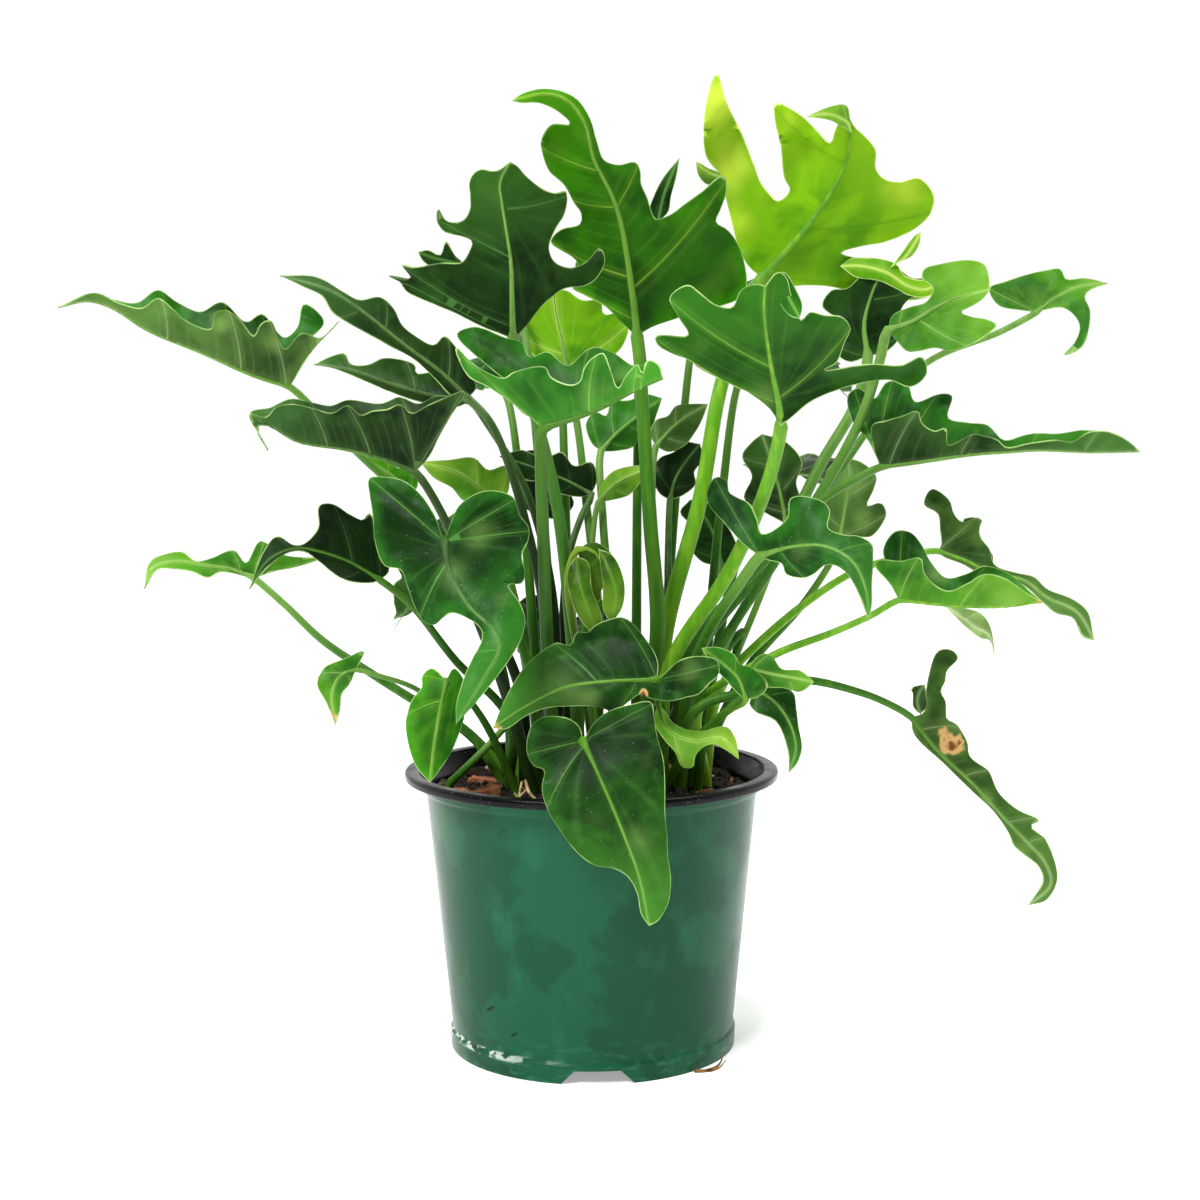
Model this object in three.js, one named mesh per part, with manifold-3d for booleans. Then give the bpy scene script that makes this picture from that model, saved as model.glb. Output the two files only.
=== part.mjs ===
// Little hope philodendron in a two-tone nursery pot.
// Millimetres, +Z up. The viewer of the reference picture stands on the -Y side, with +X to
// the right. Everything is laid out from the pot's axis, and is moved over at the end so that
// the origin is on the surface the pot stands on, below the middle of the whole plant's box.

import * as THREE from 'three';
import { mergeVertices } from 'three/addons/utils/BufferGeometryUtils.js';
import Module from 'manifold-3d';

const wasm = await Module();
wasm.setup();

// Driving dimensions of the pot
const RIM_RADIUS = 105;
const POT_HEIGHT = 157.3;
const LIP_HEIGHT = 5;
const LIP_INNER_RADIUS = 97.5;
const COLLAR_RADIUS = 97.4;
const COLLAR_FOOT_RADIUS = 96;
const COLLAR_HEIGHT = 6;
const WALL_TOP_RADIUS = 93.2;
const WALL_BASE_RADIUS = 79.6;
const SKIRT_RADIUS = 81;
const SKIRT_HEIGHT = 10;
const SKIRT_FLARE = 0.4;
const EDGE_ROUND = 1;
const WALL_THICKNESS = 2.2;
const FLOOR_UNDERSIDE = 8;
const FLOOR_THICKNESS = 2;
const POT_SEGMENTS = 40;
const NOTCH_COUNT = 3;
const NOTCH_WIDTH_LOW = 40;
const NOTCH_WIDTH_HIGH = 25;
const NOTCH_HEIGHT = 7.3;
const NOTCH_TURN = 2;
const NOTCH_REACH = 13;
const NOTCH_OVERRUN = 4;
const DRAIN_HOLES = 6;
const DRAIN_RADIUS = 5;
const DRAIN_RING = 56;
const DRAIN_SIDES = 12;

// Driving dimensions of the crowns and the bark on the soil
const CROWN_DEPTH = 8;
const CROWN_HEIGHT = 13;
const CROWN_SEGMENTS = 12;
const CROWN_HOLE_TOP = 0.4;
const CROWNS = {
  crown_left: { x: -37, y: -4, radius: 4.8 },
  crown_centre: { x: 11, y: -8, radius: 7 },
  crown_right: { x: 44, y: -2, radius: 5 },
};
const CHIP_THICKNESS = 5;
const CHIP_SINK = 2.2;
const CHIP_HOLE_GROWTH = 2.6;
const CHIPS = {
  bark_chip_1: { x: -61, y: 14, length: 22, width: 13, turn: 10, tip: 8 },
  bark_chip_2: { x: -12, y: -62, length: 20, width: 11, turn: -15, tip: -6 },
  bark_chip_3: { x: 70, y: -46, length: 16, width: 10, turn: 65, tip: 6 },
  bark_chip_4: { x: -4, y: 76, length: 22, width: 12, turn: -30, tip: 7 },
};

// A crown's profile as shares of its radius and height, then a chip's outline as shares of
// its length and width
const CROWN_PROFILE = [[1, 0.23], [0.86, 0.31], [0.94, 0.4], [0.66, 0.55], [0.6, 0.75], [0, 1]];
const CHIP_OUTLINE = [[-0.5, -0.3], [-0.1, -0.5], [0.38, -0.42], [0.5, 0.05], [0.3, 0.5],
  [-0.36, 0.44]];

// Driving dimensions of the soil
const SOIL_TOP = 146;
const SOIL_LUMP = 2.2;
const SOIL_EDGE_DROP = 2;
const SOIL_GAP = 0.56;
const SOIL_RINGS = 7;
const SOIL_SEGMENTS = 36;
const CLEARANCE = 0.35;
const STALK_CLEARANCE = 0.42;

// The waves of the soil's surface: each one's share of the lumps' height, its reach along X
// and Y in millimetres, and where it starts
const SOIL_WAVES = [
  { share: 0.5, reachX: 11, reachY: 9, start: 1.3 },
  { share: 0.3, reachX: 5.1, reachY: -6.3, start: 0 },
  { share: 0.2, reachX: 3.7, reachY: 4.1, start: 1.6 },
];

// Driving dimensions of the leaves
const BLADE_THICKNESS = 0.9;
const CUP_SPAN = 40;
const RIB_SAMPLES = 60;
const STALK_SIDES = 6;
const STALK_DEPTH = 13;
const STALK_COLLAR = 3;
const STALK_STEPS = 7;
const STALK_TAPER_END = 0.87;
const STALK_GRIP = 1.5;
const RIB_STEPS = 5;

// Where the reference picture was taken from, found from the pot's rim and base
const VIEW = {
  distance: 1104.5,
  height: 352.5,
  side: 5.2,
  pitch: THREE.MathUtils.degToRad(5.226),
  roll: THREE.MathUtils.degToRad(-0.275),
  focal: 1979.7,
  centre: 600,
};
const MM_PER_PIXEL = VIEW.distance / VIEW.focal;

// The point that is seen at a pixel of the picture, on the upright plane y = depth
function seen(px, py, depth) {
  const forward = new THREE.Vector3(0, Math.cos(VIEW.pitch), -Math.sin(VIEW.pitch));
  const levelUp = new THREE.Vector3(0, Math.sin(VIEW.pitch), Math.cos(VIEW.pitch));
  const level = new THREE.Vector3(1, 0, 0);
  const cosine = Math.cos(VIEW.roll);
  const sine = Math.sin(VIEW.roll);
  const right = level.clone().multiplyScalar(cosine).addScaledVector(levelUp, sine);
  const up = levelUp.clone().multiplyScalar(cosine).addScaledVector(level, -sine);
  const ray = forward
    .addScaledVector(right, (px - VIEW.centre) / VIEW.focal)
    .addScaledVector(up, (VIEW.centre - py) / VIEW.focal);
  const eye = new THREE.Vector3(VIEW.side, -VIEW.distance, VIEW.height);
  return eye.addScaledVector(ray, (depth + VIEW.distance) / ray.y);
}

// Leaves as measured in the picture. rib runs from the stalk's joint to the tip as
// [px, py, depth]; each margin runs from the joint to the tip as [px, py] with an
// optional depth of its own; lean is the depth gained per millimetre away from the rib, and
// cup the depth added at CUP_SPAN millimetres from it; root is where the stalk stands in the
// soil, and girth its radius at the soil and at the joint. Pixels are of a 1200 x 1200 picture.
const LEAVES = {
  leaf_far_left_high: {
    root: [-28, -8], girth: [3.2, 2.0],
    stalk: [[520, 640], [440, 530], [360, 455], [312, 407]],
    rib: [[290, 387, -25], [254, 375, -30], [201, 352, -38], [147, 330, -46], [112, 308, -52],
      [88, 301, -56], [58, 307, -62]],
    lean: [-0.55, 0.9], cup: [-2, 4],
    first: [[306, 360], [318, 344], [340, 320], [321, 338], [302, 333], [285, 349], [270, 320],
      [260, 325], [254, 336], [241, 321], [227, 310], [215, 313], [211, 329], [185, 320],
      [174, 310], [158, 298], [142, 308], [122, 304], [94, 293]],
    second: [[297, 352], [324, 322], [304, 304], [297, 328], [284, 338], [262, 314], [246, 322],
      [222, 302], [200, 312], [178, 303], [158, 290], [136, 303], [92, 296]],
  },
  leaf_left_inner_upper: {
    root: [-24, 2], girth: [3.4, 2.2], tone: 'dark',
    stalk: [[548, 640], [525, 520], [492, 425]],
    rib: [[468, 398, 22], [440, 372, 18], [405, 346, 12], [368, 316, 6], [330, 291, 0],
      [280, 276, -6]],
    lean: [0.6, -0.5], cup: [4, -2],
    first: [[476, 388], [469, 368], [456, 347], [444, 336], [434, 345], [415, 336], [402, 325],
      [394, 309], [380, 297], [359, 300], [343, 292], [316, 277]],
    second: [[452, 396], [436, 380], [415, 360], [388, 345], [361, 330], [333, 313], [322, 296],
      [302, 286]],
  },
  leaf_left_inner_lower: {
    root: [-32, 10], girth: [3.2, 2.0], tone: 'dark',
    stalk: [[556, 640], [530, 500], [488, 425]],
    rib: [[470, 402, 52], [442, 398, 48], [388, 383, 40], [350, 370, 34], [314, 365, 28]],
    lean: [0.8, -0.4], cup: [4, 0],
    first: [[462, 385], [440, 372], [416, 373], [415, 365], [385, 358], [367, 365], [350, 364],
      [345, 354], [330, 357]],
    second: [[452, 408], [420, 402], [388, 391], [360, 379], [335, 369]],
  },
  leaf_left_middle: {
    root: [-37, -15], girth: [3.4, 2.3], tone: 'dark',
    stalk: [[520, 690], [470, 580], [440, 510]],
    rib: [[415, 472, -66], [388, 460, -70], [348, 449, -76], [297, 441, -84], [268, 425, -88],
      [256, 426, -90], [268, 450, -90]],
    lean: [-0.45, 0.95], cup: [-2, 4],
    first: [[428, 458], [446, 424], [465, 391], [442, 399], [428, 405], [412, 413], [400, 404],
      [388, 409], [372, 411], [361, 415], [348, 405], [332, 413], [313, 408], [292, 404],
      [276, 407], [266, 417], [249, 414]],
    second: [[426, 450], [436, 418], [452, 398], [436, 396], [418, 404], [400, 397], [380, 404],
      [348, 400], [330, 406], [310, 402], [290, 399], [270, 408], [250, 413]],
  },
  leaf_left_lower_dark: {
    root: [-46, -14], girth: [3.0, 2.0], tone: 'dark',
    stalk: [[510, 720], [455, 660], [412, 606]],
    rib: [[380, 580, -58], [352, 563, -64], [322, 552, -70], [295, 548, -74], [268, 560, -78],
      [249, 589, -80]],
    lean: [0.5, -0.7], cup: [3, -2],
    first: [[389, 572], [383, 545], [369, 513], [363, 520], [349, 514], [333, 504], [319, 506],
      [318, 528], [305, 543], [294, 545], [277, 536], [263, 553]],
    second: [[372, 583], [347, 581], [333, 573], [317, 560], [305, 552], [289, 552], [268, 567]],
  },
  leaf_far_left_low: {
    root: [-44, 2], girth: [3.2, 2.0],
    stalk: [[462, 728], [412, 699], [366, 670], [322, 640], [284, 604]],
    rib: [[252, 577, 30], [232, 569, 30], [205, 565, 28], [176, 561, 26], [152, 568, 24],
      [144, 589, 22]],
    lean: [0.6, -0.7], cup: [3, -2],
    first: [[272, 572], [300, 566], [319, 559], [284, 555], [260, 541], [246, 563], [234, 550],
      [212, 558], [196, 561], [182, 552], [166, 554], [150, 562]],
    second: [[262, 586], [246, 577], [220, 572], [208, 578], [193, 572], [174, 569], [158, 569]],
  },
  leaf_front_left_heart: {
    root: [-32, -26], girth: [3.8, 2.6], tone: 'dark',
    stalk: [[505, 690], [470, 600], [452, 556]],
    rib: [[444, 542, -92], [450, 572, -100], [468, 605, -110], [492, 629, -120],
      [499, 648, -126], [484, 678, -134], [456, 724, -144]],
    lean: [0.25, 0.3], cup: [3, 3],
    first: [[434, 514], [421, 495], [404, 481], [385, 477], [369, 478], [370, 495], [373, 517],
      [375, 541], [385, 566], [401, 570], [408, 588], [415, 607], [423, 621], [434, 625],
      [443, 618], [451, 613], [467, 618], [481, 629], [482, 640], [473, 657], [463, 681],
      [456, 706]],
    second: [[451, 522], [459, 506], [478, 493], [497, 491], [514, 498], [519, 514], [529, 528],
      [528, 541], [522, 555], [525, 572], [522, 583], [508, 585], [519, 602], [525, 618],
      [522, 637], [511, 657], [495, 679], [473, 706]],
  },
  leaf_small_bright_left: {
    root: [-42, -24], girth: [2.6, 1.8], tone: 'bright',
    stalk: [[488, 728], [464, 694]],
    rib: [[446, 680, -60], [440, 710, -64], [434, 745, -67], [430, 783, -70]],
    lean: [0.3, 0.4], cup: [2, 2],
    first: [[432, 668], [422, 676], [422, 687], [412, 700], [406, 720], [408, 742], [416, 766]],
    second: [[454, 668], [466, 686], [465, 712], [456, 742], [445, 762]],
  },
  leaf_tiny_damaged: {
    root: [-50, -6], girth: [2.0, 1.4],
    stalk: [[470, 736], [418, 690], [380, 676]],
    rib: [[356, 670, -6], [342, 674, -8], [332, 692, -10], [335, 725, -12]],
    lean: [0.3, -0.4], cup: [0, 0],
    first: [[364, 651], [346, 658], [324, 668], [317, 684], [326, 702]],
    second: [[350, 684], [342, 694], [340, 710]],
  },
  leaf_front_centre: {
    root: [24, -10], girth: [3.8, 2.8], tone: 'dark',
    stalk: [[654, 735, -20], [660, 706, -33]],
    rib: [[657, 680, -66], [610, 681, -80], [562, 688, -92], [526, 706, -100], [493, 728, -108]],
    lean: [0.85, -0.6], cup: [3, 0],
    first: [[658, 664], [651, 647], [625, 618], [607, 620], [594, 626], [588, 632], [577, 632],
      [570, 645], [557, 643], [542, 651], [526, 665], [513, 684], [502, 706]],
    second: [[665, 673], [680, 660], [701, 656], [717, 660], [719, 674], [709, 684], [699, 694],
      [688, 697], [672, 701], [651, 699], [641, 694], [625, 705], [615, 712], [599, 707],
      [573, 706], [547, 708], [526, 716], [506, 729]],
  },
  leaf_front_over_rim: {
    root: [8, -40], girth: [3.8, 2.8], tone: 'dark',
    stalk: [[594, 765], [588, 752]],
    rib: [[583, 741, -99], [600, 778, -112], [622, 830, -121], [640, 880, -128],
      [649, 926, -134]],
    lean: [0.08, 0.08], cup: [1, 1],
    first: [[580, 728], [570, 719], [552, 716], [539, 719], [532, 725], [527, 741], [527, 754],
      [534, 766], [544, 770], [542, 788], [547, 809], [560, 830], [573, 848], [594, 865],
      [615, 869], [628, 877], [637, 893], [641, 914]],
    second: [[594, 723], [607, 712], [628, 705], [651, 702], [654, 715], [657, 736], [663, 757],
      [665, 783], [665, 809], [667, 835], [668, 856], [671, 882], [668, 903], [659, 920]],
  },
  leaf_front_right_light: {
    root: [29, -21], girth: [2.6, 1.8], tone: 'bright',
    stalk: [[664, 740], [657, 712]],
    rib: [[658, 703, -58], [668, 730, -62], [695, 741, -66], [722, 738, -68], [739, 759, -70]],
    lean: [-0.5, 0.5], cup: [0, 2],
    first: [[654, 722], [665, 741], [675, 752], [682, 767], [693, 767], [695, 757], [701, 749],
      [712, 744], [726, 750]],
    second: [[664, 710], [672, 722], [685, 729], [704, 731], [714, 728], [727, 727], [736, 740]],
  },
  leaf_mid_cup: {
    root: [-20, -26], girth: [3.8, 3.2],
    stalk: [[551, 700], [547, 640], [543, 530], [541, 460]],
    rib: [[543, 428, -92], [576, 417, -96], [605, 406, -100], [634, 391, -103],
      [663, 378, -106]],
    lean: [-0.35, 0.5], cup: [0, 2],
    first: [[528, 416], [508, 400], [488, 387], [468, 376], [455, 347], [478, 367], [504, 378],
      [514, 372], [545, 367], [551, 377], [571, 385], [580, 381], [584, 368], [592, 358],
      [603, 353], [610, 368], [618, 388], [625, 377], [638, 364], [642, 373], [648, 360],
      [659, 365]],
    second: [[520, 392], [490, 368], [457, 334], [473, 327], [484, 329], [506, 338], [521, 342],
      [530, 357], [548, 352], [568, 366], [590, 348], [612, 352], [634, 366], [652, 364]],
  },
  leaf_top_left_dark: {
    root: [-6, -14], girth: [3.8, 3.1], tone: 'dark',
    stalk: [[572, 640, -18], [556, 500, -30], [528, 390, -42]],
    rib: [[513, 338, -47], [512, 300, -60], [511, 264, -72], [502, 203, -90], [500, 183, -94],
      [510, 162, -92]],
    lean: [0.3, 0.35], cup: [3, 3],
    first: [[500, 333], [486, 328], [451, 311], [421, 299], [406, 291], [400, 281], [389, 275],
      [411, 278], [402, 264], [413, 267], [441, 263], [462, 262], [470, 250], [472, 241],
      [462, 236], [445, 232], [437, 220], [438, 209], [447, 221], [462, 221], [470, 209],
      [470, 195], [469, 183], [474, 173], [482, 169], [492, 171], [499, 170]],
    second: [[521, 332], [543, 305], [564, 289], [584, 286], [596, 279], [605, 260], [600, 248],
      [586, 262], [570, 268], [555, 262], [549, 248], [555, 230], [564, 215], [567, 201],
      [566, 191], [555, 193], [543, 189], [527, 177], [517, 166]],
  },
  leaf_top_centre: {
    root: [23.5, 2], girth: [4.8, 3.7],
    stalk: [[657, 640], [650, 520], [642, 400], [640, 360]],
    rib: [[637, 336, 14], [633, 299, 6], [621, 224, -8], [612, 196, -16], [594, 160, -26],
      [584, 122, -36], [566, 100, -42], [543, 94, -46], [512, 101, -48]],
    lean: [0.3, 0.35], cup: [3, 3],
    first: [[625, 326], [604, 305], [584, 295], [572, 287], [577, 262], [551, 242], [560, 230],
      [580, 224], [581, 213], [574, 203], [564, 185], [549, 171], [542, 152], [541, 142],
      [551, 125], [570, 124], [560, 113], [539, 103], [522, 103]],
    second: [[650, 328], [690, 314], [744, 294], [741, 251], [728, 230], [716, 222], [721, 208],
      [726, 193], [723, 176], [700, 193], [686, 203], [670, 215], [655, 219], [652, 213],
      [647, 197], [641, 183], [640, 171], [635, 162], [619, 165], [604, 160], [597, 142],
      [589, 117], [574, 97], [545, 89], [522, 94]],
  },
  leaf_top_right_bright: {
    root: [38, 8.5], girth: [5.2, 4.0], tone: 'bright',
    stalk: [[664, 640], [700, 500], [720, 390], [742, 320]],
    rib: [[763, 277, 66], [786, 251, 58], [809, 224, 48], [832, 190, 36], [846, 160, 28],
      [850, 138, 22], [846, 112, 14]],
    lean: [0.3, 0.3], cup: [3, 3],
    first: [[754, 272], [741, 254], [726, 199], [720, 175], [706, 156], [706, 104], [717, 74],
      [726, 101], [741, 132], [753, 162], [760, 182], [769, 193], [778, 201], [790, 190],
      [784, 178], [781, 147], [775, 120], [775, 103], [802, 116], [818, 132], [830, 143],
      [836, 128]],
    second: [[776, 287], [808, 285], [838, 288], [866, 297], [892, 300], [914, 300], [932, 295],
      [942, 283], [940, 275], [922, 279], [905, 276], [893, 264], [874, 258], [852, 257],
      [841, 253], [862, 246], [885, 242], [913, 230], [930, 214], [934, 196], [919, 178],
      [900, 182], [885, 179], [876, 169], [876, 150], [864, 135], [854, 126]],
  },
  leaf_back_light: {
    root: [2, 24], girth: [3.2, 2.2], tone: 'bright',
    stalk: [[600, 640, 42], [586, 500, 78], [578, 430, 88]],
    rib: [[566, 366, 92], [562, 340, 94], [557, 318, 94], [553, 290, 90]],
    lean: [0.3, 0.3], cup: [3, 3],
    first: [[548, 364], [530, 352], [521, 334], [526, 316], [536, 312], [534, 300], [543, 294]],
    second: [[592, 366], [618, 352], [629, 328], [622, 312], [604, 314], [600, 300], [582, 300],
      [566, 290]],
  },
  leaf_right_centre_big: {
    root: [38, -12.5], girth: [4.8, 3.6],
    stalk: [[668, 672, -14], [730, 570, -32], [768, 482, -64]],
    rib: [[781, 426, -78], [778, 401, -88], [769, 355, -104], [764, 309, -122],
      [765, 286, -130]],
    lean: [0.3, 0.3], cup: [3, 3],
    first: [[769, 408], [746, 391], [718, 378], [686, 359], [658, 345], [656, 336], [688, 335],
      [678, 316], [670, 297], [688, 285], [700, 293], [716, 305], [732, 307], [741, 290],
      [756, 284]],
    second: [[792, 417], [812, 401], [847, 387], [888, 380], [911, 387], [927, 373], [922, 357],
      [902, 365], [870, 364], [824, 370], [837, 362], [844, 343], [850, 327], [842, 317],
      [824, 315], [810, 312], [801, 320], [792, 298], [786, 277], [778, 272]],
  },
  leaf_right_dark_behind: {
    root: [49, 18.5], girth: [3.9, 3.2], tone: 'dark',
    stalk: [[690, 650, 22], [770, 560, 34], [822, 462, 44], [856, 403, 48]],
    rib: [[868, 356, 50], [864, 325, 52], [872, 293, 52], [886, 262, 48]],
    lean: [0.4, 0.3], cup: [3, 3],
    first: [[850, 362], [838, 355], [834, 338], [846, 326], [822, 306], [832, 290], [847, 288],
      [865, 272]],
    second: [[886, 352], [900, 336], [898, 318], [908, 300], [930, 294], [941, 277], [912, 278],
      [898, 268]],
  },
  leaf_right_upper: {
    root: [50, 8], girth: [3.4, 2.8],
    stalk: [[700, 650, 8], [790, 540, 16], [858, 425, 6], [880, 360, -8]],
    rib: [[888, 330, -18], [914, 321, -22], [941, 305, -24], [965, 296, -25], [990, 290, -26]],
    lean: [0.35, -0.4], cup: [3, -2],
    first: [[892, 316], [910, 307], [926, 302], [933, 288], [922, 278], [924, 269], [941, 264],
      [970, 260], [985, 265], [989, 277]],
    second: [[896, 340], [907, 351], [918, 351], [937, 348], [950, 351], [970, 345], [985, 336],
      [997, 325], [985, 319], [972, 317], [961, 312], [972, 306], [983, 299]],
  },
  leaf_far_right_top: {
    root: [59, 13], girth: [3.0, 1.9],
    stalk: [[722, 650, 24], [840, 470, 66], [922, 366, 76], [1000, 332, 70]],
    rib: [[1037, 312, 64], [1056, 297, 63], [1080, 286, 60], [1108, 283, 56]],
    lean: [0.4, -0.6], cup: [2, -4],
    first: [[1018, 310], [998, 305], [989, 288], [1004, 282], [1026, 275], [1048, 270],
      [1061, 269], [1066, 279], [1084, 278]],
    second: [[1048, 309], [1063, 308], [1074, 315], [1080, 327], [1075, 342], [1064, 355],
      [1082, 347], [1089, 328], [1090, 310], [1085, 296], [1092, 289]],
  },
  leaf_far_right_long: {
    root: [55, -2], girth: [3.4, 2.2],
    stalk: [[705, 680, -8], [770, 570, -14], [820, 502, -16], [858, 478, -10]],
    rib: [[881, 467, -4], [928, 460, -8], [972, 454, -12], [1004, 452, -14], [1037, 450, -16],
      [1090, 452, -20], [1140, 451, -24]],
    lean: [-0.5, 0.6], cup: [-2, 3],
    first: [[874, 450], [872, 425], [885, 421], [902, 416], [918, 411], [922, 423], [935, 431],
      [946, 428], [948, 445], [959, 441], [972, 434], [985, 436], [998, 440], [1006, 447],
      [1030, 443], [1058, 440], [1071, 442], [1089, 432], [1104, 431], [1124, 438]],
    second: [[868, 440], [852, 421], [848, 395], [859, 388], [874, 399], [887, 382], [907, 384],
      [915, 402], [939, 394], [952, 396], [948, 418], [970, 423], [987, 425], [1004, 440],
      [1022, 436], [1037, 433], [1056, 434], [1090, 430], [1120, 438]],
  },
  leaf_mid_right_behind: {
    root: [60, 24], girth: [3.0, 2.0],
    stalk: [[748, 668], [803, 604], [834, 556]],
    rib: [[840, 536, 94], [845, 508, 95], [850, 482, 94], [848, 458, 92]],
    lean: [0.3, 0.3], cup: [2, 2],
    first: [[824, 528], [812, 500], [822, 484], [830, 466]],
    second: [[858, 537], [872, 536], [886, 514], [881, 503], [867, 506], [874, 488], [876, 476],
      [861, 462]],
  },
  leaf_front_right: {
    root: [49.5, -12], girth: [3.6, 3.0], tone: 'dark',
    stalk: [[686, 702, -16], [704, 640, -42], [742, 580, -72]],
    rib: [[760, 556, -78], [790, 547, -92], [825, 546, -104], [853, 562, -114],
      [866, 590, -120], [869, 621, -122]],
    lean: [0.5, -0.4], cup: [3, 0],
    first: [[743, 544], [729, 528], [716, 514], [709, 505], [707, 492], [716, 477], [727, 481],
      [729, 492], [738, 498], [749, 503], [757, 519], [762, 534], [787, 519], [790, 499],
      [801, 496], [823, 502], [830, 511], [828, 528], [844, 535], [858, 536], [872, 544],
      [873, 556], [872, 583], [872, 604]],
    second: [[768, 560], [782, 564], [786, 574], [803, 578], [814, 574], [825, 565], [839, 567],
      [850, 578], [861, 600]],
  },
  leaf_right_low: {
    root: [64.5, -7.5], girth: [3.0, 1.9],
    stalk: [[700, 706], [770, 657], [834, 632], [872, 615]],
    rib: [[899, 600, -36], [930, 603, -40], [962, 606, -44], [1000, 607, -48], [1042, 602, -52]],
    lean: [-0.4, 0.9], cup: [0, 4],
    first: [[890, 584], [875, 566], [877, 560], [900, 561], [921, 558], [924, 572], [935, 585],
      [949, 591], [968, 583], [984, 574], [1004, 578], [1024, 591]],
    second: [[892, 574], [883, 552], [894, 532], [910, 532], [921, 544], [930, 561], [946, 578],
      [966, 574], [984, 566], [1006, 572], [1028, 590]],
  },
  leaf_right_outer: {
    root: [64.5, 3.5], girth: [3.0, 1.9],
    stalk: [[720, 690], [762, 640], [850, 574], [910, 555]],
    rib: [[937, 551, 20], [962, 560, 18], [990, 573, 14], [1024, 581, 10], [1047, 598, 6],
      [1076, 612, 2], [1094, 641, -2]],
    lean: [0.4, -1.0], cup: [2, -2],
    first: [[941, 546], [940, 530], [938, 514], [924, 504], [932, 489], [949, 500], [954, 514],
      [962, 522], [979, 518], [980, 536], [990, 550], [995, 565], [1017, 573], [1034, 577],
      [1047, 589], [1072, 599], [1087, 611]],
    second: [[944, 557], [962, 564], [988, 578], [1022, 585], [1042, 602], [1056, 613],
      [1073, 618], [1082, 636]],
  },
  leaf_far_right_drooping: {
    root: [49, -22.5], girth: [3.4, 2.0], tone: 'bright',
    stalk: [[694, 712], [745, 692], [800, 680], [862, 693], [893, 706]],
    rib: [[911, 717, -30], [934, 748, -32], [975, 787, -34], [1004, 819, -35], [1026, 842, -35],
      [1044, 862, -35], [1050, 884, -34], [1028, 905, -32]],
    lean: [0.5, -0.6], cup: [2, -2],
    first: [[924, 712], [926, 690], [938, 651], [952, 650], [958, 658], [947, 671], [945, 682],
      [941, 691], [946, 702], [947, 719], [956, 724], [967, 741], [970, 756], [989, 772],
      [999, 793], [1017, 809], [1039, 821], [1031, 826], [1045, 839], [1053, 856], [1057, 880],
      [1046, 900]],
    second: [[914, 734], [944, 764], [976, 795], [993, 811], [1008, 832], [1014, 846],
      [1026, 856], [1038, 866], [1043, 880]],
  },
  leaf_right_lower_dark: {
    root: [59, -17], girth: [2.8, 1.9], tone: 'dark',
    stalk: [[706, 735, -26], [736, 703, -40]],
    rib: [[757, 690, -46], [776, 703, -50], [790, 724, -54], [796, 748, -56], [789, 773, -56]],
    lean: [-0.4, 0.4], cup: [0, 2],
    first: [[749, 703], [756, 712], [774, 720], [781, 730], [788, 752]],
    second: [[766, 684], [793, 692], [796, 707], [799, 728], [802, 748], [797, 764]],
  },
  leaf_small_folded: {
    root: [39, -25], girth: [2.6, 1.8], tone: 'bright',
    stalk: [[700, 735], [730, 710]],
    rib: [[746, 700, -72], [738, 678, -76], [722, 663, -80], [702, 648, -84]],
    lean: [0.4, -0.4], cup: [0, 0],
    first: [[758, 697], [768, 686], [752, 668], [740, 664], [735, 655], [717, 647]],
    second: [[736, 692], [722, 676], [712, 666]],
  },
  leaf_young_drooping: {
    root: [6, -25], girth: [3.2, 2.0], tone: 'bright',
    stalk: [[590, 700, -28], [572, 620, -34], [568, 575, -38]],
    rib: [[578, 549, -40], [590, 549, -42], [601, 560, -43], [607, 576, -43], [612, 596, -42]],
    lean: [0.3, 0.5], cup: [0, 0],
    first: [[579, 560], [575, 580], [583, 604], [588, 584], [592, 602], [601, 600], [602, 588]],
    second: [[592, 542], [606, 548], [616, 562], [617, 580]],
  },
  leaf_inner_bright: {
    root: [12, 14], girth: [3.2, 2.2], tone: 'bright',
    stalk: [[612, 640], [603, 520]],
    rib: [[601, 451, 62], [616, 434, 64], [638, 416, 66], [662, 398, 66]],
    lean: [0.4, 0.4], cup: [2, 2],
    first: [[592, 444], [586, 424], [596, 412], [606, 416], [612, 402], [630, 400], [644, 394]],
    second: [[616, 451], [634, 446], [640, 432], [650, 432], [656, 416]],
  },
  leaf_inner_dark: {
    root: [-20, 18], girth: [3.0, 2.0], tone: 'dark',
    stalk: [[562, 640, 33], [568, 560, 44], [582, 515, 54]],
    rib: [[592, 494, 60], [566, 480, 60], [536, 468, 56], [500, 456, 50]],
    lean: [0.5, -0.3], cup: [2, 0],
    first: [[597, 480], [592, 462], [574, 466], [562, 452], [544, 458], [522, 450]],
    second: [[580, 497], [556, 492], [546, 482], [526, 480], [512, 466]],
  },
  leaf_inner_right_pale: {
    root: [28, 17], girth: [3.0, 2.0], tone: 'bright',
    stalk: [[654, 640], [652, 520]],
    rib: [[656, 446, 64], [668, 432, 64], [684, 418, 64], [708, 404, 62]],
    lean: [0.3, 0.3], cup: [2, 2],
    first: [[650, 434], [656, 420], [668, 416], [676, 406], [692, 404]],
    second: [[668, 452], [684, 446], [694, 434], [702, 420]],
  },
  leaf_inner_right_dark: {
    root: [39, 20.5], girth: [3.0, 2.0], tone: 'dark',
    stalk: [[668, 640], [668, 560]],
    rib: [[670, 500, 72], [674, 482, 72], [684, 464, 72], [700, 444, 70]],
    lean: [0.3, 0.3], cup: [2, 2],
    first: [[660, 494], [652, 474], [660, 458], [674, 452], [684, 442]],
    second: [[682, 496], [696, 484], [694, 472], [704, 458]],
  },
  leaf_behind_heart_light: {
    root: [-41, 12], girth: [2.8, 1.9], tone: 'bright',
    stalk: [[526, 660], [506, 560]],
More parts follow.
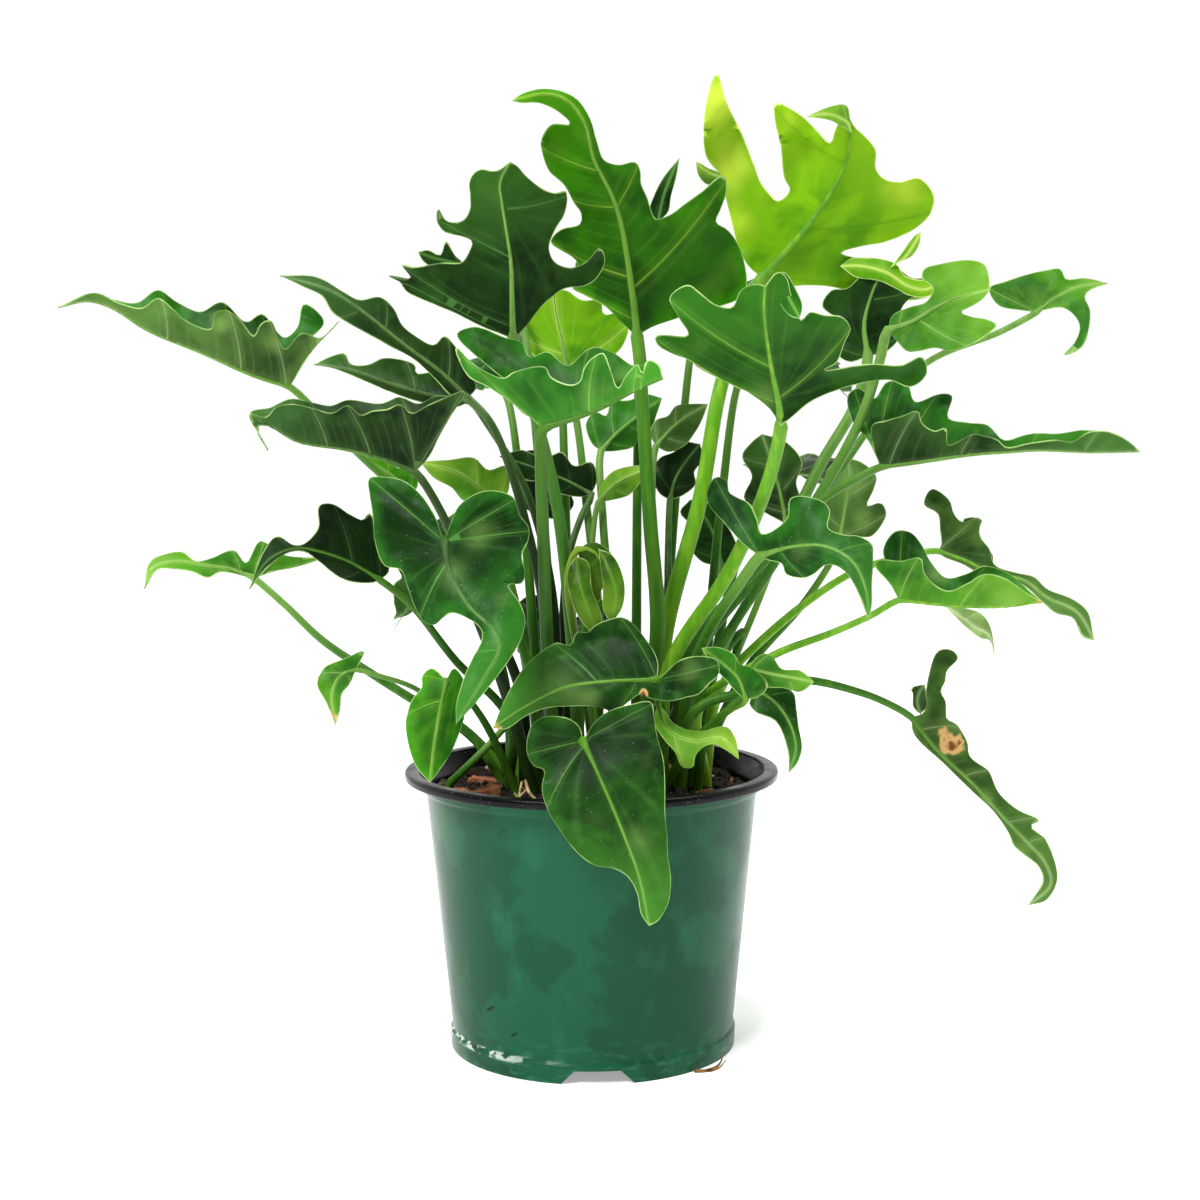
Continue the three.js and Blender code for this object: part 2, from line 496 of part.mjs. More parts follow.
    rib: [[496, 506, 70], [480, 488, 70], [460, 474, 68], [420, 462, 64]],
    lean: [0.4, -0.3], cup: [2, 0],
    first: [[508, 492], [506, 466], [488, 470], [474, 458], [448, 460]],
    second: [[482, 510], [462, 500], [452, 488], [434, 478]],
  },
  leaf_left_bright_behind: {
    root: [-46, 20.5], girth: [2.8, 1.8], tone: 'bright',
    stalk: [[500, 660], [440, 560]],
    rib: [[412, 496, 20], [400, 482, 20], [384, 470, 18], [362, 458, 16]],
    lean: [0.4, -0.3], cup: [2, 0],
    first: [[418, 484], [410, 466], [398, 468], [388, 456], [374, 454]],
    second: [[398, 494], [386, 484], [374, 472]],
  },
};

// A leafless stalk that leans from the left of the soil into the crown
const BARE_STALK = {
  root: [-80, -8], girth: [2.4, 1.9],
  stalk: [[466, 768, -12], [486, 748, -15], [505, 727, -16]],
};

// Leaves that the picture doesn't show, which fill the far side: the joint as a compass
// direction in degrees from the viewer's right, a reach from the pot's axis and a height,
// then the blade's length, how far it points down, and how far it is rolled over. Their
// stalks' points are shares of the way out and up, and their rib is in hundredths of the
// length with the depth below the blade's plane in millimetres.
const FAR_LEAVES = {
  leaf_far_side_1: { root: [-28, 34], compass: 120, reach: 116, rise: 372,
    length: 88, droop: -14, roll: -6 },
  leaf_far_side_2: { root: [-18, 32], compass: 114, reach: 124, rise: 422,
    length: 100, droop: -20, roll: 6 },
  leaf_far_side_3: { root: [-12, 44], compass: 99, reach: 134, rise: 402,
    length: 90, droop: 2, roll: -4 },
  leaf_far_side_4: { root: [26, 60], compass: 77, reach: 142, rise: 440,
    length: 104, droop: -20, roll: 8 },
  leaf_far_side_5: { root: [38, 61], compass: 56, reach: 138, rise: 424,
    length: 90, droop: -10, roll: -6 },
  leaf_far_side_6: { root: [62, 40], compass: 39, reach: 128, rise: 384,
    length: 84, droop: 4, roll: 6 },
  leaf_far_side_7: { root: [2, 58], compass: 103, reach: 72, rise: 230,
    length: 80, droop: 38, roll: 4 },
  leaf_far_side_8: { root: [51, 64], compass: 62, reach: 92, rise: 206,
    length: 78, droop: 38, roll: -6 },
  leaf_far_side_9: { root: [-28, 46], compass: 138, reach: 92, rise: 280,
    length: 84, droop: 30, roll: 8 },
  leaf_far_side_10: { root: [61, 50], compass: 46, reach: 178, rise: 318,
    length: 72, droop: 10, roll: -8 },
};

const FAR_GIRTH = [3.4, 2.2];
const FAR_STALK = [[0.16, 0.3], [0.4, 0.68], [0.72, 0.97]];
const FAR_RIB = [[0, 0, 0], [25, 0, -3], [50, 0, -2], [75, 0, 4], [100, 3, 14]];
const FAR_LEAN = -0.32;
const FAR_CUP = 5;

// The outline of such a leaf in hundredths of its length: along the rib, then away from it
const FAR_OUTLINE = [[-8, 8], [-20, 16], [-26, 26], [-20, 36], [-8, 38], [2, 33], [9, 36], [20, 40],
  [30, 35], [36, 26], [46, 28], [55, 27], [62, 19], [72, 19], [82, 14], [92, 6]];

// Turning shapes into solids and back
function solidOf(geometry) {
  const plain = geometry.clone();
  plain.deleteAttribute('normal');
  plain.deleteAttribute('uv');
  const merged = mergeVertices(plain, 1e-4);
  return new wasm.Manifold(new wasm.Mesh({
    numProp: 3,
    vertProperties: merged.attributes.position.array,
    triVerts: new Uint32Array(merged.index.array),
  }));
}

function geometryOf(solid) {
  const mesh = solid.getMesh();
  const geometry = new THREE.BufferGeometry();
  geometry.setAttribute('position', new THREE.BufferAttribute(mesh.vertProperties, 3));
  geometry.setIndex(new THREE.BufferAttribute(mesh.triVerts, 1));
  geometry.computeVertexNormals();
  return geometry;
}

function solidFrom(points, triangles) {
  const geometry = new THREE.BufferGeometry();
  const places = points.flatMap((point) => point.toArray());
  geometry.setAttribute('position', new THREE.Float32BufferAttribute(places, 3));
  geometry.setIndex(triangles.flat());
  return solidOf(geometry);
}

function smoothLine(points) {
  return new THREE.CatmullRomCurve3(points, false, 'centripetal');
}

// A closed tube with flat ends through rings, each with its centre, direction and radius
function tubeSolid(rings, sides) {
  const points = [];
  const triangles = [];
  const steps = rings.length - 1;
  const across = new THREE.Vector3(1, 0, 0);
  for (const { centre, along, radius } of rings) {
    across.addScaledVector(along, -across.dot(along)).normalize();
    const beside = along.clone().cross(across);
    for (let side = 0; side < sides; side += 1) {
      const turn = (2 * Math.PI * side) / sides;
      points.push(centre.clone()
        .addScaledVector(across, radius * Math.cos(turn))
        .addScaledVector(beside, radius * Math.sin(turn)));
    }
  }
  for (let step = 0; step < steps; step += 1) {
    for (let side = 0; side < sides; side += 1) {
      const next = (side + 1) % sides;
      const low = step * sides;
      const high = low + sides;
      triangles.push([low + side, low + next, high + next], [low + side, high + next, high + side]);
    }
  }
  const last = steps * sides;
  for (let side = 1; side < sides - 1; side += 1) {
    triangles.push([0, side + 1, side], [last, last + side, last + side + 1]);
  }
  return solidFrom(points, triangles);
}

// A leaf's picture plane: u and v lie in it and depth stands square to it
const PICTURE = { place: seen, scale: MM_PER_PIXEL };

function area2(a, b, c) {
  return (b[0] - a[0]) * (c[1] - a[1]) - (b[1] - a[1]) * (c[0] - a[0]);
}

// The blade as a sheet of triangles: two halves that meet along the rib, each a
// flat outline in the leaf's plane which is then given its depth
function bladeSheet(leaf, plane) {
  const ribLine = smoothLine(leaf.rib.map(([u, v, depth]) => new THREE.Vector3(u, v, depth)));
  const dense = ribLine.getSpacedPoints(RIB_SAMPLES);
  const rib = ribLine.getSpacedPoints(RIB_STEPS).map((p) => [p.x, p.y, p.z]);
  const nearestOnRib = (u, v) => dense.reduce((best, p) => {
    const gap = Math.hypot(p.x - u, p.y - v);
    return gap < best.gap ? { gap, depth: p.z } : best;
  }, { gap: Infinity, depth: 0 });
  const halves = [leaf.first, leaf.second].map((margin, half) => margin.map(([u, v, extra = 0]) => {
    const foot = nearestOnRib(u, v);
    const away = foot.gap * plane.scale;
    const depth = foot.depth + leaf.lean[half] * away + leaf.cup[half] * (away / CUP_SPAN) ** 2 + extra;
    return [u, v, depth];
  }));
  const flat = [...rib, ...halves[0], ...halves[1]];
  const ribEnd = rib.length - 1;
  const inner = rib.slice(1, ribEnd).map((_, index) => index + 1);
  const firstMargin = halves[0].map((_, index) => rib.length + index);
  const secondMargin = halves[1].map((_, index) => rib.length + halves[0].length + index);
  const loops = [
    [0, ...firstMargin, ribEnd, ...inner.toReversed()],
    [0, ...inner, ribEnd, ...secondMargin.toReversed()],
  ];
  const triangles = [];
  for (const loop of loops) {
    const contour = loop.map((index) => new THREE.Vector2(flat[index][0], flat[index][1]));
    const turned = Math.sign(THREE.ShapeUtils.area(contour));
    for (const [a, b, c] of THREE.ShapeUtils.triangulateShape(contour, [])) {
      const face = [loop[a], loop[b], loop[c]];
      const same = Math.sign(area2(...face.map((index) => flat[index]))) === turned;
      triangles.push(same ? face : [face[0], face[2], face[1]]);
    }
  }
  return { points: flat.map(([u, v, depth]) => plane.place(u, v, depth)), triangles };
}

// A sheet of triangles given its thickness, split alike on both faces
function thickSolid({ points, triangles }, thickness) {
  const normals = points.map(() => new THREE.Vector3());
  const directed = new Set();
  for (const [a, b, c] of triangles) {
    const ab = points[b].clone().sub(points[a]);
    const ac = points[c].clone().sub(points[a]);
    const normal = ab.cross(ac);
    [a, b, c].forEach((index) => normals[index].add(normal));
    [[a, b], [b, c], [c, a]].forEach(([from, to]) => directed.add(`${from}_${to}`));
  }
  const count = points.length;
  const shifted = (way) => points.map((p, index) => p.clone()
    .addScaledVector(normals[index].clone().normalize(), (way * thickness) / 2));
  const faces = triangles.map(([a, b, c]) => [a, b, c]);
  faces.push(...triangles.map(([a, b, c]) => [a + count, c + count, b + count]));
  for (const edge of directed) {
    const [from, to] = edge.split('_').map(Number);
    if (!directed.has(`${to}_${from}`)) {
      faces.push([to, from, from + count], [to, from + count, to + count]);
    }
  }
  return solidFrom([...shifted(1), ...shifted(-1)], faces);
}

// The stalk's rings: upright in the soil, then along a smooth line to its last point
function stalkRings({ root, girth }, course) {
  const [rootX, rootY] = root;
  const [baseRadius, topRadius] = girth;
  const up = new THREE.Vector3(0, 0, 1);
  const foot = new THREE.Vector3(rootX, rootY, SOIL_TOP - STALK_DEPTH);
  const collar = new THREE.Vector3(rootX, rootY, SOIL_TOP + STALK_COLLAR);
  const line = smoothLine([collar, ...course]);
  const rings = [{ centre: foot, along: up, radius: baseRadius },
    { centre: collar, along: up, radius: baseRadius }];
  for (let step = 1; step <= STALK_STEPS; step += 1) {
    const fraction = step / STALK_STEPS;
    rings.push({
      centre: line.getPointAt(fraction),
      along: line.getTangentAt(fraction),
      radius: THREE.MathUtils.lerp(baseRadius, topRadius, Math.min(1, fraction / STALK_TAPER_END)),
    });
  }
  return rings;
}

// The points that a leaf's stalk passes, up to just inside its blade
function stalkCourse(leaf, plane) {
  const joint = plane.place(...leaf.rib[0]);
  const ribLine = smoothLine(leaf.rib.map((point) => plane.place(...point)));
  const inside = ribLine.getPointAt(Math.min(0.5, (leaf.girth[1] * STALK_GRIP) / ribLine.getLength()));
  const between = leaf.stalk.map((point, index) => {
    const fraction = (index + 1) / (leaf.stalk.length + 1);
    return plane.via ? plane.via(point)
      : seen(point[0], point[1], point[2] ?? THREE.MathUtils.lerp(leaf.root[1], joint.y, fraction));
  });
  return [...between, joint, inside];
}

function leafSolid(leaf, plane) {
  const stalk = tubeSolid(stalkRings(leaf, stalkCourse(leaf, plane)), STALK_SIDES);
  return thickSolid(bladeSheet(leaf, plane), BLADE_THICKNESS).add(stalk);
}

// A far leaf laid out in a plane of its own, then measured like the others
function farLeaf({ root, compass, reach, rise, length, droop, roll }) {
  const turn = THREE.MathUtils.degToRad(compass);
  const outward = new THREE.Vector3(Math.cos(turn), Math.sin(turn), 0);
  const joint = outward.clone().multiplyScalar(reach).setZ(rise);
  const tilt = THREE.MathUtils.degToRad(droop);
  const along = outward.clone().multiplyScalar(Math.cos(tilt)).setZ(-Math.sin(tilt));
  const level = new THREE.Vector3(-Math.sin(turn), Math.cos(turn), 0);
  level.applyAxisAngle(along, THREE.MathUtils.degToRad(roll));
  const below = along.clone().cross(level).negate();
  const unit = length / 100;
  const plane = {
    scale: unit,
    place: (u, v, depth) => joint.clone().addScaledVector(along, u * unit)
      .addScaledVector(level, v * unit).addScaledVector(below, depth),
    via: ([share, height]) => new THREE.Vector3(
      THREE.MathUtils.lerp(root[0], joint.x, share),
      THREE.MathUtils.lerp(root[1], joint.y, share),
      THREE.MathUtils.lerp(SOIL_TOP, rise, height),
    ),
  };
  const leaf = {
    root,
    girth: FAR_GIRTH,
    stalk: FAR_STALK,
    rib: FAR_RIB,
    lean: [FAR_LEAN, FAR_LEAN],
    cup: [FAR_CUP, FAR_CUP],
    first: FAR_OUTLINE,
    second: FAR_OUTLINE.map(([u, v]) => [u, -v]),
  };
  return { leaf, plane };
}

// The pot: one turned wall with its lip, floor, notches in the skirt and drain holes
function potSolid() {
  const top = POT_HEIGHT;
  const lipFoot = top - LIP_HEIGHT;
  const collarFoot = lipFoot - COLLAR_HEIGHT;
  const floorTop = FLOOR_UNDERSIDE + FLOOR_THICKNESS;
  const outline = [
    [0, FLOOR_UNDERSIDE],
    [WALL_BASE_RADIUS - WALL_THICKNESS, FLOOR_UNDERSIDE],
    [SKIRT_RADIUS - WALL_THICKNESS, 0],
    [SKIRT_RADIUS - SKIRT_FLARE, 0],
    [SKIRT_RADIUS, SKIRT_HEIGHT],
    [WALL_BASE_RADIUS, SKIRT_HEIGHT + EDGE_ROUND],
    [WALL_TOP_RADIUS, collarFoot],
    [COLLAR_FOOT_RADIUS, collarFoot + EDGE_ROUND],
    [COLLAR_RADIUS, lipFoot],
    [RIM_RADIUS - EDGE_ROUND, lipFoot],
    [RIM_RADIUS, lipFoot + EDGE_ROUND],
    [RIM_RADIUS, top - EDGE_ROUND],
    [RIM_RADIUS - EDGE_ROUND, top],
    [LIP_INNER_RADIUS + EDGE_ROUND, top],
    [LIP_INNER_RADIUS - EDGE_ROUND, top - EDGE_ROUND],
    [WALL_TOP_RADIUS - WALL_THICKNESS, collarFoot],
    [WALL_BASE_RADIUS - WALL_THICKNESS, floorTop],
    [0, floorTop],
  ].map(([radius, height]) => new THREE.Vector2(radius, height));
  let pot = solidOf(new THREE.LatheGeometry(outline, POT_SEGMENTS).rotateX(Math.PI / 2));
  for (let index = 0; index < NOTCH_COUNT; index += 1) {
    const notch = new THREE.Shape([
      new THREE.Vector2(-NOTCH_WIDTH_LOW / 2, -NOTCH_OVERRUN),
      new THREE.Vector2(NOTCH_WIDTH_LOW / 2, -NOTCH_OVERRUN),
      new THREE.Vector2(NOTCH_WIDTH_HIGH / 2, NOTCH_HEIGHT),
      new THREE.Vector2(-NOTCH_WIDTH_HIGH / 2, NOTCH_HEIGHT),
    ]);
    const depth = NOTCH_REACH + NOTCH_OVERRUN;
    const cutter = new THREE.ExtrudeGeometry(notch, { depth, bevelEnabled: false });
    cutter.rotateX(Math.PI / 2).translate(0, -SKIRT_RADIUS + NOTCH_REACH, 0);
    cutter.rotateZ(THREE.MathUtils.degToRad(NOTCH_TURN + (360 / NOTCH_COUNT) * index));
    pot = pot.subtract(solidOf(cutter));
  }
  for (let index = 0; index < DRAIN_HOLES; index += 1) {
    const turn = (2 * Math.PI * (index + 0.5)) / DRAIN_HOLES;
    const drill = new THREE.CylinderGeometry(DRAIN_RADIUS, DRAIN_RADIUS, FLOOR_THICKNESS * 6, DRAIN_SIDES);
    drill.rotateX(Math.PI / 2);
    drill.translate(DRAIN_RING * Math.cos(turn), DRAIN_RING * Math.sin(turn), floorTop);
    pot = pot.subtract(solidOf(drill));
  }
  return pot;
}

// The soil's height above its mean level
function soilLump(x, y) {
  const waves = SOIL_WAVES.map(({ share, reachX, reachY, start }) => (
    share * Math.sin(x / reachX + y / reachY + start)));
  return SOIL_LUMP * waves.reduce((sum, wave) => sum + wave, 0);
}

function soilSolid() {
  const floorTop = FLOOR_UNDERSIDE + FLOOR_THICKNESS;
  const wallRun = POT_HEIGHT - LIP_HEIGHT - COLLAR_HEIGHT - floorTop;
  const slope = (WALL_TOP_RADIUS - WALL_BASE_RADIUS) / wallRun;
  const lowRadius = WALL_BASE_RADIUS - WALL_THICKNESS - SOIL_GAP;
  const highRadius = lowRadius + slope * (SOIL_TOP - SOIL_EDGE_DROP - floorTop);
  const points = [new THREE.Vector3(0, 0, SOIL_TOP + soilLump(0, 0))];
  const triangles = [];
  const ring = (index) => 1 + index * SOIL_SEGMENTS;
  for (let index = 1; index <= SOIL_RINGS; index += 1) {
    const radius = (highRadius * index) / SOIL_RINGS;
    for (let step = 0; step < SOIL_SEGMENTS; step += 1) {
      const turn = (2 * Math.PI * step) / SOIL_SEGMENTS;
      const x = radius * Math.cos(turn);
      const y = radius * Math.sin(turn);
      const height = index === SOIL_RINGS ? -SOIL_EDGE_DROP : soilLump(x, y);
      points.push(new THREE.Vector3(x, y, SOIL_TOP + height));
    }
  }
  for (let step = 0; step < SOIL_SEGMENTS; step += 1) {
    const turn = (2 * Math.PI * step) / SOIL_SEGMENTS;
    points.push(new THREE.Vector3(lowRadius * Math.cos(turn), lowRadius * Math.sin(turn),
      floorTop + CLEARANCE));
  }
  const bottom = points.length;
  points.push(new THREE.Vector3(0, 0, floorTop + CLEARANCE));
  for (let step = 0; step < SOIL_SEGMENTS; step += 1) {
    const next = (step + 1) % SOIL_SEGMENTS;
    triangles.push([0, ring(0) + step, ring(0) + next]);
    for (let index = 0; index < SOIL_RINGS; index += 1) {
      const near = ring(index);
      const far = ring(index + 1);
      triangles.push([near + step, far + step, far + next], [near + step, far + next, near + next]);
    }
    triangles.push([ring(SOIL_RINGS) + step, bottom, ring(SOIL_RINGS) + next]);
  }
  return solidFrom(points, triangles);
}

// A crown: the short knobbly stem that the stalks crowd round, with rings of old leaf scars
function crownSolid({ x, y, radius }, extra = 0) {
  const low = SOIL_TOP - CROWN_DEPTH - extra;
  const holeTop = SOIL_TOP + CROWN_HEIGHT * CROWN_HOLE_TOP;
  const raised = CROWN_PROFILE.map(([away, height]) => (
    [radius * away, SOIL_TOP + CROWN_HEIGHT * height]));
  const outline = extra > 0
    ? [[0, low], [radius + extra, low], [radius + extra, holeTop], [0, holeTop]]
    : [[0, low], [radius, low], ...raised];
  const profile = outline.map(([away, height]) => new THREE.Vector2(away, height));
  const stem = new THREE.LatheGeometry(profile, CROWN_SEGMENTS).rotateX(Math.PI / 2);
  return solidOf(stem.translate(x, y, 0));
}

// A bark chip, a split-off flake lying a little sunk in the soil
function chipSolid({ x, y, length, width, turn, tip }, extra = 0) {
  const growth = CHIP_HOLE_GROWTH * extra;
  const outline = new THREE.Shape(CHIP_OUTLINE.map(([along, across]) => (
    new THREE.Vector2(along * (length + growth), across * (width + growth)))));
  const chip = new THREE.ExtrudeGeometry(outline, {
    depth: CHIP_THICKNESS + 2 * extra, bevelEnabled: false,
  });
  chip.translate(0, 0, -extra).rotateY(THREE.MathUtils.degToRad(tip));
  chip.rotateZ(THREE.MathUtils.degToRad(turn));
  return solidOf(chip.translate(x, y, SOIL_TOP - CHIP_SINK));
}

// Every leaf with its plane, and the hole that its stalk stands in
const plants = Object.entries(LEAVES).map(([name, leaf]) => ({ name, leaf, plane: PICTURE }));
for (const [name, place] of Object.entries(FAR_LEAVES)) {
  plants.push({ name, ...farLeaf(place) });
}

function stalkHole({ root: [x, y], girth: [radius] }) {
  const up = new THREE.Vector3(0, 0, 1);
  const wide = radius + STALK_CLEARANCE;
  const low = new THREE.Vector3(x, y, SOIL_TOP - STALK_DEPTH - CLEARANCE);
  const high = new THREE.Vector3(x, y, SOIL_TOP + STALK_COLLAR);
  return tubeSolid([low, high].map((centre) => ({ centre, along: up, radius: wide })), STALK_SIDES);
}

// The finishes: colour and roughness
const TONES = { bright: 0x7fb83a, mid: 0x3f8a35, dark: 0x245c2c };
const LEAF_ROUGHNESS = 0.45;
const POT_FINISH = [0x2f7a58, 0.42];
const SOIL_FINISH = [0x2a211b, 0.95];
const CROWN_FINISH = [0x6d7a3a, 0.7];
const BARK_FINISH = [0x7a4a32, 0.9];

const plant = new THREE.Group();
function addPiece(name, solid, colour, roughness) {
  const material = new THREE.MeshStandardMaterial({ color: colour, roughness, metalness: 0 });
  const mesh = new THREE.Mesh(geometryOf(solid), material);
  mesh.name = name;
  plant.add(mesh);
}

let soil = soilSolid();
plants.forEach(({ leaf }) => { soil = soil.subtract(stalkHole(leaf)); });
soil = soil.subtract(stalkHole(BARE_STALK));
Object.values(CROWNS).forEach((crown) => { soil = soil.subtract(crownSolid(crown, CLEARANCE)); });
Object.values(CHIPS).forEach((chip) => { soil = soil.subtract(chipSolid(chip, CLEARANCE)); });

addPiece('pot', potSolid(), ...POT_FINISH);
addPiece('soil', soil, ...SOIL_FINISH);
for (const [name, crown] of Object.entries(CROWNS)) {
  addPiece(name, crownSolid(crown), ...CROWN_FINISH);
}
for (const [name, chip] of Object.entries(CHIPS)) {
  addPiece(name, chipSolid(chip), ...BARK_FINISH);
}
for (const { name, leaf, plane } of plants) {
  addPiece(name, leafSolid(leaf, plane), TONES[leaf.tone ?? 'mid'], LEAF_ROUGHNESS);
}
const bareCourse = BARE_STALK.stalk.map((point) => seen(...point));
const bareSolid = tubeSolid(stalkRings(BARE_STALK, bareCourse), STALK_SIDES);
addPiece('stalk_bare', bareSolid, TONES.mid, LEAF_ROUGHNESS);

// The origin goes below the middle of the box round everything
const middle = new THREE.Box3().setFromObject(plant).getCenter(new THREE.Vector3());
plant.children.forEach((mesh) => mesh.geometry.translate(-middle.x, -middle.y, 0));

export default plant;
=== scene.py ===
"""Looks for a little hope philodendron in its two-tone nursery pot.

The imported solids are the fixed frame. Every leaf is laid out again from the same measured
points as its solid, as a fine quilted blade with veins and a pale margin on a tapering stalk,
and stands for that solid. Lengths are in millimetres from the pot's axis until a mesh is made.
"""

import logging
import math
from dataclasses import dataclass
from enum import Enum
from typing import Iterable, Sequence

import bpy
import numpy as np
from mathutils import Matrix, Vector, noise
from mathutils.geometry import delaunay_2d_cdt


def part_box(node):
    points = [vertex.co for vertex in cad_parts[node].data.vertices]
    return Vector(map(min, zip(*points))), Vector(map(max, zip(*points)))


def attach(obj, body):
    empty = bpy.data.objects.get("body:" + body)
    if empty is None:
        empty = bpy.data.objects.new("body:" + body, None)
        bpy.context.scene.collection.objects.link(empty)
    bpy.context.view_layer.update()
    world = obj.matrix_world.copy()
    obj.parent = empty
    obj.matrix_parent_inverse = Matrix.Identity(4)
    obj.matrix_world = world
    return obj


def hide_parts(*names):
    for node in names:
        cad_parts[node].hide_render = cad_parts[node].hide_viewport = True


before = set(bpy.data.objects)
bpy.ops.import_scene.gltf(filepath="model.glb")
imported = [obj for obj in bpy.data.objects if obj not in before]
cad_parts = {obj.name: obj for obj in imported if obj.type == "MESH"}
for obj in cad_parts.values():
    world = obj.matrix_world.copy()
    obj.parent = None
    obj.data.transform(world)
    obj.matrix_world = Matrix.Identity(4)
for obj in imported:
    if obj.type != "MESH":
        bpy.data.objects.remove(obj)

LOG = logging.getLogger("philodendron")
MM = 0.001
SOIL_TOP = 146.0
STALK_DEPTH = 13.0
STALK_COLLAR = 3.0
BODY = "root"


def pot_axis() -> np.ndarray:
    """The place of the pot's axis on the floor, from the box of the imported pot.

    Returns:
        X, Y and Z in millimetres in the part's own frame.
    """
    low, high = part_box("pot")
    return np.array(((low[0] + high[0]) / 2, (low[1] + high[1]) / 2, 0.0)) / MM


AXIS = pot_axis()


# The camera


@dataclass(frozen=True)
class View:
    """Where the photograph was taken from, in millimetres from the foot of the pot's axis."""

    distance: float = 1104.5
    height: float = 352.5
    side: float = 5.2
    pitch: float = math.radians(5.226)
    roll: float = math.radians(-0.275)
    focal_px: float = 1979.7
    centre_px: float = 600.0
    sensor_mm: float = 36.0

    @property
    def scale(self) -> float:
        """Millimetres per pixel on the upright plane through the pot's axis."""
        return self.distance / self.focal_px

    def eye(self) -> np.ndarray:
        """The camera's place."""
        return np.array((self.side, -self.distance, self.height))

    def axes(self) -> tuple[np.ndarray, np.ndarray, np.ndarray]:
        """The camera's right, up and forward directions."""
        level = np.array((1.0, 0.0, 0.0))
        level_up = np.array((0.0, math.sin(self.pitch), math.cos(self.pitch)))
        forward = np.array((0.0, math.cos(self.pitch), -math.sin(self.pitch)))
        right = level * math.cos(self.roll) + level_up * math.sin(self.roll)
        up = level_up * math.cos(self.roll) - level * math.sin(self.roll)
        return right, up, forward

    def place(self, flat: np.ndarray, depth: np.ndarray) -> np.ndarray:
        """Points seen at pixels of the photograph, each on the upright plane y = depth.

        Args:
            flat: pixels, one row each.
            depth: the plane of each point.

        Returns:
            The points, one row each.
        """
        right, up, forward = self.axes()
        across = (flat[:, 0] - self.centre_px) / self.focal_px
        above = (self.centre_px - flat[:, 1]) / self.focal_px
        rays = forward + across[:, None] * right + above[:, None] * up
        return self.eye() + rays * ((depth + self.distance) / rays[:, 1])[:, None]

    def add_camera(self) -> bpy.types.Object:
        """Makes the scene's camera at the photograph's viewing angle."""
        data = bpy.data.cameras.new("camera")
        data.sensor_width = self.sensor_mm
        data.lens = self.sensor_mm * self.focal_px / (2 * self.centre_px)
        data.clip_end = 60.0
        camera = bpy.data.objects.new("camera", data)
        bpy.context.scene.collection.objects.link(camera)
        right, up, forward = self.axes()
        turn = Matrix((right, up, -forward)).transposed().to_4x4()
        camera.matrix_world = Matrix.Translation(Vector((self.eye() + AXIS) * MM)) @ turn
        bpy.context.scene.camera = camera
        return camera


VIEW = View()


# Finishes


def linear(colour: int) -> tuple[float, float, float, float]:
    """A screen colour as the shader's linear one.

    Args:
        colour: red, green and blue as 0xRRGGBB.

    Returns:
        Red, green, blue and full opacity.
    """
    parts = [((colour >> shift) & 255) / 255 for shift in (16, 8, 0)]
    red, green, blue = (p / 12.92 if p <= 0.04045 else ((p + 0.055) / 1.055) ** 2.4 for p in parts)
    return red, green, blue, 1.0


Socket = bpy.types.NodeSocket
Value = Socket | float


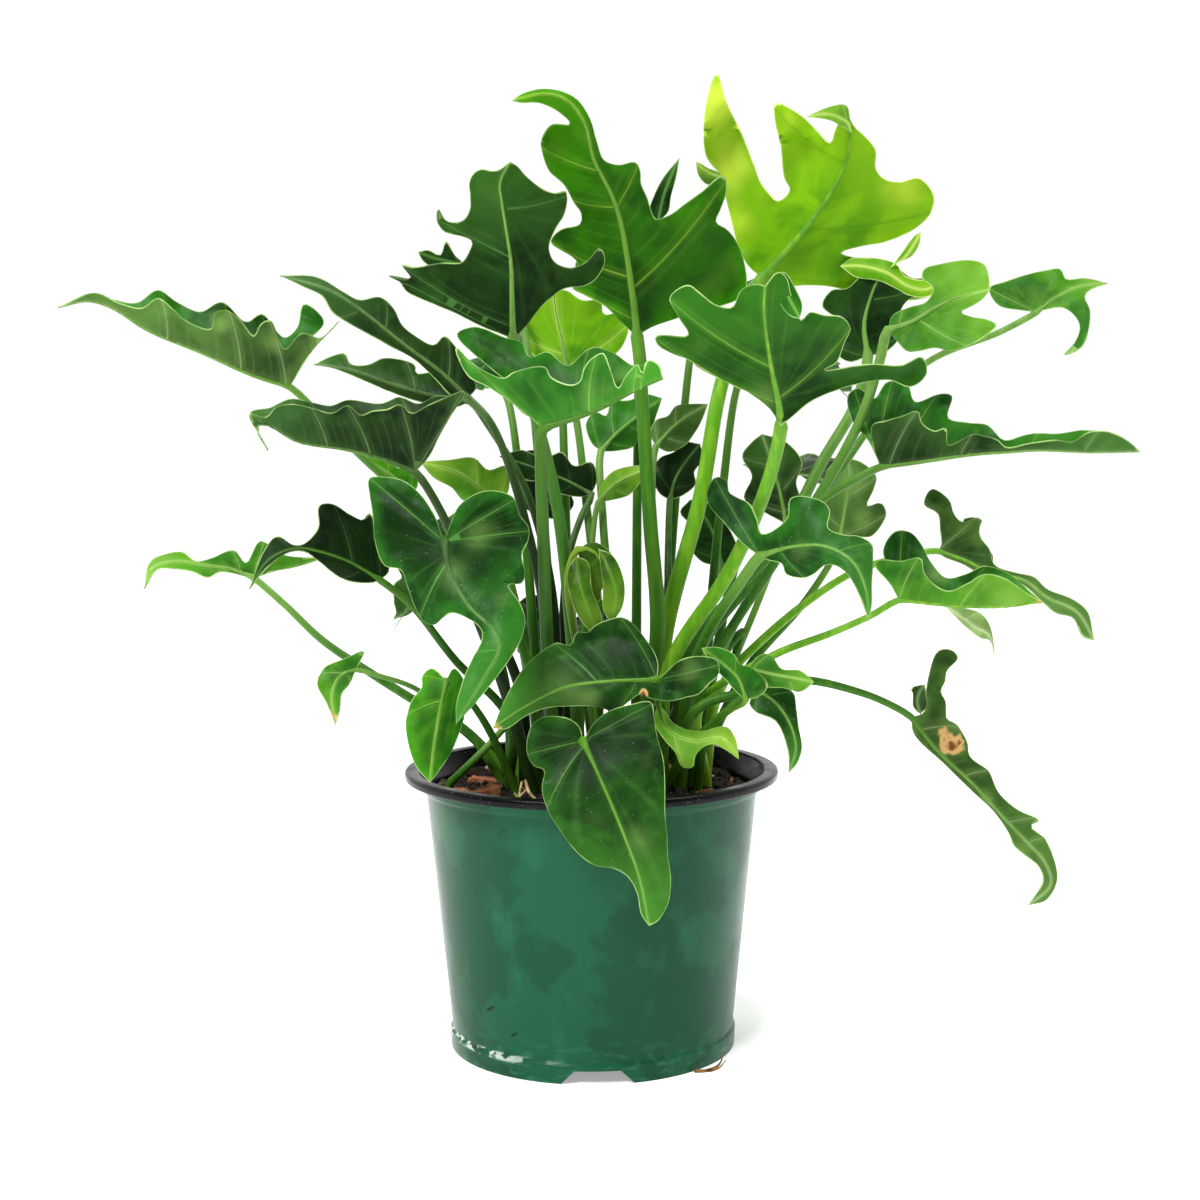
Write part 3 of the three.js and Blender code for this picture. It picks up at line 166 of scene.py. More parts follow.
class Shade:
    """Builds the nodes of one material."""

    def __init__(self, name: str) -> None:
        """Starts a material with a single surface shader.

        Args:
            name: the material's name.
        """
        self.material = bpy.data.materials.new(name)
        self.material.use_nodes = True
        self.tree = self.material.node_tree
        self.surface = self.tree.nodes["Principled BSDF"]
        self.places = self.tree.nodes.new("ShaderNodeTexCoord").outputs["Object"]

    def feed(self, target: Socket, value: object) -> None:
        """Sets a socket, or links another socket to it."""
        if isinstance(value, bpy.types.NodeSocket):
            self.tree.links.new(value, target)
        else:
            target.default_value = value

    def attribute(self, name: str) -> Socket:
        """The value of a mesh attribute."""
        node = self.tree.nodes.new("ShaderNodeAttribute")
        node.attribute_name = name
        return node.outputs["Fac"]

    def sums(self, operation: str, first: Value, second: Value = 0.0, third: Value = 0.0) -> Socket:
        """One step of arithmetic.

        Args:
            operation: the name of the Math node's operation.
            first: its first number.
            second: its second number.
            third: its third number.

        Returns:
            The result's socket.
        """
        node = self.tree.nodes.new("ShaderNodeMath")
        node.operation = operation
        for socket, value in zip(node.inputs, (first, second, third)):
            self.feed(socket, value)
        return node.outputs[0]

    def span(self, value: Value, low: Value, high: Value, start: float = 0.0, end: float = 1.0) -> Socket:
        """Eases a value from start to end while it goes from low to high.

        Args:
            value: what is measured.
            low: where the change starts.
            high: where it is over.
            start: the result up to low.
            end: the result past high.

        Returns:
            The result's socket.
        """
        node = self.tree.nodes.new("ShaderNodeMapRange")
        node.interpolation_type = "SMOOTHSTEP"
        for socket, number in zip(node.inputs, (value, low, high, start, end)):
            self.feed(socket, number)
        return node.outputs[0]

    def cloud(self, scale: float, detail: float = 2.0, stretch: Sequence[float] = (1.0, 1.0, 1.0),
              distortion: float = 0.0) -> Socket:
        """Soft random patches in the object's own coordinates.

        Args:
            scale: patches per metre.
            detail: how many finer layers are added.
            stretch: scale factors along X, Y and Z.
            distortion: how far the patches are swirled.

        Returns:
            A value from 0 to 1.
        """
        mapping = self.tree.nodes.new("ShaderNodeMapping")
        mapping.inputs["Scale"].default_value = stretch
        self.tree.links.new(self.places, mapping.inputs["Vector"])
        node = self.tree.nodes.new("ShaderNodeTexNoise")
        node.inputs["Scale"].default_value = scale
        node.inputs["Detail"].default_value = detail
        node.inputs["Distortion"].default_value = distortion
        self.tree.links.new(mapping.outputs[0], node.inputs["Vector"])
        return node.outputs["Fac"]

    def part_of_place(self, axis: str) -> Socket:
        """The object coordinate along one axis."""
        node = self.tree.nodes.new("ShaderNodeSeparateXYZ")
        self.tree.links.new(self.places, node.inputs[0])
        return node.outputs[axis]

    def blend(self, share: Value, first: object, second: object) -> Socket:
        """Mixes two colours.

        Args:
            share: how much of the second shows.
            first: a colour as 0xRRGGBB or a socket.
            second: a colour as 0xRRGGBB or a socket.

        Returns:
            The mixed colour's socket.
        """
        node = self.tree.nodes.new("ShaderNodeMix")
        node.data_type = "RGBA"
        self.feed(node.inputs["Factor"], share)
        for identifier, colour in (("A_Color", first), ("B_Color", second)):
            socket = next(s for s in node.inputs if s.identifier == identifier)
            self.feed(socket, linear(colour) if isinstance(colour, int) else colour)
        return next(s for s in node.outputs if s.identifier == "Result_Color")

    def relief(self, height: Value, distance: float, strength: float) -> None:
        """Adds small bumps to the surface.

        Args:
            height: the relief's height from 0 to 1.
            distance: what a height of 1 stands for, in millimetres.
            strength: how strongly it shows.
        """
        node = self.tree.nodes.new("ShaderNodeBump")
        node.inputs["Strength"].default_value = strength
        node.inputs["Distance"].default_value = distance * MM
        self.feed(node.inputs["Height"], height)
        self.tree.links.new(node.outputs[0], self.surface.inputs["Normal"])

    def finish(self, colour: object, roughness: Value, specular: float = 0.5) -> bpy.types.Material:
        """Connects the colour and gloss and hands over the material.

        Args:
            colour: a colour as 0xRRGGBB or a socket.
            roughness: from 0, polished, to 1, dull.
            specular: the strength of the reflection.

        Returns:
            The material.
        """
        base = linear(colour) if isinstance(colour, int) else colour
        self.feed(self.surface.inputs["Base Color"], base)
        self.feed(self.surface.inputs["Roughness"], roughness)
        self.surface.inputs["Specular IOR Level"].default_value = specular
        return self.material


class Finish:
    """A finish whose material is made once and then shared."""

    name: str

    def make(self) -> bpy.types.Material:
        """Builds the material."""
        raise NotImplementedError

    def material(self) -> bpy.types.Material:
        """The material, made the first time it is asked for."""
        return bpy.data.materials.get(self.name) or self.make()


@dataclass(frozen=True)
class LeafFinish(Finish):
    """One side of a blade: body and shade in soft patches, tip, veins and margin.

    hollow is how strongly painted shade darkens the blade near its joint. deep colours that shade and the
    darker patches, pale the paler ones; these patches are painted light and shade, with a little random
    mottling. dust is how strongly fine specks show, dried and burnt colour its scorched spots.
    """

    name: str
    body: int
    shade: int
    tip: int
    vein: int
    margin: int = 0x9DBF70
    vein_glow: float = 0.35
    joint_shade: float = 0.55
    deep: int = 0x0B2208
    pale: int = 0x86AE58
    roughness: float = 0.42
    dust: float = 0.0
    speck: int = 0xC9D6BE
    dried: int = 0xC9A56A
    burnt: int = 0x7A4420
    specular: float = 0.06

    def make(self) -> bpy.types.Material:
        """Builds the material, which reads the distances stored on the blade's mesh."""
        shade = Shade(self.name)
        rib, vein = shade.attribute("rib_mm"), shade.attribute("vein_mm")
        edge, along = shade.attribute("edge_mm"), shade.attribute("along")
        patches = shade.cloud(30.0, 3.0, distortion=0.6)
        fine = shade.cloud(140.0, 3.0)
        colour = shade.blend(shade.span(patches, 0.38, 0.62), self.body, self.shade)
        colour = shade.blend(shade.span(along, 0.35, 1.0), colour, self.tip)
        colour = shade.blend(shade.span(fine, 0.45, 0.8, 0.0, 0.35), colour, self.tip)
        # Painted shade: the blade darkens towards its joint, fading out towards the margin.
        joint = shade.span(along, 0.05, 0.55, self.joint_shade, 0.0)
        joint_shade = shade.sums("MULTIPLY", joint, shade.span(edge, 1.0, 9.0))
        colour = shade.blend(joint_shade, colour, self.deep)
        strand = shade.sums("FRACT", shade.sums("MULTIPLY", shade.attribute("comb"), 5.0))
        strand = shade.sums("ABSOLUTE", shade.sums("SUBTRACT", strand, 0.5))
        strand = shade.span(strand, 0.0, 0.2, 0.08, 0.0)
        colour = shade.blend(shade.sums("MULTIPLY", strand, shade.span(edge, 1.0, 7.0)), colour, self.vein)
        # Painted light and shade: the light attribute, plus a little random mottling, turns the blade paler
        # with pale above 0.12 and darker with deep below -0.12.
        mottle = shade.sums("SUBTRACT", patches, 0.5)
        light = shade.sums("MULTIPLY_ADD", mottle, 0.9, shade.attribute("light"))
        colour = shade.blend(shade.span(light, 0.12, 1.1, 0.0, 0.7), colour, self.pale)
        colour = shade.blend(shade.span(light, -1.1, -0.12, 0.85, 0.0), colour, self.deep)
        nearest = shade.sums("MINIMUM", rib, vein)
        glow = shade.span(nearest, 0.0, 3.5, self.vein_glow * 0.4, 0.0)
        colour = shade.blend(glow, colour, self.vein)
        width = shade.span(edge, 0.0, 22.0, 0.35, 1.0)
        inner, outer = (shade.sums("MULTIPLY", width, part) for part in (0.25, 0.8))
        line = shade.span(vein, inner, outer, 0.45, 0.0)
        colour = shade.blend(line, colour, self.vein)
        colour = shade.blend(shade.span(rib, 0.5, 1.1, 0.6, 0.0), colour, self.vein)
        patchy = shade.span(shade.cloud(55.0, 2.0), 0.38, 0.6, 0.25, 0.9)
        seam = shade.sums("MULTIPLY", shade.span(edge, 0.2, 0.6), -1.0)
        seam = shade.sums("MULTIPLY", shade.sums("ADD", seam, 1.0), patchy)
        colour = shade.blend(seam, colour, self.margin)
        if self.dust:
            specks = shade.span(shade.cloud(760.0, 1.0), 0.735, 0.77, 0.0, self.dust)
            colour = shade.blend(specks, colour, self.speck)
        scorch = shade.attribute("scorch")
        colour = shade.blend(shade.span(scorch, 0.15, 0.5), colour, self.dried)
        colour = shade.blend(shade.span(scorch, 0.62, 0.9), colour, self.burnt)
        shade.relief(shade.sums("ADD", fine, shade.sums("MULTIPLY", strand, -1.5)), 0.35, 0.35)
        gloss = shade.span(patches, 0.3, 0.7, self.roughness - 0.08, self.roughness + 0.1)
        return shade.finish(colour, gloss, self.specular)


class Tone(Enum):
    """The finishes of the blades' sides. Besides each leaf's own green, the dark finishes SAGE_DARK,
    PINE_UNDER, PINE and BOTTLE carry painted shade for leaves in the plant's shade, and the yellow-green
    LIME and YELLOW carry painted light for leaves lit through from behind.
    """

    SAGE = LeafFinish("leaf_sage", 0x4E7030, 0x2E4C1C, 0x4C7430, 0x8FAC6C, roughness=0.5)
    SAGE_DARK = LeafFinish("leaf_sage_dark", 0x2C4C1C, 0x162E10, 0x3C6626, 0x82A06A, roughness=0.45)
    SAGE_PALE = LeafFinish("leaf_sage_pale", 0x96B26C, 0x6C9048, 0x84A858, 0xC0D3A0, joint_shade=0.25,
                           roughness=0.5)
    PINE_UNDER = LeafFinish("leaf_pine_under", 0x223C14, 0x0F220C, 0x38602A, 0x6E8E58, vein_glow=0.25,
                            roughness=0.45)
    PINE = LeafFinish("leaf_pine", 0x1E4010, 0x0C2208, 0x2A5414, 0x588840, vein_glow=0.15, roughness=0.45)
    BOTTLE = LeafFinish("leaf_bottle", 0x12260C, 0x081608, 0x1C3814, 0x3E6230, vein_glow=0.12, roughness=0.4)
    HEART = LeafFinish("leaf_heart", 0x246018, 0x103610, 0x3C7C2A, 0x66A44C, vein_glow=0.25, joint_shade=0.8,
                       roughness=0.42, dust=0.25)
    HOLLY = LeafFinish("leaf_holly", 0x225016, 0x0E2C0C, 0x3E7826, 0x689C4C, vein_glow=0.2, joint_shade=0.7,
                       roughness=0.42, dust=0.15)
    GREEN = LeafFinish("leaf_green", 0x256414, 0x11400E, 0x3C8620, 0x74AC44, vein_glow=0.2)
    IVY = LeafFinish("leaf_ivy", 0x265814, 0x113609, 0x2C6814, 0x74A63E, 0xA8C878, roughness=0.42)
    CUP = LeafFinish("leaf_cup", 0x357A20, 0x1F5A16, 0x3E8A22, 0x84B854, 0xBCD890, joint_shade=0.3,
                     roughness=0.42)
    GRASS = LeafFinish("leaf_grass", 0x44841C, 0x286416, 0x6AA02C, 0x96BE60, vein_glow=0.25, joint_shade=0.35)
    MEADOW = LeafFinish("leaf_meadow", 0x2E7206, 0x1B5206, 0x3F8804, 0x8CB43C, vein_glow=0.25, joint_shade=0.45,
                        pale=0x6AA81C)
    FRESH = LeafFinish("leaf_fresh", 0x3E8812, 0x226410, 0x5C9E18, 0x84BC44, vein_glow=0.2, joint_shade=0.5)
    SPRING = LeafFinish("leaf_spring", 0x6A9E24, 0x44801C, 0x8CB438, 0xB0D062, joint_shade=0.25)
    LIME = LeafFinish("leaf_lime", 0x76AE0E, 0x4C8A0A, 0x7CAE10, 0x3E7E0C, 0xD6E88A, vein_glow=0.5,
                      joint_shade=0.3, deep=0x2F6A08, pale=0xD2E848)
    YELLOW = LeafFinish("leaf_yellow", 0x66A012, 0x3E820E, 0x78B016, 0xC8DC70, 0xE2EEA8, vein_glow=0.4,
                        joint_shade=0.0, deep=0x2F6A08, pale=0xC0DC34)
    YOUNG = LeafFinish("leaf_young", 0x42681A, 0x1C3E0C, 0x6A8E26, 0x5E8A28, vein_glow=0.2, joint_shade=0.7,
                       roughness=0.25)


@dataclass(frozen=True)
class StalkFinish(Finish):
    """A leaf stalk: its colour at the soil, half way and where it runs out in the midrib."""

    name: str
    foot: int
    middle: int
    head: int
    roughness: float = 0.4

    def make(self) -> bpy.types.Material:
        """Builds the material, with streaks along the stalk and a little mottling."""
        shade = Shade(self.name)
        rise = shade.attribute("rise")
        colour = shade.blend(shade.span(rise, 0.02, 0.3), self.foot, self.middle)
        colour = shade.blend(shade.span(rise, 0.4, 0.85), colour, self.head)
        streaks = shade.cloud(260.0, 2.0, (1.0, 1.0, 0.08))
        colour = shade.blend(shade.span(streaks, 0.42, 0.7, 0.0, 0.55), colour, self.foot)
        mottle = shade.cloud(60.0, 3.0)
        colour = shade.blend(shade.span(mottle, 0.5, 0.8, 0.0, 0.35), colour, self.middle)
        shade.relief(streaks, 0.4, 0.4)
        return shade.finish(colour, self.roughness, 0.15)


class StalkTone(Enum):
    """The finishes of the stalks."""

    DARK = StalkFinish("stalk_dark", 0x243E12, 0x152A0C, 0x587E3C)
    MOSS = StalkFinish("stalk_moss", 0x4E7C1C, 0x2E6414, 0x6E9844)
    PLAIN = StalkFinish("stalk_plain", 0x3E6A18, 0x2A5810, 0x44701E)
    FRESH = StalkFinish("stalk_fresh", 0x5C8C1E, 0x346C14, 0x6E9C38)
    LIME = StalkFinish("stalk_lime", 0x8CB82C, 0x5A9A14, 0x5A902C)
    OLIVE = StalkFinish("stalk_olive", 0x5E8A1E, 0x447414, 0x7C9A2C, 0.25)


# Curves and distances


def resampled(points: np.ndarray, spacing: float) -> np.ndarray:
    """A polyline with even steps.

    Args:
        points: its corners, one row each.
        spacing: the step's wanted length.

    Returns:
        The new corners, both ends included.
    """
    lengths = np.concatenate(((0.0,), np.cumsum(np.linalg.norm(np.diff(points, axis=0), axis=1))))
    count = max(2, int(round(lengths[-1] / spacing)) + 1)
    wanted = np.linspace(0.0, lengths[-1], count)
    return np.column_stack([np.interp(wanted, lengths, column) for column in points.T])


def smooth_line(points: Sequence[Sequence[float]], fine: int = 16) -> np.ndarray:
    """The centripetal Catmull-Rom curve through some points.

    Args:
        points: the points, in any number of dimensions.
        fine: steps between neighbouring points.

    Returns:
        The curve's points, one row each.
    """
    knots = np.asarray(points, float)
    padded = np.vstack((2 * knots[0] - knots[1], knots, 2 * knots[-1] - knots[-2]))
    share = np.linspace(0.0, 1.0, fine, endpoint=False)[:, None]
    pieces = []
    for p0, p1, p2, p3 in zip(padded, padded[1:], padded[2:], padded[3:]):
        steps = ((p0, p1), (p1, p2), (p2, p3))
        d0, d1, d2 = (max(float(np.linalg.norm(b - a)), 1e-6) ** 0.5 for a, b in steps)
        t1 = ((p1 - p0) / d0 - (p2 - p0) / (d0 + d1) + (p2 - p1) / d1) * d1
        t2 = ((p2 - p1) / d1 - (p3 - p1) / (d1 + d2) + (p3 - p2) / d2) * d1
        square, cube = share**2, share**3
        pieces.append((2 * cube - 3 * square + 1) * p1 + (cube - 2 * square + share) * t1
                      + (3 * square - 2 * cube) * p2 + (cube - square) * t2)
    return np.vstack((*pieces, knots[-1:]))


def distance_to(points: np.ndarray, line: np.ndarray) -> tuple[np.ndarray, np.ndarray]:
    """How far points lie from a polyline, and where along it their feet are.

    Args:
        points: flat points, one row each.
        line: the polyline's corners, one row each.

    Returns:
        The distances, and the feet as fractional corner numbers.
    """
    start, run = line[:-1], np.diff(line, axis=0)
    square = np.maximum((run**2).sum(1), 1e-12)
    share = np.clip(((points[:, None] - start) * run).sum(2) / square, 0.0, 1.0)
    gaps = np.linalg.norm(points[:, None] - (start + share[..., None] * run), axis=2)
    best = gaps.argmin(1)
    rows = np.arange(len(points))
    return gaps[rows, best], best + share[rows, best]


def inside(points: np.ndarray, loop: np.ndarray) -> np.ndarray:
    """Which points lie inside a closed outline.

    Args:
        points: flat points, one row each.
        loop: the outline's corners, one row each.

    Returns:
        True or False for each point.
    """
    ahead = np.roll(loop, -1, axis=0)
    x, y = points[:, 0:1], points[:, 1:2]
    spans = (loop[:, 1] > y) != (ahead[:, 1] > y)
    rise = np.where(np.abs(ahead[:, 1] - loop[:, 1]) < 1e-12, 1e-12, ahead[:, 1] - loop[:, 1])
    cross = loop[:, 0] + (y - loop[:, 1]) / rise * (ahead[:, 0] - loop[:, 0])
    return (spans & (x < cross)).sum(1) % 2 == 1


def signed_area(loop: np.ndarray) -> float:
    """Twice the area of a flat loop, negative if it runs clockwise."""
    ahead = np.roll(loop, -1, axis=0)
    return float((loop[:, 0] * ahead[:, 1] - ahead[:, 0] * loop[:, 1]).sum())


def evened(values: np.ndarray, faces: np.ndarray, rounds: int) -> np.ndarray:
    """Evens out one value over a mesh, towards the mean of each corner's neighbours.

    Args:
        values: one value for each corner.
        faces: the mesh's triangles.
        rounds: how often it is repeated.

    Returns:
        The evened values.
    """
    start, end = faces.ravel(), np.roll(faces, -1, 1).ravel()
    count = np.maximum(np.bincount(start, minlength=len(values)), 1)
    for _ in range(rounds):
        mean = np.bincount(start, values[end], len(values)) / count
        values = (values + mean) / 2
    return values


def vertex_normals(places: np.ndarray, faces: np.ndarray) -> np.ndarray:
    """Unit normals at the corners of triangles, weighted by area."""
    corners = places[faces]
    normal = np.cross(corners[:, 1] - corners[:, 0], corners[:, 2] - corners[:, 0])
    total = np.zeros_like(places)
    for corner in range(3):
        np.add.at(total, faces[:, corner], normal)
    return total / np.maximum(np.linalg.norm(total, axis=1), 1e-9)[:, None]


def new_mesh(name: str, places: np.ndarray, faces: Sequence[Sequence[int]],
             materials: Iterable[bpy.types.Material]) -> bpy.types.Object:
    """Makes an object whose place is in its mesh.

    Args:
        name: its name.
        places: corners in millimetres from the pot's axis, one row each.
        faces: corner numbers of each face.
        materials: its material slots.

    Returns:
        The object, at the origin.
    """
    mesh = bpy.data.meshes.new(name)
    mesh.from_pydata(((places + AXIS) * MM).tolist(), [], [list(map(int, face)) for face in faces])
    for material in materials:
        mesh.materials.append(material)
    mesh.shade_smooth()
    piece = bpy.data.objects.new(name, mesh)
    bpy.context.scene.collection.objects.link(piece)
    return piece


def loft(name: str, rings: Sequence[np.ndarray], materials: Iterable[bpy.types.Material],
         start: Sequence[float] | None = None, end: Sequence[float] | None = None) -> bpy.types.Object:
    """Makes a closed piece from rings of corners.

    Args:
        name: its name.
        rings: the corners of each ring, anticlockwise seen from the end.
        materials: its material slots.
        start: the point that closes the first ring, or None for a flat face.
        end: the same for the last ring.

    Returns:
        The piece, its faces in order from the start to the end.
    """
    count = len(rings[0])
    ahead = [(step + 1) % count for step in range(count)]
    last, tip = (len(rings) - 1) * count, len(rings) * count
    points = [[point] for point in (start, end) if point is not None]
    faces: list[Sequence[int]] = []
    if start is None:
        faces.append(list(reversed(range(count))))
    else:
        faces += [(tip, ahead[step], step) for step in range(count)]
        tip += 1
    for low in range(0, last, count):
        high = low + count
        faces += [(low + step, low + ahead[step], high + ahead[step], high + step) for step in range(count)]
    if end is None:
        faces.append(list(range(last, last + count)))
    else:
        faces += [(last + step, last + ahead[step], tip) for step in range(count)]
    return new_mesh(name, np.vstack((*rings, *points)), faces, materials)


def store(mesh: bpy.types.Mesh, name: str, values: np.ndarray) -> None:
    """Stores one number for each corner of a mesh."""
    mesh.attributes.new(name, "FLOAT", "POINT").data.foreach_set("value", values.astype(np.float32))


def join(pieces: Sequence[bpy.types.Object]) -> bpy.types.Object:
    """Joins several objects into the first one."""
    with bpy.context.temp_override(active_object=pieces[0], selected_editable_objects=list(pieces)):
        bpy.ops.object.join()
    return pieces[0]


# Geometry Nodes


class Graph:
    """Builds one Geometry Nodes tree and turns its result into plain meshes."""

    def __init__(self, name: str, numbers: dict[str, float]) -> None:
        """Starts a tree with a geometry input, a material input and named numbers.

        Args:
            name: the tree's name.
            numbers: each named input with its usual value.
        """
        self.tree = bpy.data.node_groups.new(name, "GeometryNodeTree")
        items = self.tree.interface
        items.new_socket("Geometry", in_out="INPUT", socket_type="NodeSocketGeometry")
        material = items.new_socket("Material", in_out="INPUT", socket_type="NodeSocketMaterial")
        self.inputs = {"Material": material}
        for label, value in numbers.items():
            kind = "NodeSocketInt" if isinstance(value, int) else "NodeSocketFloat"
            self.inputs[label] = items.new_socket(label, in_out="INPUT", socket_type=kind)
            self.inputs[label].default_value = value
        items.new_socket("Geometry", in_out="OUTPUT", socket_type="NodeSocketGeometry")
        self.entry = self.tree.nodes.new("NodeGroupInput")

    def node(self, kind: str, settings: dict[str, object] | None = None,
             **sockets: object) -> bpy.types.Node:
        """Adds a node.

        Args:
            kind: the node's type.
            settings: its own properties.
            sockets: values or links by socket name, with spaces as underscores.

        Returns:
            The node.
        """
        node = self.tree.nodes.new(kind)
        for key, value in (settings or {}).items():
            setattr(node, key, value)
        for label, value in sockets.items():
            wanted = label.replace("_", " ")
            socket = next(s for s in node.inputs if s.name == wanted and s.enabled)
            if isinstance(value, bpy.types.NodeSocket):
                self.tree.links.new(value, socket)
            else:
                socket.default_value = value
        return node

    def given(self, label: str) -> Socket:
        """The tree's own input of that name."""
        return self.entry.outputs[label]

    def end(self, geometry: Socket) -> None:
        """Realises the instances, sets the material and connects the output."""
        real = self.node("GeometryNodeRealizeInstances", Geometry=geometry)
        painted = self.node("GeometryNodeSetMaterial", Geometry=real.outputs[0],
                            Material=self.given("Material"))
        out = self.tree.nodes.new("NodeGroupOutput")
        self.tree.links.new(painted.outputs[0], out.inputs[0])

    def plain(self, source: bpy.types.Object, name: str, material: bpy.types.Material,
              **numbers: float) -> bpy.types.Object:
        """Runs the tree on an object and keeps the result as a plain mesh.

        Args:
            source: the object that feeds the tree, which is removed.
            name: the new object's name.
            material: its material.
            numbers: inputs by name, with spaces as underscores.

        Returns:
            The new object.
        """
        modifier = source.modifiers.new("graph", "NODES")
        modifier.node_group = self.tree
        modifier[self.inputs["Material"].identifier] = material
        for label, value in numbers.items():
            modifier[self.inputs[label.replace("_", " ")].identifier] = value
        graph = bpy.context.evaluated_depsgraph_get()
        mesh = bpy.data.meshes.new_from_object(source.evaluated_get(graph), depsgraph=graph)
        mesh.name = name
        piece = bpy.data.objects.new(name, mesh)
        bpy.context.scene.collection.objects.link(piece)
        source.modifiers.remove(modifier)
        bpy.data.objects.remove(source)
        return piece


def strand_graph() -> Graph:
    """The tree that skins curves with a round tube and stores how far along each point is."""
    graph = Graph("strand", {"Sides": 10})
    along = graph.node("GeometryNodeSplineParameter")
    rise = graph.node("GeometryNodeStoreNamedAttribute", {"domain": "POINT"},
                      Geometry=graph.given("Geometry"), Name="rise", Value=along.outputs["Factor"])
    ring = graph.node("GeometryNodeCurvePrimitiveCircle", Resolution=graph.given("Sides"), Radius=1.0)
    radius = graph.node("GeometryNodeInputRadius")
    tube = graph.node("GeometryNodeCurveToMesh", Curve=rise.outputs[0], Profile_Curve=ring.outputs["Curve"],
                      Scale=radius.outputs[0], Fill_Caps=True)
    smooth = graph.node("GeometryNodeSetShadeSmooth", Geometry=tube.outputs[0])
    graph.end(smooth.outputs[0])
    return graph


def crumb_graph() -> Graph:
    """The tree that strews lumps over the level faces of a mesh."""
    graph = Graph("crumbs", {"Density": 20000.0, "Size": 0.002, "Flat": 0.75, "Seed": 1})
    up = graph.node("ShaderNodeSeparateXYZ", Vector=graph.node("GeometryNodeInputNormal").outputs["Normal"])
    level = graph.node("FunctionNodeCompare", {"operation": "GREATER_THAN"}, A=up.outputs["Z"], B=0.4)
    spots = graph.node("GeometryNodeDistributePointsOnFaces", Mesh=graph.given("Geometry"),
                       Selection=level.outputs[0], Density=graph.given("Density"), Seed=graph.given("Seed"))
    ball = graph.node("GeometryNodeMeshIcoSphere", Radius=1.0, Subdivisions=2)
    rough = graph.node("ShaderNodeTexNoise", Scale=1.3, Detail=1.0)
    shift = graph.node("ShaderNodeVectorMath", {"operation": "SUBTRACT"})
    graph.tree.links.new(rough.outputs["Color"], shift.inputs[0])
    shift.inputs[1].default_value = (0.5, 0.5, 0.5)
    lump = graph.node("GeometryNodeSetPosition", Geometry=ball.outputs["Mesh"], Offset=shift.outputs[0])
    turn = graph.node("FunctionNodeRandomValue", {"data_type": "FLOAT_VECTOR"}, Max=(6.28, 6.28, 6.28),
                      Seed=graph.given("Seed"))
    size = graph.node("FunctionNodeRandomValue", {"data_type": "FLOAT"}, Min=0.3, Max=1.0,
                      Seed=graph.given("Seed"))
    length = graph.node("ShaderNodeMath", {"operation": "MULTIPLY"})
    graph.tree.links.new(next(s for s in size.outputs if s.enabled), length.inputs[0])
    graph.tree.links.new(graph.given("Size"), length.inputs[1])
    height = graph.node("ShaderNodeMath", {"operation": "MULTIPLY"})
    graph.tree.links.new(length.outputs[0], height.inputs[0])
    graph.tree.links.new(graph.given("Flat"), height.inputs[1])
    scale = graph.node("ShaderNodeCombineXYZ", X=length.outputs[0], Y=height.outputs[0], Z=height.outputs[0])
    strewn = graph.node("GeometryNodeInstanceOnPoints", Points=spots.outputs["Points"],
                        Instance=lump.outputs[0], Scale=scale.outputs[0],
                        Rotation=next(s for s in turn.outputs if s.enabled))
    graph.end(strewn.outputs[0])
    return graph


def strand(graph: Graph, name: str, path: np.ndarray, radii: np.ndarray, material: bpy.types.Material,
           sides: int = 10) -> bpy.types.Object:
    """Skins one path with a tube of changing radius.

    Args:
        graph: the tree made by strand_graph.
        name: the new object's name.
        path: the path's points in millimetres from the pot's axis.
        radii: the tube's radius at each point, in millimetres.
        material: its material.
        sides: how many sides the tube has.

    Returns:
        The tube as a plain mesh object.
    """
    curve = bpy.data.curves.new(name, "CURVE")
    curve.dimensions = "3D"
    spline = curve.splines.new("POLY")
    spline.points.add(len(path) - 1)
    places = (path + AXIS) * MM
    for point, place, radius in zip(spline.points, places, radii):
        point.co = (*place, 1.0)
        point.radius = radius * MM
    source = bpy.data.objects.new(name + "_path", curve)
    bpy.context.scene.collection.objects.link(source)
    return graph.plain(source, name, material, Sides=sides)


# Leaves


class Face(Enum):
    """Which side of a blade the viewer sees on its first half."""

    UPPER = 1
    UNDER = -1


@dataclass(frozen=True)
class LeafPlan:
    """A leaf as measured in the photograph, in the same words as its solid.

    rib runs from the stalk's joint to the tip as (px, py, depth), the margins run beside it as
    (px, py), lean is the depth gained per millimetre away from the rib and cup the depth added
    at 40 mm from it. root is the stalk's foot, girth its radius there and at the joint, and stalk
    the points it passes. scorch lists dried spots, and light lists paler patches of painted light
    and, with strength below 0, darker patches of painted shade, both as (px, py, radius, strength).
    near finishes the side that the first half shows, far the other one.
    """

    name: str
    near: Tone
    far: Tone
    face: Face
    stalk_tone: StalkTone
    rib: tuple[tuple[float, float, float], ...]
    first: tuple[tuple[float, float], ...]
    second: tuple[tuple[float, float], ...]
    root: tuple[float, float] = (0.0, 0.0)
    girth: tuple[float, float] = (0.0, 0.0)
    lean: tuple[float, float] = (0.4, 0.4)
    cup: tuple[float, float] = (0.0, 0.0)
    stalk: tuple[tuple[float, ...], ...] = ()
    scorch: tuple[tuple[float, float, float, float], ...] = ()
    light: tuple[tuple[float, float, float, float], ...] = ()
    ripple: float = 1.3


@dataclass(frozen=True)
class FarPlan:
    """A leaf of the far side: its joint by compass, reach and rise, then its blade's pose."""

    name: str
    root: tuple[float, float]
    compass: float
    reach: float
    rise: float
    length: float
    droop: float
    roll: float


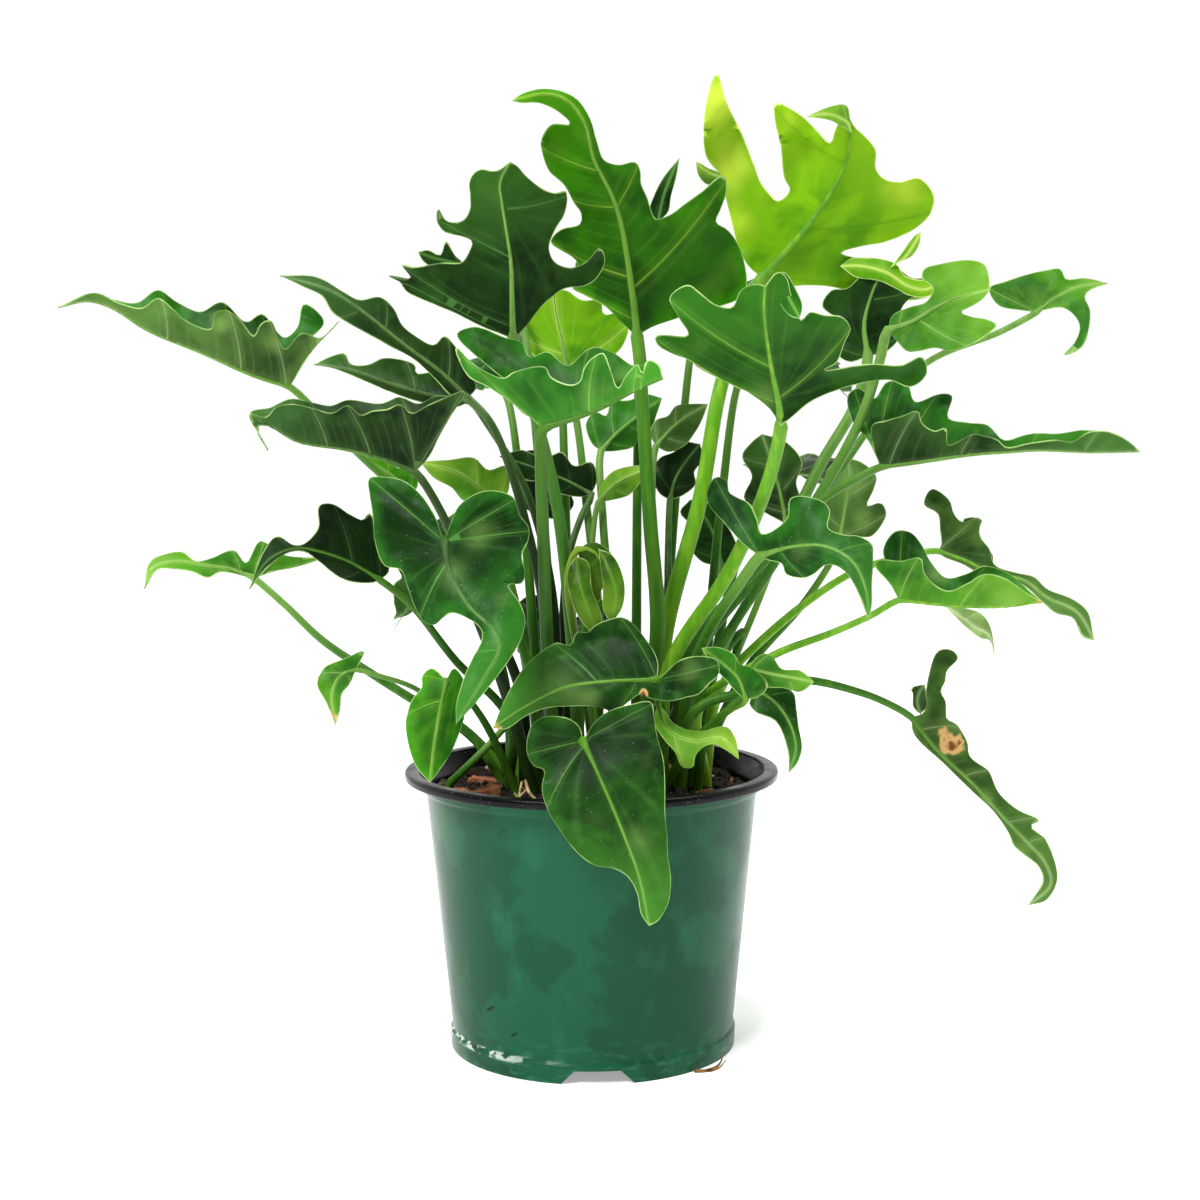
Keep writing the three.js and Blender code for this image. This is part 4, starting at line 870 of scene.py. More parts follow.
class PicturePlane:
    """Lays a leaf out in the photograph's pixels."""

    scale = VIEW.scale

    def place(self, flat: np.ndarray, depth: np.ndarray) -> np.ndarray:
        """Points of the leaf, as View.place gives them."""
        return VIEW.place(flat, depth)

    def course(self, plan: LeafPlan, joint: np.ndarray) -> list[np.ndarray]:
        """The points that the stalk passes between the soil and its joint.

        Args:
            plan: the leaf.
            joint: where the stalk meets the blade.

        Returns:
            One point for each entry of plan.stalk.
        """
        points = []
        for index, point in enumerate(plan.stalk):
            share = (index + 1) / (len(plan.stalk) + 1)
            depth = point[2] if len(point) > 2 else plan.root[1] + (joint[1] - plan.root[1]) * share
            points.append(VIEW.place(np.array((point[:2],)), np.array((depth,)))[0])
        return points

    def outlook(self, places: np.ndarray) -> np.ndarray:
        """The direction from points towards the viewer."""
        return VIEW.eye() - places


class FarPlane:
    """Lays a leaf out in hundredths of its length, in a plane of its own."""

    def __init__(self, far: FarPlan) -> None:
        """Works out the plane's place and directions.

        Args:
            far: the leaf's pose.
        """
        turn, tilt = math.radians(far.compass), math.radians(far.droop)
        outward = Vector((math.cos(turn), math.sin(turn), 0.0))
        along = outward * math.cos(tilt) - Vector((0.0, 0.0, math.sin(tilt)))
        level = Vector((-math.sin(turn), math.cos(turn), 0.0))
        level.rotate(Matrix.Rotation(math.radians(far.roll), 3, along))
        self.far = far
        self.scale = far.length / 100
        self.joint = np.array(outward * far.reach) + np.array((0.0, 0.0, far.rise))
        self.along, self.level, self.below = np.array(along), np.array(level), -np.array(along.cross(level))

    def place(self, flat: np.ndarray, depth: np.ndarray) -> np.ndarray:
        """Points of the leaf from their place in its plane and their depth below it."""
        run = flat[:, :1] * self.scale * self.along + flat[:, 1:] * self.scale * self.level
        return self.joint + run + depth[:, None] * self.below

    def course(self, plan: LeafPlan, joint: np.ndarray) -> list[np.ndarray]:
        """The points that the stalk passes, from its shares of the way out and up."""
        foot = np.array((*plan.root, SOIL_TOP))
        points = []
        for share, height in plan.stalk:
            point = foot + (joint - foot) * share
            point[2] = SOIL_TOP + (joint[2] - SOIL_TOP) * height
            points.append(point)
        return points

    def outlook(self, places: np.ndarray) -> np.ndarray:
        """Straight up: a far leaf's near side is its upper one."""
        return np.broadcast_to((0.0, 0.0, 1.0), places.shape)


Plane = PicturePlane | FarPlane


@dataclass
class HalfBlade:
    """One half of a blade, flat, in millimetres: its corners, faces and veins."""

    flat: np.ndarray
    faces: np.ndarray
    rib_corner: dict[int, int]
    margin: np.ndarray
    veins: list[np.ndarray]


@dataclass
class Leaf:
    """Builds one leaf, blade and stalk in one piece, over its solid.

    All lengths are in millimetres. A lobe gets a vein where its tip stands lobe_reach off the rib
    and lobe_rise above the margin beside it. The blade swells by quilt between its veins, over
    quilt_rib from a vein and quilt_edge from the margin, and sinks by groove along each vein.
    The margin waves with two lengths, fading over ripple_fade, and only beyond ripple_rib.
    """

    plan: LeafPlan
    plane: Plane
    spacing: float = 2.5
    jitter: float = 0.2
    vein_spacing: float = 2.2
    thickness: float = 0.55
    quilt: float = 1.4
    quilt_rib: float = 6.0
    quilt_edge: float = 5.0
    groove: float = 0.5
    groove_width: float = 1.2
    cup_span: float = 40.0
    lobe_window: float = 9.0
    lobe_reach: float = 7.0
    lobe_rise: float = 0.8
    vein_clear: float = 0.5
    ripple_lengths: tuple[float, float] = (19.0, 31.0)
    ripple_fade: float = 6.0
    ripple_rib: float = 12.0
    comb_span: float = 20.0
    no_vein: float = 60.0
    no_neighbour: float = 1e9
    midrib_tip: float = 0.3
    rib_fine: int = 40
    stalk_step: float = 5.0
    evening: int = 70
    step_low: float = 3.5

    def __post_init__(self) -> None:
        """Smooths the rib and prepares the leaf's own random numbers."""
        self.random = np.random.default_rng(sum(map(ord, self.plan.name)))
        line = smooth_line(self.plan.rib, self.rib_fine)
        line[:, :2] *= self.plane.scale
        self.rib_line = line
        flat = np.linalg.norm(np.diff(line[:, :2], axis=0), axis=1)
        self.rib_run = np.concatenate(((0.0,), np.cumsum(flat)))
        count = max(6, int(round(self.rib_run[-1] / self.vein_spacing)))
        wanted = np.linspace(0.0, self.rib_run[-1], count)
        self.rib = np.column_stack([np.interp(wanted, self.rib_run, column) for column in line.T])

    def lobes(self, margin: np.ndarray) -> list[tuple[int, float]]:
        """Finds the lobes of one margin.

        Args:
            margin: its points.

        Returns:
            For each lobe, the margin point at its tip and how far along the rib it stands.
        """
        away, foot = distance_to(margin, self.rib_line[:, :2])
        step = float(np.linalg.norm(np.diff(margin, axis=0), axis=1).mean())
        reach = max(2, int(self.lobe_window / step))
        tips = []
        for index in range(reach // 2, len(margin) - reach // 2):
            near = away[max(0, index - reach): index + reach + 1]
            lobe = away[index] - near.min() > self.lobe_rise
            if away[index] == near.max() and away[index] > self.lobe_reach and lobe:
                along = float(np.interp(foot[index], np.arange(len(self.rib_run)), self.rib_run))
                tips.append((index, along))
        return tips

    def vein(self, tip: np.ndarray, along: float, margin: np.ndarray) -> tuple[int, np.ndarray] | None:
        """Draws the vein of one lobe.

        Args:
            tip: the lobe's tip.
            along: how far along the rib the tip stands.
            margin: the half's margin.

        Returns:
            The rib corner it leaves from and its inner points, or None where it has no room.
        """
        reach = float(np.linalg.norm(tip - self.rib_line[0, :2]))
        away = float(distance_to(tip[None], self.rib_line[:, :2])[0][0])
        start_run = max(0.0, along - 0.7 * away) if along > 2.0 else 0.0
        corner = int(round(start_run / self.rib_run[-1] * (len(self.rib) - 1)))
        corner = min(corner, len(self.rib) - 3)
        start = self.rib[corner, :2]
        forward = self.rib[corner + 1, :2] - start
        forward /= max(float(np.linalg.norm(forward)), 1e-9)
        length = float(np.linalg.norm(tip - start))
        bend = 0.1 * length if along > 2.0 else 0.02 * reach
        middle = (start + tip) / 2 - forward * bend
        count = max(3, int(length / self.vein_spacing))
        share = np.linspace(0.0, 1.0, count + 1)[1:-1, None]
        for control in (middle, (start + tip) / 2):
            points = (1 - share) ** 2 * start + 2 * share * (1 - share) * control + share**2 * tip
            loop = np.vstack((self.rib[:, :2], margin[::-1]))
            if len(points) and inside(points, loop).all():
                clear = distance_to(points, margin)[0] > self.vein_clear
                return corner, points[clear]
        return None

    def half(self, outline: Sequence[Sequence[float]], first: bool) -> HalfBlade:
        """Fills one half of the blade with triangles.

        Args:
            outline: the margin's measured points.
            first: whether it is the leaf's first half.

        Returns:
            The half, its faces turned as the solid's are.
        """
        ends = (self.plan.rib[0][:2], *outline, self.plan.rib[-1][:2])
        margin = resampled(smooth_line(ends) * self.plane.scale, self.vein_spacing)
        rib = self.rib[:, :2]
        margin[0], margin[-1] = rib[0], rib[-1]
        loop = np.vstack((rib, margin[-2:0:-1]))
        chains = [list(range(len(rib)))]
        corners = [rib, margin[1:-1]]
        base = len(rib)
        margin_ids = [0, *range(base, base + len(margin) - 2), len(rib) - 1]
        chains.append(margin_ids)
        total = base + len(margin) - 2
        veins = []
        for tip_index, along in self.lobes(margin):
            drawn = self.vein(margin[tip_index], along, margin)
            if drawn is None or not len(drawn[1]):
                continue
            corner, points = drawn
            chains.append([corner, *range(total, total + len(points)), margin_ids[tip_index]])
            corners.append(points)
            total += len(points)
            veins.append(np.vstack((rib[corner], points, margin[tip_index])))
        fixed = np.vstack(corners)
        grid = self.inner_grid(loop, [rib, margin, *veins])
        everything = np.vstack((fixed, grid))
        edges = [pair for chain in chains for pair in zip(chain, chain[1:])]
        out, _, faces, sources, _, _ = delaunay_2d_cdt([Vector(p) for p in everything], edges, [], 1, 1e-4)
        flat = np.array([tuple(p) for p in out])
        triangles = np.array([face for face in faces if len(face) == 3])
        turned = signed_area(np.vstack((margin, rib[::-1])) if first else np.vstack((rib, margin[::-1])))
        if turned < 0:
            triangles = triangles[:, ::-1]
        rib_corner = {source: index for index, found in enumerate(sources)
                      for source in found if source < len(rib)}
        return HalfBlade(flat, triangles, rib_corner, margin, veins)

    def inner_grid(self, loop: np.ndarray, lines: Sequence[np.ndarray]) -> np.ndarray:
        """Scattered points of a triangular grid inside an outline, clear of some lines."""
        low, high = loop.min(0), loop.max(0)
        rows = np.arange(low[1], high[1], self.spacing * 0.866)
        points = [(x + (row % 2) * self.spacing / 2, y) for row, y in enumerate(rows)
                  for x in np.arange(low[0], high[0], self.spacing)]
        moved = self.random.uniform(-self.jitter, self.jitter, (len(points), 2))
        grid = np.array(points) + moved * self.spacing
        grid = grid[inside(grid, loop)]
        for line in lines:
            if len(grid):
                grid = grid[distance_to(grid, line)[0] > self.spacing * 0.6]
        return grid

    def measured(self, half: HalfBlade, side: int) -> dict[str, np.ndarray]:
        """Works out the depth and the pattern values of one half.

        Args:
            half: the flat half.
            side: 0 for the first half, 1 for the second.

        Returns:
            Values by name, one for each corner.
        """
        away, foot = distance_to(half.flat, self.rib_line[:, :2])
        edge, spot = distance_to(half.flat, half.margin)
        corners = np.arange(len(self.rib_run))
        along = np.interp(foot, corners, self.rib_run) / self.rib_run[-1]
        depth = np.interp(foot, corners, self.rib_line[:, 2])
        depth = depth + self.plan.lean[side] * away + self.plan.cup[side] * (away / self.cup_span) ** 2
        run = spot * self.vein_spacing * 2 * math.pi
        short, long = self.ripple_lengths
        wave = np.sin(run / short + side * 2.0 + self.random.uniform(0, 6))
        wave += 0.6 * np.sin(run / long + 1.0)
        fade = np.exp(-edge / self.ripple_fade) * np.clip(away / self.ripple_rib, 0.0, 1.0)
        depth = depth + self.plan.ripple * wave * fade
        gaps = [distance_to(half.flat, vein)[0] for vein in half.veins]
        comb = away / self.comb_span
        vein = np.full(len(away), self.no_vein)
        if gaps:
            table = np.array([*gaps, away]) if len(gaps) == 1 else np.array(gaps)
            nearest = table.argmin(0)
            rows = np.arange(len(away))
            vein = np.array(gaps).min(0)
            before = table[np.maximum(nearest - 1, 0), rows]
            after = table[np.minimum(nearest + 1, len(table) - 1), rows]
            toward = np.where(after <= before, 1.0, -1.0)
            lower = np.where(nearest > 0, before, self.no_neighbour)
            upper = np.where(nearest < len(table) - 1, after, self.no_neighbour)
            other = np.minimum(lower, upper)
            own = table[nearest, rows]
            comb = nearest + toward * own / np.maximum(own + other, 1e-6)
        return {"depth": depth, "rib_mm": away, "edge_mm": edge, "vein_mm": vein, "along": along,
                "comb": comb + side * self.comb_span}

    def scorched(self, flat: np.ndarray) -> np.ndarray:
        """How dried out each point is, from the leaf's scorched spots."""
        value = np.zeros(len(flat))
        for px, py, radius, strength in self.plan.scorch:
            gap = np.linalg.norm(flat - np.array((px, py)) * self.plane.scale, axis=1)
            rough = np.array([noise.noise(Vector((*(point / 3.2), px))) for point in flat])
            value = np.maximum(value, strength * np.clip(1.3 - gap / radius + 0.9 * rough, 0.0, 1.0))
        return value

    def lit(self, flat: np.ndarray) -> np.ndarray:
        """How much painted light each point gets from the leaf's light patches; below 0 it is painted shade.
        """
        value = np.zeros(len(flat))
        for px, py, radius, strength in self.plan.light:
            gap = np.linalg.norm(flat - np.array((px, py)) * self.plane.scale, axis=1)
            value += strength * np.exp(-(gap / radius) ** 2)
        return value

    def blade(self) -> bpy.types.Object:
        """Builds the quilted blade with its two sides and its margin."""
        halves = [self.half(self.plan.first, True), self.half(self.plan.second, False)]
        values = [self.measured(half, side) for side, half in enumerate(halves)]
        shift = len(halves[0].flat)
        renumber = np.arange(len(halves[1].flat)) + shift
        for source, index in halves[1].rib_corner.items():
            if source in halves[0].rib_corner:
                renumber[index] = halves[0].rib_corner[source]
        flat = np.vstack([half.flat for half in halves])
        table = {key: np.concatenate([value[key] for value in values]) for key in values[0]}
        faces = np.vstack((halves[0].faces, renumber[halves[1].faces]))
        used, faces = np.unique(faces, return_inverse=True)
        faces = faces.reshape(-1, 3)
        faces = faces[(faces != np.roll(faces, 1, 1)).all(1)]
        flat, table = flat[used], {key: value[used] for key, value in table.items()}
        places = self.plane.place(flat / self.plane.scale, self.without_steps(table["depth"], faces))
        normals = vertex_normals(places, faces)
        owned = used < shift
        facing = (normals * self.plane.outlook(places)).sum(1)[owned].sum()
        near = 1.0 if facing > 0 else -1.0
        upward = near * self.plan.face.value
        nearest = np.minimum(table["vein_mm"], table["rib_mm"])
        puff = self.quilt * (1 - np.exp(-nearest / self.quilt_rib))
        puff *= 1 - np.exp(-table["edge_mm"] / self.quilt_edge)
        groove = -self.groove * np.exp(-nearest / self.groove_width)
        places = places + normals * (upward * (puff + groove))[:, None]
        normals = vertex_normals(places, faces)
        self.under = (places, -upward * normals)
        table["scorch"] = self.scorched(flat)
        table["light"] = self.lit(flat)
        table["along"] = evened(table["along"], faces, self.evening)
        return self.thicken(places, normals, faces, table, near)

    def without_steps(self, depth: np.ndarray, faces: np.ndarray) -> np.ndarray:
        """Eases the steps that a long lobe gets where its nearest rib point changes.

        Args:
            depth: each corner's depth.
            faces: the sheet's triangles.

        Returns:
            The depths, changed only beside such a step.
        """
        even = evened(depth, faces, self.evening)
        share = np.clip((np.abs(depth - even) - self.step_low) / self.step_low, 0.0, 1.0)
        return depth + (even - depth) * evened(share, faces, 6)

    def thicken(self, places: np.ndarray, normals: np.ndarray, faces: np.ndarray,
                table: dict[str, np.ndarray], near: float) -> bpy.types.Object:
        """Gives the sheet its thickness and finishes.

        Args:
            places: the sheet's corners.
            normals: its normals.
            faces: its triangles.
            table: the pattern values of each corner.
            near: 1 if the near side lies along the normals, else -1.

        Returns:
            The blade.
        """
        count = len(places)
        both = np.vstack((places + normals * self.thickness / 2, places - normals * self.thickness / 2))
        pairs = {(int(a), int(b)) for face in faces for a, b in zip(face, np.roll(face, -1))}
        rims = [(a, b) for a, b in pairs if (b, a) not in pairs]
        strip = [quad for a, b in sorted(rims) for quad in ((b, a, a + count), (b, a + count, b + count))]
        everything = np.vstack((faces, faces[:, ::-1] + count, np.array(strip)))
        finishes = [tone.value.material() for tone in (self.plan.near, self.plan.far)]
        piece = new_mesh(self.plan.name, both, everything, finishes)
        mesh = piece.data
        slots = np.zeros(len(everything), np.int32)
        back = slice(len(faces), 2 * len(faces)) if near > 0 else slice(0, len(faces))
        slots[back] = 1
        mesh.polygons.foreach_set("material_index", slots)
        mesh.set_sharp_from_angle(angle=math.radians(50))
        for key in ("rib_mm", "edge_mm", "vein_mm", "along", "comb", "scorch", "light"):
            store(mesh, key, np.tile(table[key], 2))
        return piece

    def stalk_path(self) -> tuple[np.ndarray, np.ndarray]:
        """The stalk's line from inside the soil through its joint and under the midrib.

        Returns:
            Its points and the radius at each.
        """
        root_x, root_y = self.plan.root
        base, top = self.plan.girth
        rib = self.plane.place(self.rib_line[:, :2] / self.plane.scale, self.rib_line[:, 2])
        rib = resampled(rib, self.stalk_step)
        course = [np.array((root_x, root_y, SOIL_TOP + STALK_COLLAR)), *self.plane.course(self.plan, rib[0])]
        rise = resampled(smooth_line([*course, rib[0], rib[1]])[:-16], self.stalk_step)
        foot = np.array([(root_x, root_y, SOIL_TOP - depth) for depth in (STALK_DEPTH, STALK_COLLAR)])
        path = np.vstack((foot, rise, rib[1:]))
        stem_steps = np.linspace(0.0, 1.0, len(rise))
        stem = base + (top - base) * np.minimum(1.0, stem_steps * 1.15)
        rib_steps = np.linspace(0.0, 1.0, len(rib))[1:]
        midrib = self.midrib_tip + (top * 0.6 - self.midrib_tip) * (1 - rib_steps) ** 1.4
        radii = np.concatenate(((base, base), stem, midrib))
        first = len(path) - len(midrib)
        corners, below = self.under
        ease = np.minimum(1.0, np.arange(1, len(midrib) + 1) / 4)
        for index in range(len(midrib)):
            spot = first + index
            gaps = np.linalg.norm(corners - path[spot], axis=1)
            way = below[np.argsort(gaps)[:12]].mean(0)
            path[spot] += way * ease[index] * (radii[spot] * 0.75 + 0.1)
        return path, radii

    def build(self, strands: Graph) -> bpy.types.Object:
        """Builds the whole leaf, or the blade alone for a lobe without a stalk.

        Args:
            strands: the tree that skins the stalk.

        Returns:
            The leaf.
        """
        blade = self.blade()
        if not self.plan.stalk:
            return blade
        path, radii = self.stalk_path()
        finish = self.plan.stalk_tone.value.material()
        return join((blade, strand(strands, self.plan.name + "_stalk", path, radii, finish)))


# The leaves as measured

LEAVES: tuple[LeafPlan, ...] = (
    LeafPlan(
        "leaf_far_left_high", Tone.SAGE, Tone.GREEN, Face.UNDER, StalkTone.MOSS, root=(-28, -8),
        girth=(3.2, 2), lean=(-0.55, 0.9), cup=(-2, 4),
        stalk=((520, 640), (440, 530), (360, 455), (312, 407)),
        rib=((290, 387, -25), (254, 375, -30), (201, 352, -38), (147, 330, -46), (112, 308, -52),
            (88, 301, -56), (58, 307, -62)),
        first=((306, 360), (318, 344), (340, 320), (321, 338), (302, 333), (285, 349), (270, 320),
            (260, 325), (254, 336), (241, 321), (227, 310), (215, 313), (211, 329), (185, 320), (174, 310),
            (158, 298), (142, 308), (122, 304), (94, 293)),
        second=((297, 352), (324, 322), (304, 304), (297, 328), (284, 338), (262, 314), (246, 322),
            (222, 302), (200, 312), (178, 303), (158, 290), (136, 303), (92, 296)),
        light=((220, 325, 7, 0.7), (270, 342, 8, 0.5), (300, 372, 8, -0.5), (150, 310, 5, 0.4)),
    ),
    LeafPlan(
        "leaf_left_inner_upper", Tone.PINE_UNDER, Tone.GREEN, Face.UNDER, StalkTone.DARK, root=(-24, 2),
        girth=(3.4, 2.2), lean=(0.6, -0.5), cup=(4, -2),
        stalk=((548, 640), (525, 520), (492, 425)),
        rib=((468, 398, 22), (440, 372, 18), (405, 346, 12), (368, 316, 6), (330, 291, 0), (280, 276, -6)),
        first=((476, 388), (469, 368), (456, 347), (444, 336), (434, 345), (415, 336), (402, 325),
            (394, 309), (380, 297), (359, 300), (343, 292), (316, 277)),
        second=((452, 396), (436, 380), (415, 360), (388, 345), (361, 330), (333, 313), (322, 296),
            (302, 286)),
    ),
    LeafPlan(
        "leaf_left_inner_lower", Tone.SAGE_DARK, Tone.GREEN, Face.UNDER, StalkTone.DARK, root=(-32, 10),
        girth=(3.2, 2), lean=(0.8, -0.4), cup=(4, 0),
        stalk=((556, 640), (530, 500), (488, 425)),
        rib=((470, 402, 52), (442, 398, 48), (388, 383, 40), (350, 370, 34), (314, 365, 28)),
        first=((462, 385), (440, 372), (416, 373), (415, 365), (385, 358), (367, 365), (350, 364),
            (345, 354), (330, 357)),
        second=((452, 408), (420, 402), (388, 391), (360, 379), (335, 369)),
    ),
    LeafPlan(
        "leaf_left_middle", Tone.PINE_UNDER, Tone.SAGE_DARK, Face.UNDER, StalkTone.DARK, root=(-37, -15),
        girth=(3.4, 2.3), lean=(-0.45, 0.95), cup=(-2, 4),
        stalk=((520, 690), (470, 580), (440, 510)),
        rib=((415, 472, -66), (388, 460, -70), (348, 449, -76), (297, 441, -84), (268, 425, -88),
            (256, 426, -90), (268, 450, -90)),
        first=((428, 458), (446, 424), (465, 391), (442, 399), (428, 405), (412, 413), (400, 404),
            (388, 409), (372, 411), (361, 415), (348, 405), (332, 413), (313, 408), (292, 404), (276, 407),
            (266, 417), (249, 414)),
        second=((426, 450), (436, 418), (452, 398), (436, 396), (418, 404), (400, 397), (380, 404),
            (348, 400), (330, 406), (310, 402), (290, 399), (270, 408), (250, 413)),
    ),
    LeafPlan(
        "leaf_left_lower_dark", Tone.BOTTLE, Tone.SAGE_PALE, Face.UPPER, StalkTone.PLAIN, root=(-46, -14),
        girth=(3, 2), lean=(0.5, -0.7), cup=(3, -2),
        stalk=((510, 720), (455, 660), (412, 606)),
        rib=((380, 580, -58), (352, 563, -64), (322, 552, -70), (295, 548, -74), (268, 560, -78),
            (249, 589, -80)),
        first=((389, 572), (383, 545), (369, 513), (363, 520), (349, 514), (333, 504), (319, 506),
            (318, 528), (305, 543), (294, 545), (277, 536), (263, 553)),
        second=((372, 583), (347, 581), (333, 573), (317, 560), (305, 552), (289, 552), (268, 567)),
    ),
    LeafPlan(
        "leaf_far_left_low", Tone.GRASS, Tone.SAGE_PALE, Face.UPPER, StalkTone.MOSS, root=(-44, 2),
        girth=(3.2, 2), lean=(0.6, -0.7), cup=(3, -2),
        stalk=((462, 728), (412, 699), (366, 670), (322, 640), (284, 604)),
        rib=((252, 577, 30), (232, 569, 30), (205, 565, 28), (176, 561, 26), (152, 568, 24),
            (144, 589, 22)),
        first=((272, 572), (300, 566), (319, 559), (284, 555), (260, 541), (246, 563), (234, 550),
            (212, 558), (196, 561), (182, 552), (166, 554), (150, 562)),
        second=((262, 586), (246, 577), (220, 572), (208, 578), (193, 572), (174, 569), (158, 569)),
    ),
    LeafPlan(
        "leaf_front_left_heart", Tone.HEART, Tone.SAGE, Face.UPPER, StalkTone.DARK, root=(-32, -26),
        girth=(3.8, 2.6), lean=(0.25, 0.3), cup=(3, 3),
        stalk=((505, 690), (470, 600), (452, 556)),
        rib=((444, 542, -92), (450, 572, -100), (468, 605, -110), (492, 629, -120), (499, 648, -126),
            (484, 678, -134), (456, 724, -144)),
        first=((434, 514), (421, 495), (404, 481), (385, 477), (369, 478), (370, 495), (373, 517),
            (375, 541), (385, 566), (401, 570), (408, 588), (415, 607), (423, 621), (434, 625), (443, 618),
            (451, 613), (467, 618), (481, 629), (482, 640), (473, 657), (463, 681), (456, 706)),
        second=((451, 522), (459, 506), (478, 493), (497, 491), (514, 498), (519, 514), (529, 528),
            (528, 541), (522, 555), (525, 572), (522, 583), (508, 585), (519, 602), (525, 618), (522, 637),
            (511, 657), (495, 679), (473, 706)),
        light=((405, 520, 20, -0.9), (480, 535, 12, 0.6), (450, 575, 12, 0.5), (505, 600, 10, 0.4),
            (475, 625, 9, -0.5), (515, 650, 8, 0.4)),
    ),
    LeafPlan(
        "leaf_small_bright_left", Tone.FRESH, Tone.SAGE, Face.UPPER, StalkTone.MOSS, root=(-42, -24),
        girth=(2.6, 1.8), lean=(0.3, 0.4), cup=(2, 2),
        stalk=((488, 728), (464, 694)),
        rib=((446, 680, -60), (440, 710, -64), (434, 745, -67), (430, 783, -70)),
        first=((432, 668), (422, 676), (422, 687), (412, 700), (406, 720), (408, 742), (416, 766)),
        second=((454, 668), (466, 686), (465, 712), (456, 742), (445, 762)),
    ),
    LeafPlan(
        "leaf_tiny_damaged", Tone.GRASS, Tone.SAGE, Face.UPPER, StalkTone.MOSS, root=(-50, -6),
        girth=(2, 1.4), lean=(0.3, -0.4), cup=(0, 0),
        stalk=((470, 736), (418, 690), (380, 676)),
        rib=((356, 670, -6), (342, 674, -8), (332, 692, -10), (335, 725, -12)),
        first=((364, 651), (346, 658), (324, 668), (317, 684), (326, 702)),
        second=((350, 684), (342, 694), (340, 710)),
        scorch=((334, 724, 8, 0.6),),
    ),
    LeafPlan(
        "leaf_front_centre", Tone.HOLLY, Tone.SAGE, Face.UPPER, StalkTone.FRESH, root=(24, -10),
        girth=(3.8, 2.8), lean=(0.85, -0.6), cup=(3, 0),
        stalk=((654, 735, -20), (660, 706, -33)),
        rib=((657, 680, -66), (610, 681, -80), (562, 688, -92), (526, 706, -100), (493, 728, -108)),
        first=((658, 664), (651, 647), (625, 618), (607, 620), (594, 626), (588, 632), (577, 632),
            (570, 645), (557, 643), (542, 651), (526, 665), (513, 684), (502, 706)),
        second=((665, 673), (680, 660), (701, 656), (717, 660), (719, 674), (709, 684), (699, 694),
            (688, 697), (672, 701), (651, 699), (641, 694), (625, 705), (615, 712), (599, 707), (573, 706),
            (547, 708), (526, 716), (506, 729)),
        scorch=((493, 728, 6, 0.6), (643, 694, 2.6, 1.0)),
        light=((620, 650, 14, -0.8), (560, 690, 14, 0.35), (592, 702, 9, 0.4), (692, 672, 9, 0.5),
            (530, 705, 8, 0.3)),
    ),
    LeafPlan(
        "leaf_front_over_rim", Tone.HOLLY, Tone.SAGE, Face.UPPER, StalkTone.FRESH, root=(8, -40),
        girth=(3.8, 2.8), lean=(0.08, 0.08), cup=(1, 1),
        stalk=((594, 765), (588, 752)),
        rib=((583, 741, -99), (600, 778, -112), (622, 830, -121), (640, 880, -128), (649, 926, -134)),
        first=((580, 728), (570, 719), (552, 716), (539, 719), (532, 725), (527, 741), (527, 754),
            (534, 766), (544, 770), (542, 788), (547, 809), (560, 830), (573, 848), (594, 865), (615, 869),
            (628, 877), (637, 893), (641, 914)),
        second=((594, 723), (607, 712), (628, 705), (651, 702), (654, 715), (657, 736), (663, 757),
            (665, 783), (665, 809), (667, 835), (668, 856), (671, 882), (668, 903), (659, 920)),
        scorch=((649, 928, 4, 0.35),),
        light=((590, 745, 18, -1.0), (622, 800, 9, -0.6), (598, 815, 11, 0.3), (642, 838, 13, 0.3),
            (655, 885, 8, -0.4), (560, 790, 9, 0.3), (640, 770, 8, 0.3)),
    ),
    LeafPlan(
        "leaf_front_right_light", Tone.SPRING, Tone.SAGE, Face.UPPER, StalkTone.FRESH, root=(29, -21),
        girth=(2.6, 1.8), lean=(-0.5, 0.5), cup=(0, 2),
        stalk=((664, 740), (657, 712)),
        rib=((658, 703, -58), (668, 730, -62), (695, 741, -66), (722, 738, -68), (739, 759, -70)),
        first=((654, 722), (665, 741), (675, 752), (682, 767), (693, 767), (695, 757), (701, 749),
            (712, 744), (726, 750)),
        second=((664, 710), (672, 722), (685, 729), (704, 731), (714, 728), (727, 727), (736, 740)),
    ),
    LeafPlan(
        "leaf_mid_cup", Tone.CUP, Tone.GREEN, Face.UNDER, StalkTone.PLAIN, root=(-20, -26),
        girth=(3.8, 3.2), lean=(-0.35, 0.5), cup=(0, 2),
        stalk=((551, 700), (547, 640), (543, 530), (541, 460)),
        rib=((543, 428, -92), (576, 417, -96), (605, 406, -100), (634, 391, -103), (663, 378, -106)),
        first=((528, 416), (508, 400), (488, 387), (468, 376), (455, 347), (478, 367), (504, 378),
            (514, 372), (545, 367), (551, 377), (571, 385), (580, 381), (584, 368), (592, 358), (603, 353),
            (610, 368), (618, 388), (625, 377), (638, 364), (642, 373), (648, 360), (659, 365)),
        second=((520, 392), (490, 368), (457, 334), (473, 327), (484, 329), (506, 338), (521, 342),
            (530, 357), (548, 352), (568, 366), (590, 348), (612, 352), (634, 366), (652, 364)),
        light=((500, 345, 12, -0.4), (590, 400, 12, 0.4), (560, 380, 8, -0.3), (625, 375, 8, 0.3)),
    ),
    LeafPlan(
        "leaf_top_left_dark", Tone.PINE, Tone.HOLLY, Face.UNDER, StalkTone.MOSS, root=(-6, -14),
        girth=(3.8, 3.1), lean=(0.3, 0.35), cup=(3, 3),
        stalk=((572, 640, -18), (556, 500, -30), (528, 390, -42)),
        rib=((513, 338, -47), (512, 300, -60), (511, 264, -72), (502, 203, -90), (500, 183, -94),
            (510, 162, -92)),
        first=((500, 333), (486, 328), (451, 311), (421, 299), (406, 291), (400, 281), (389, 275),
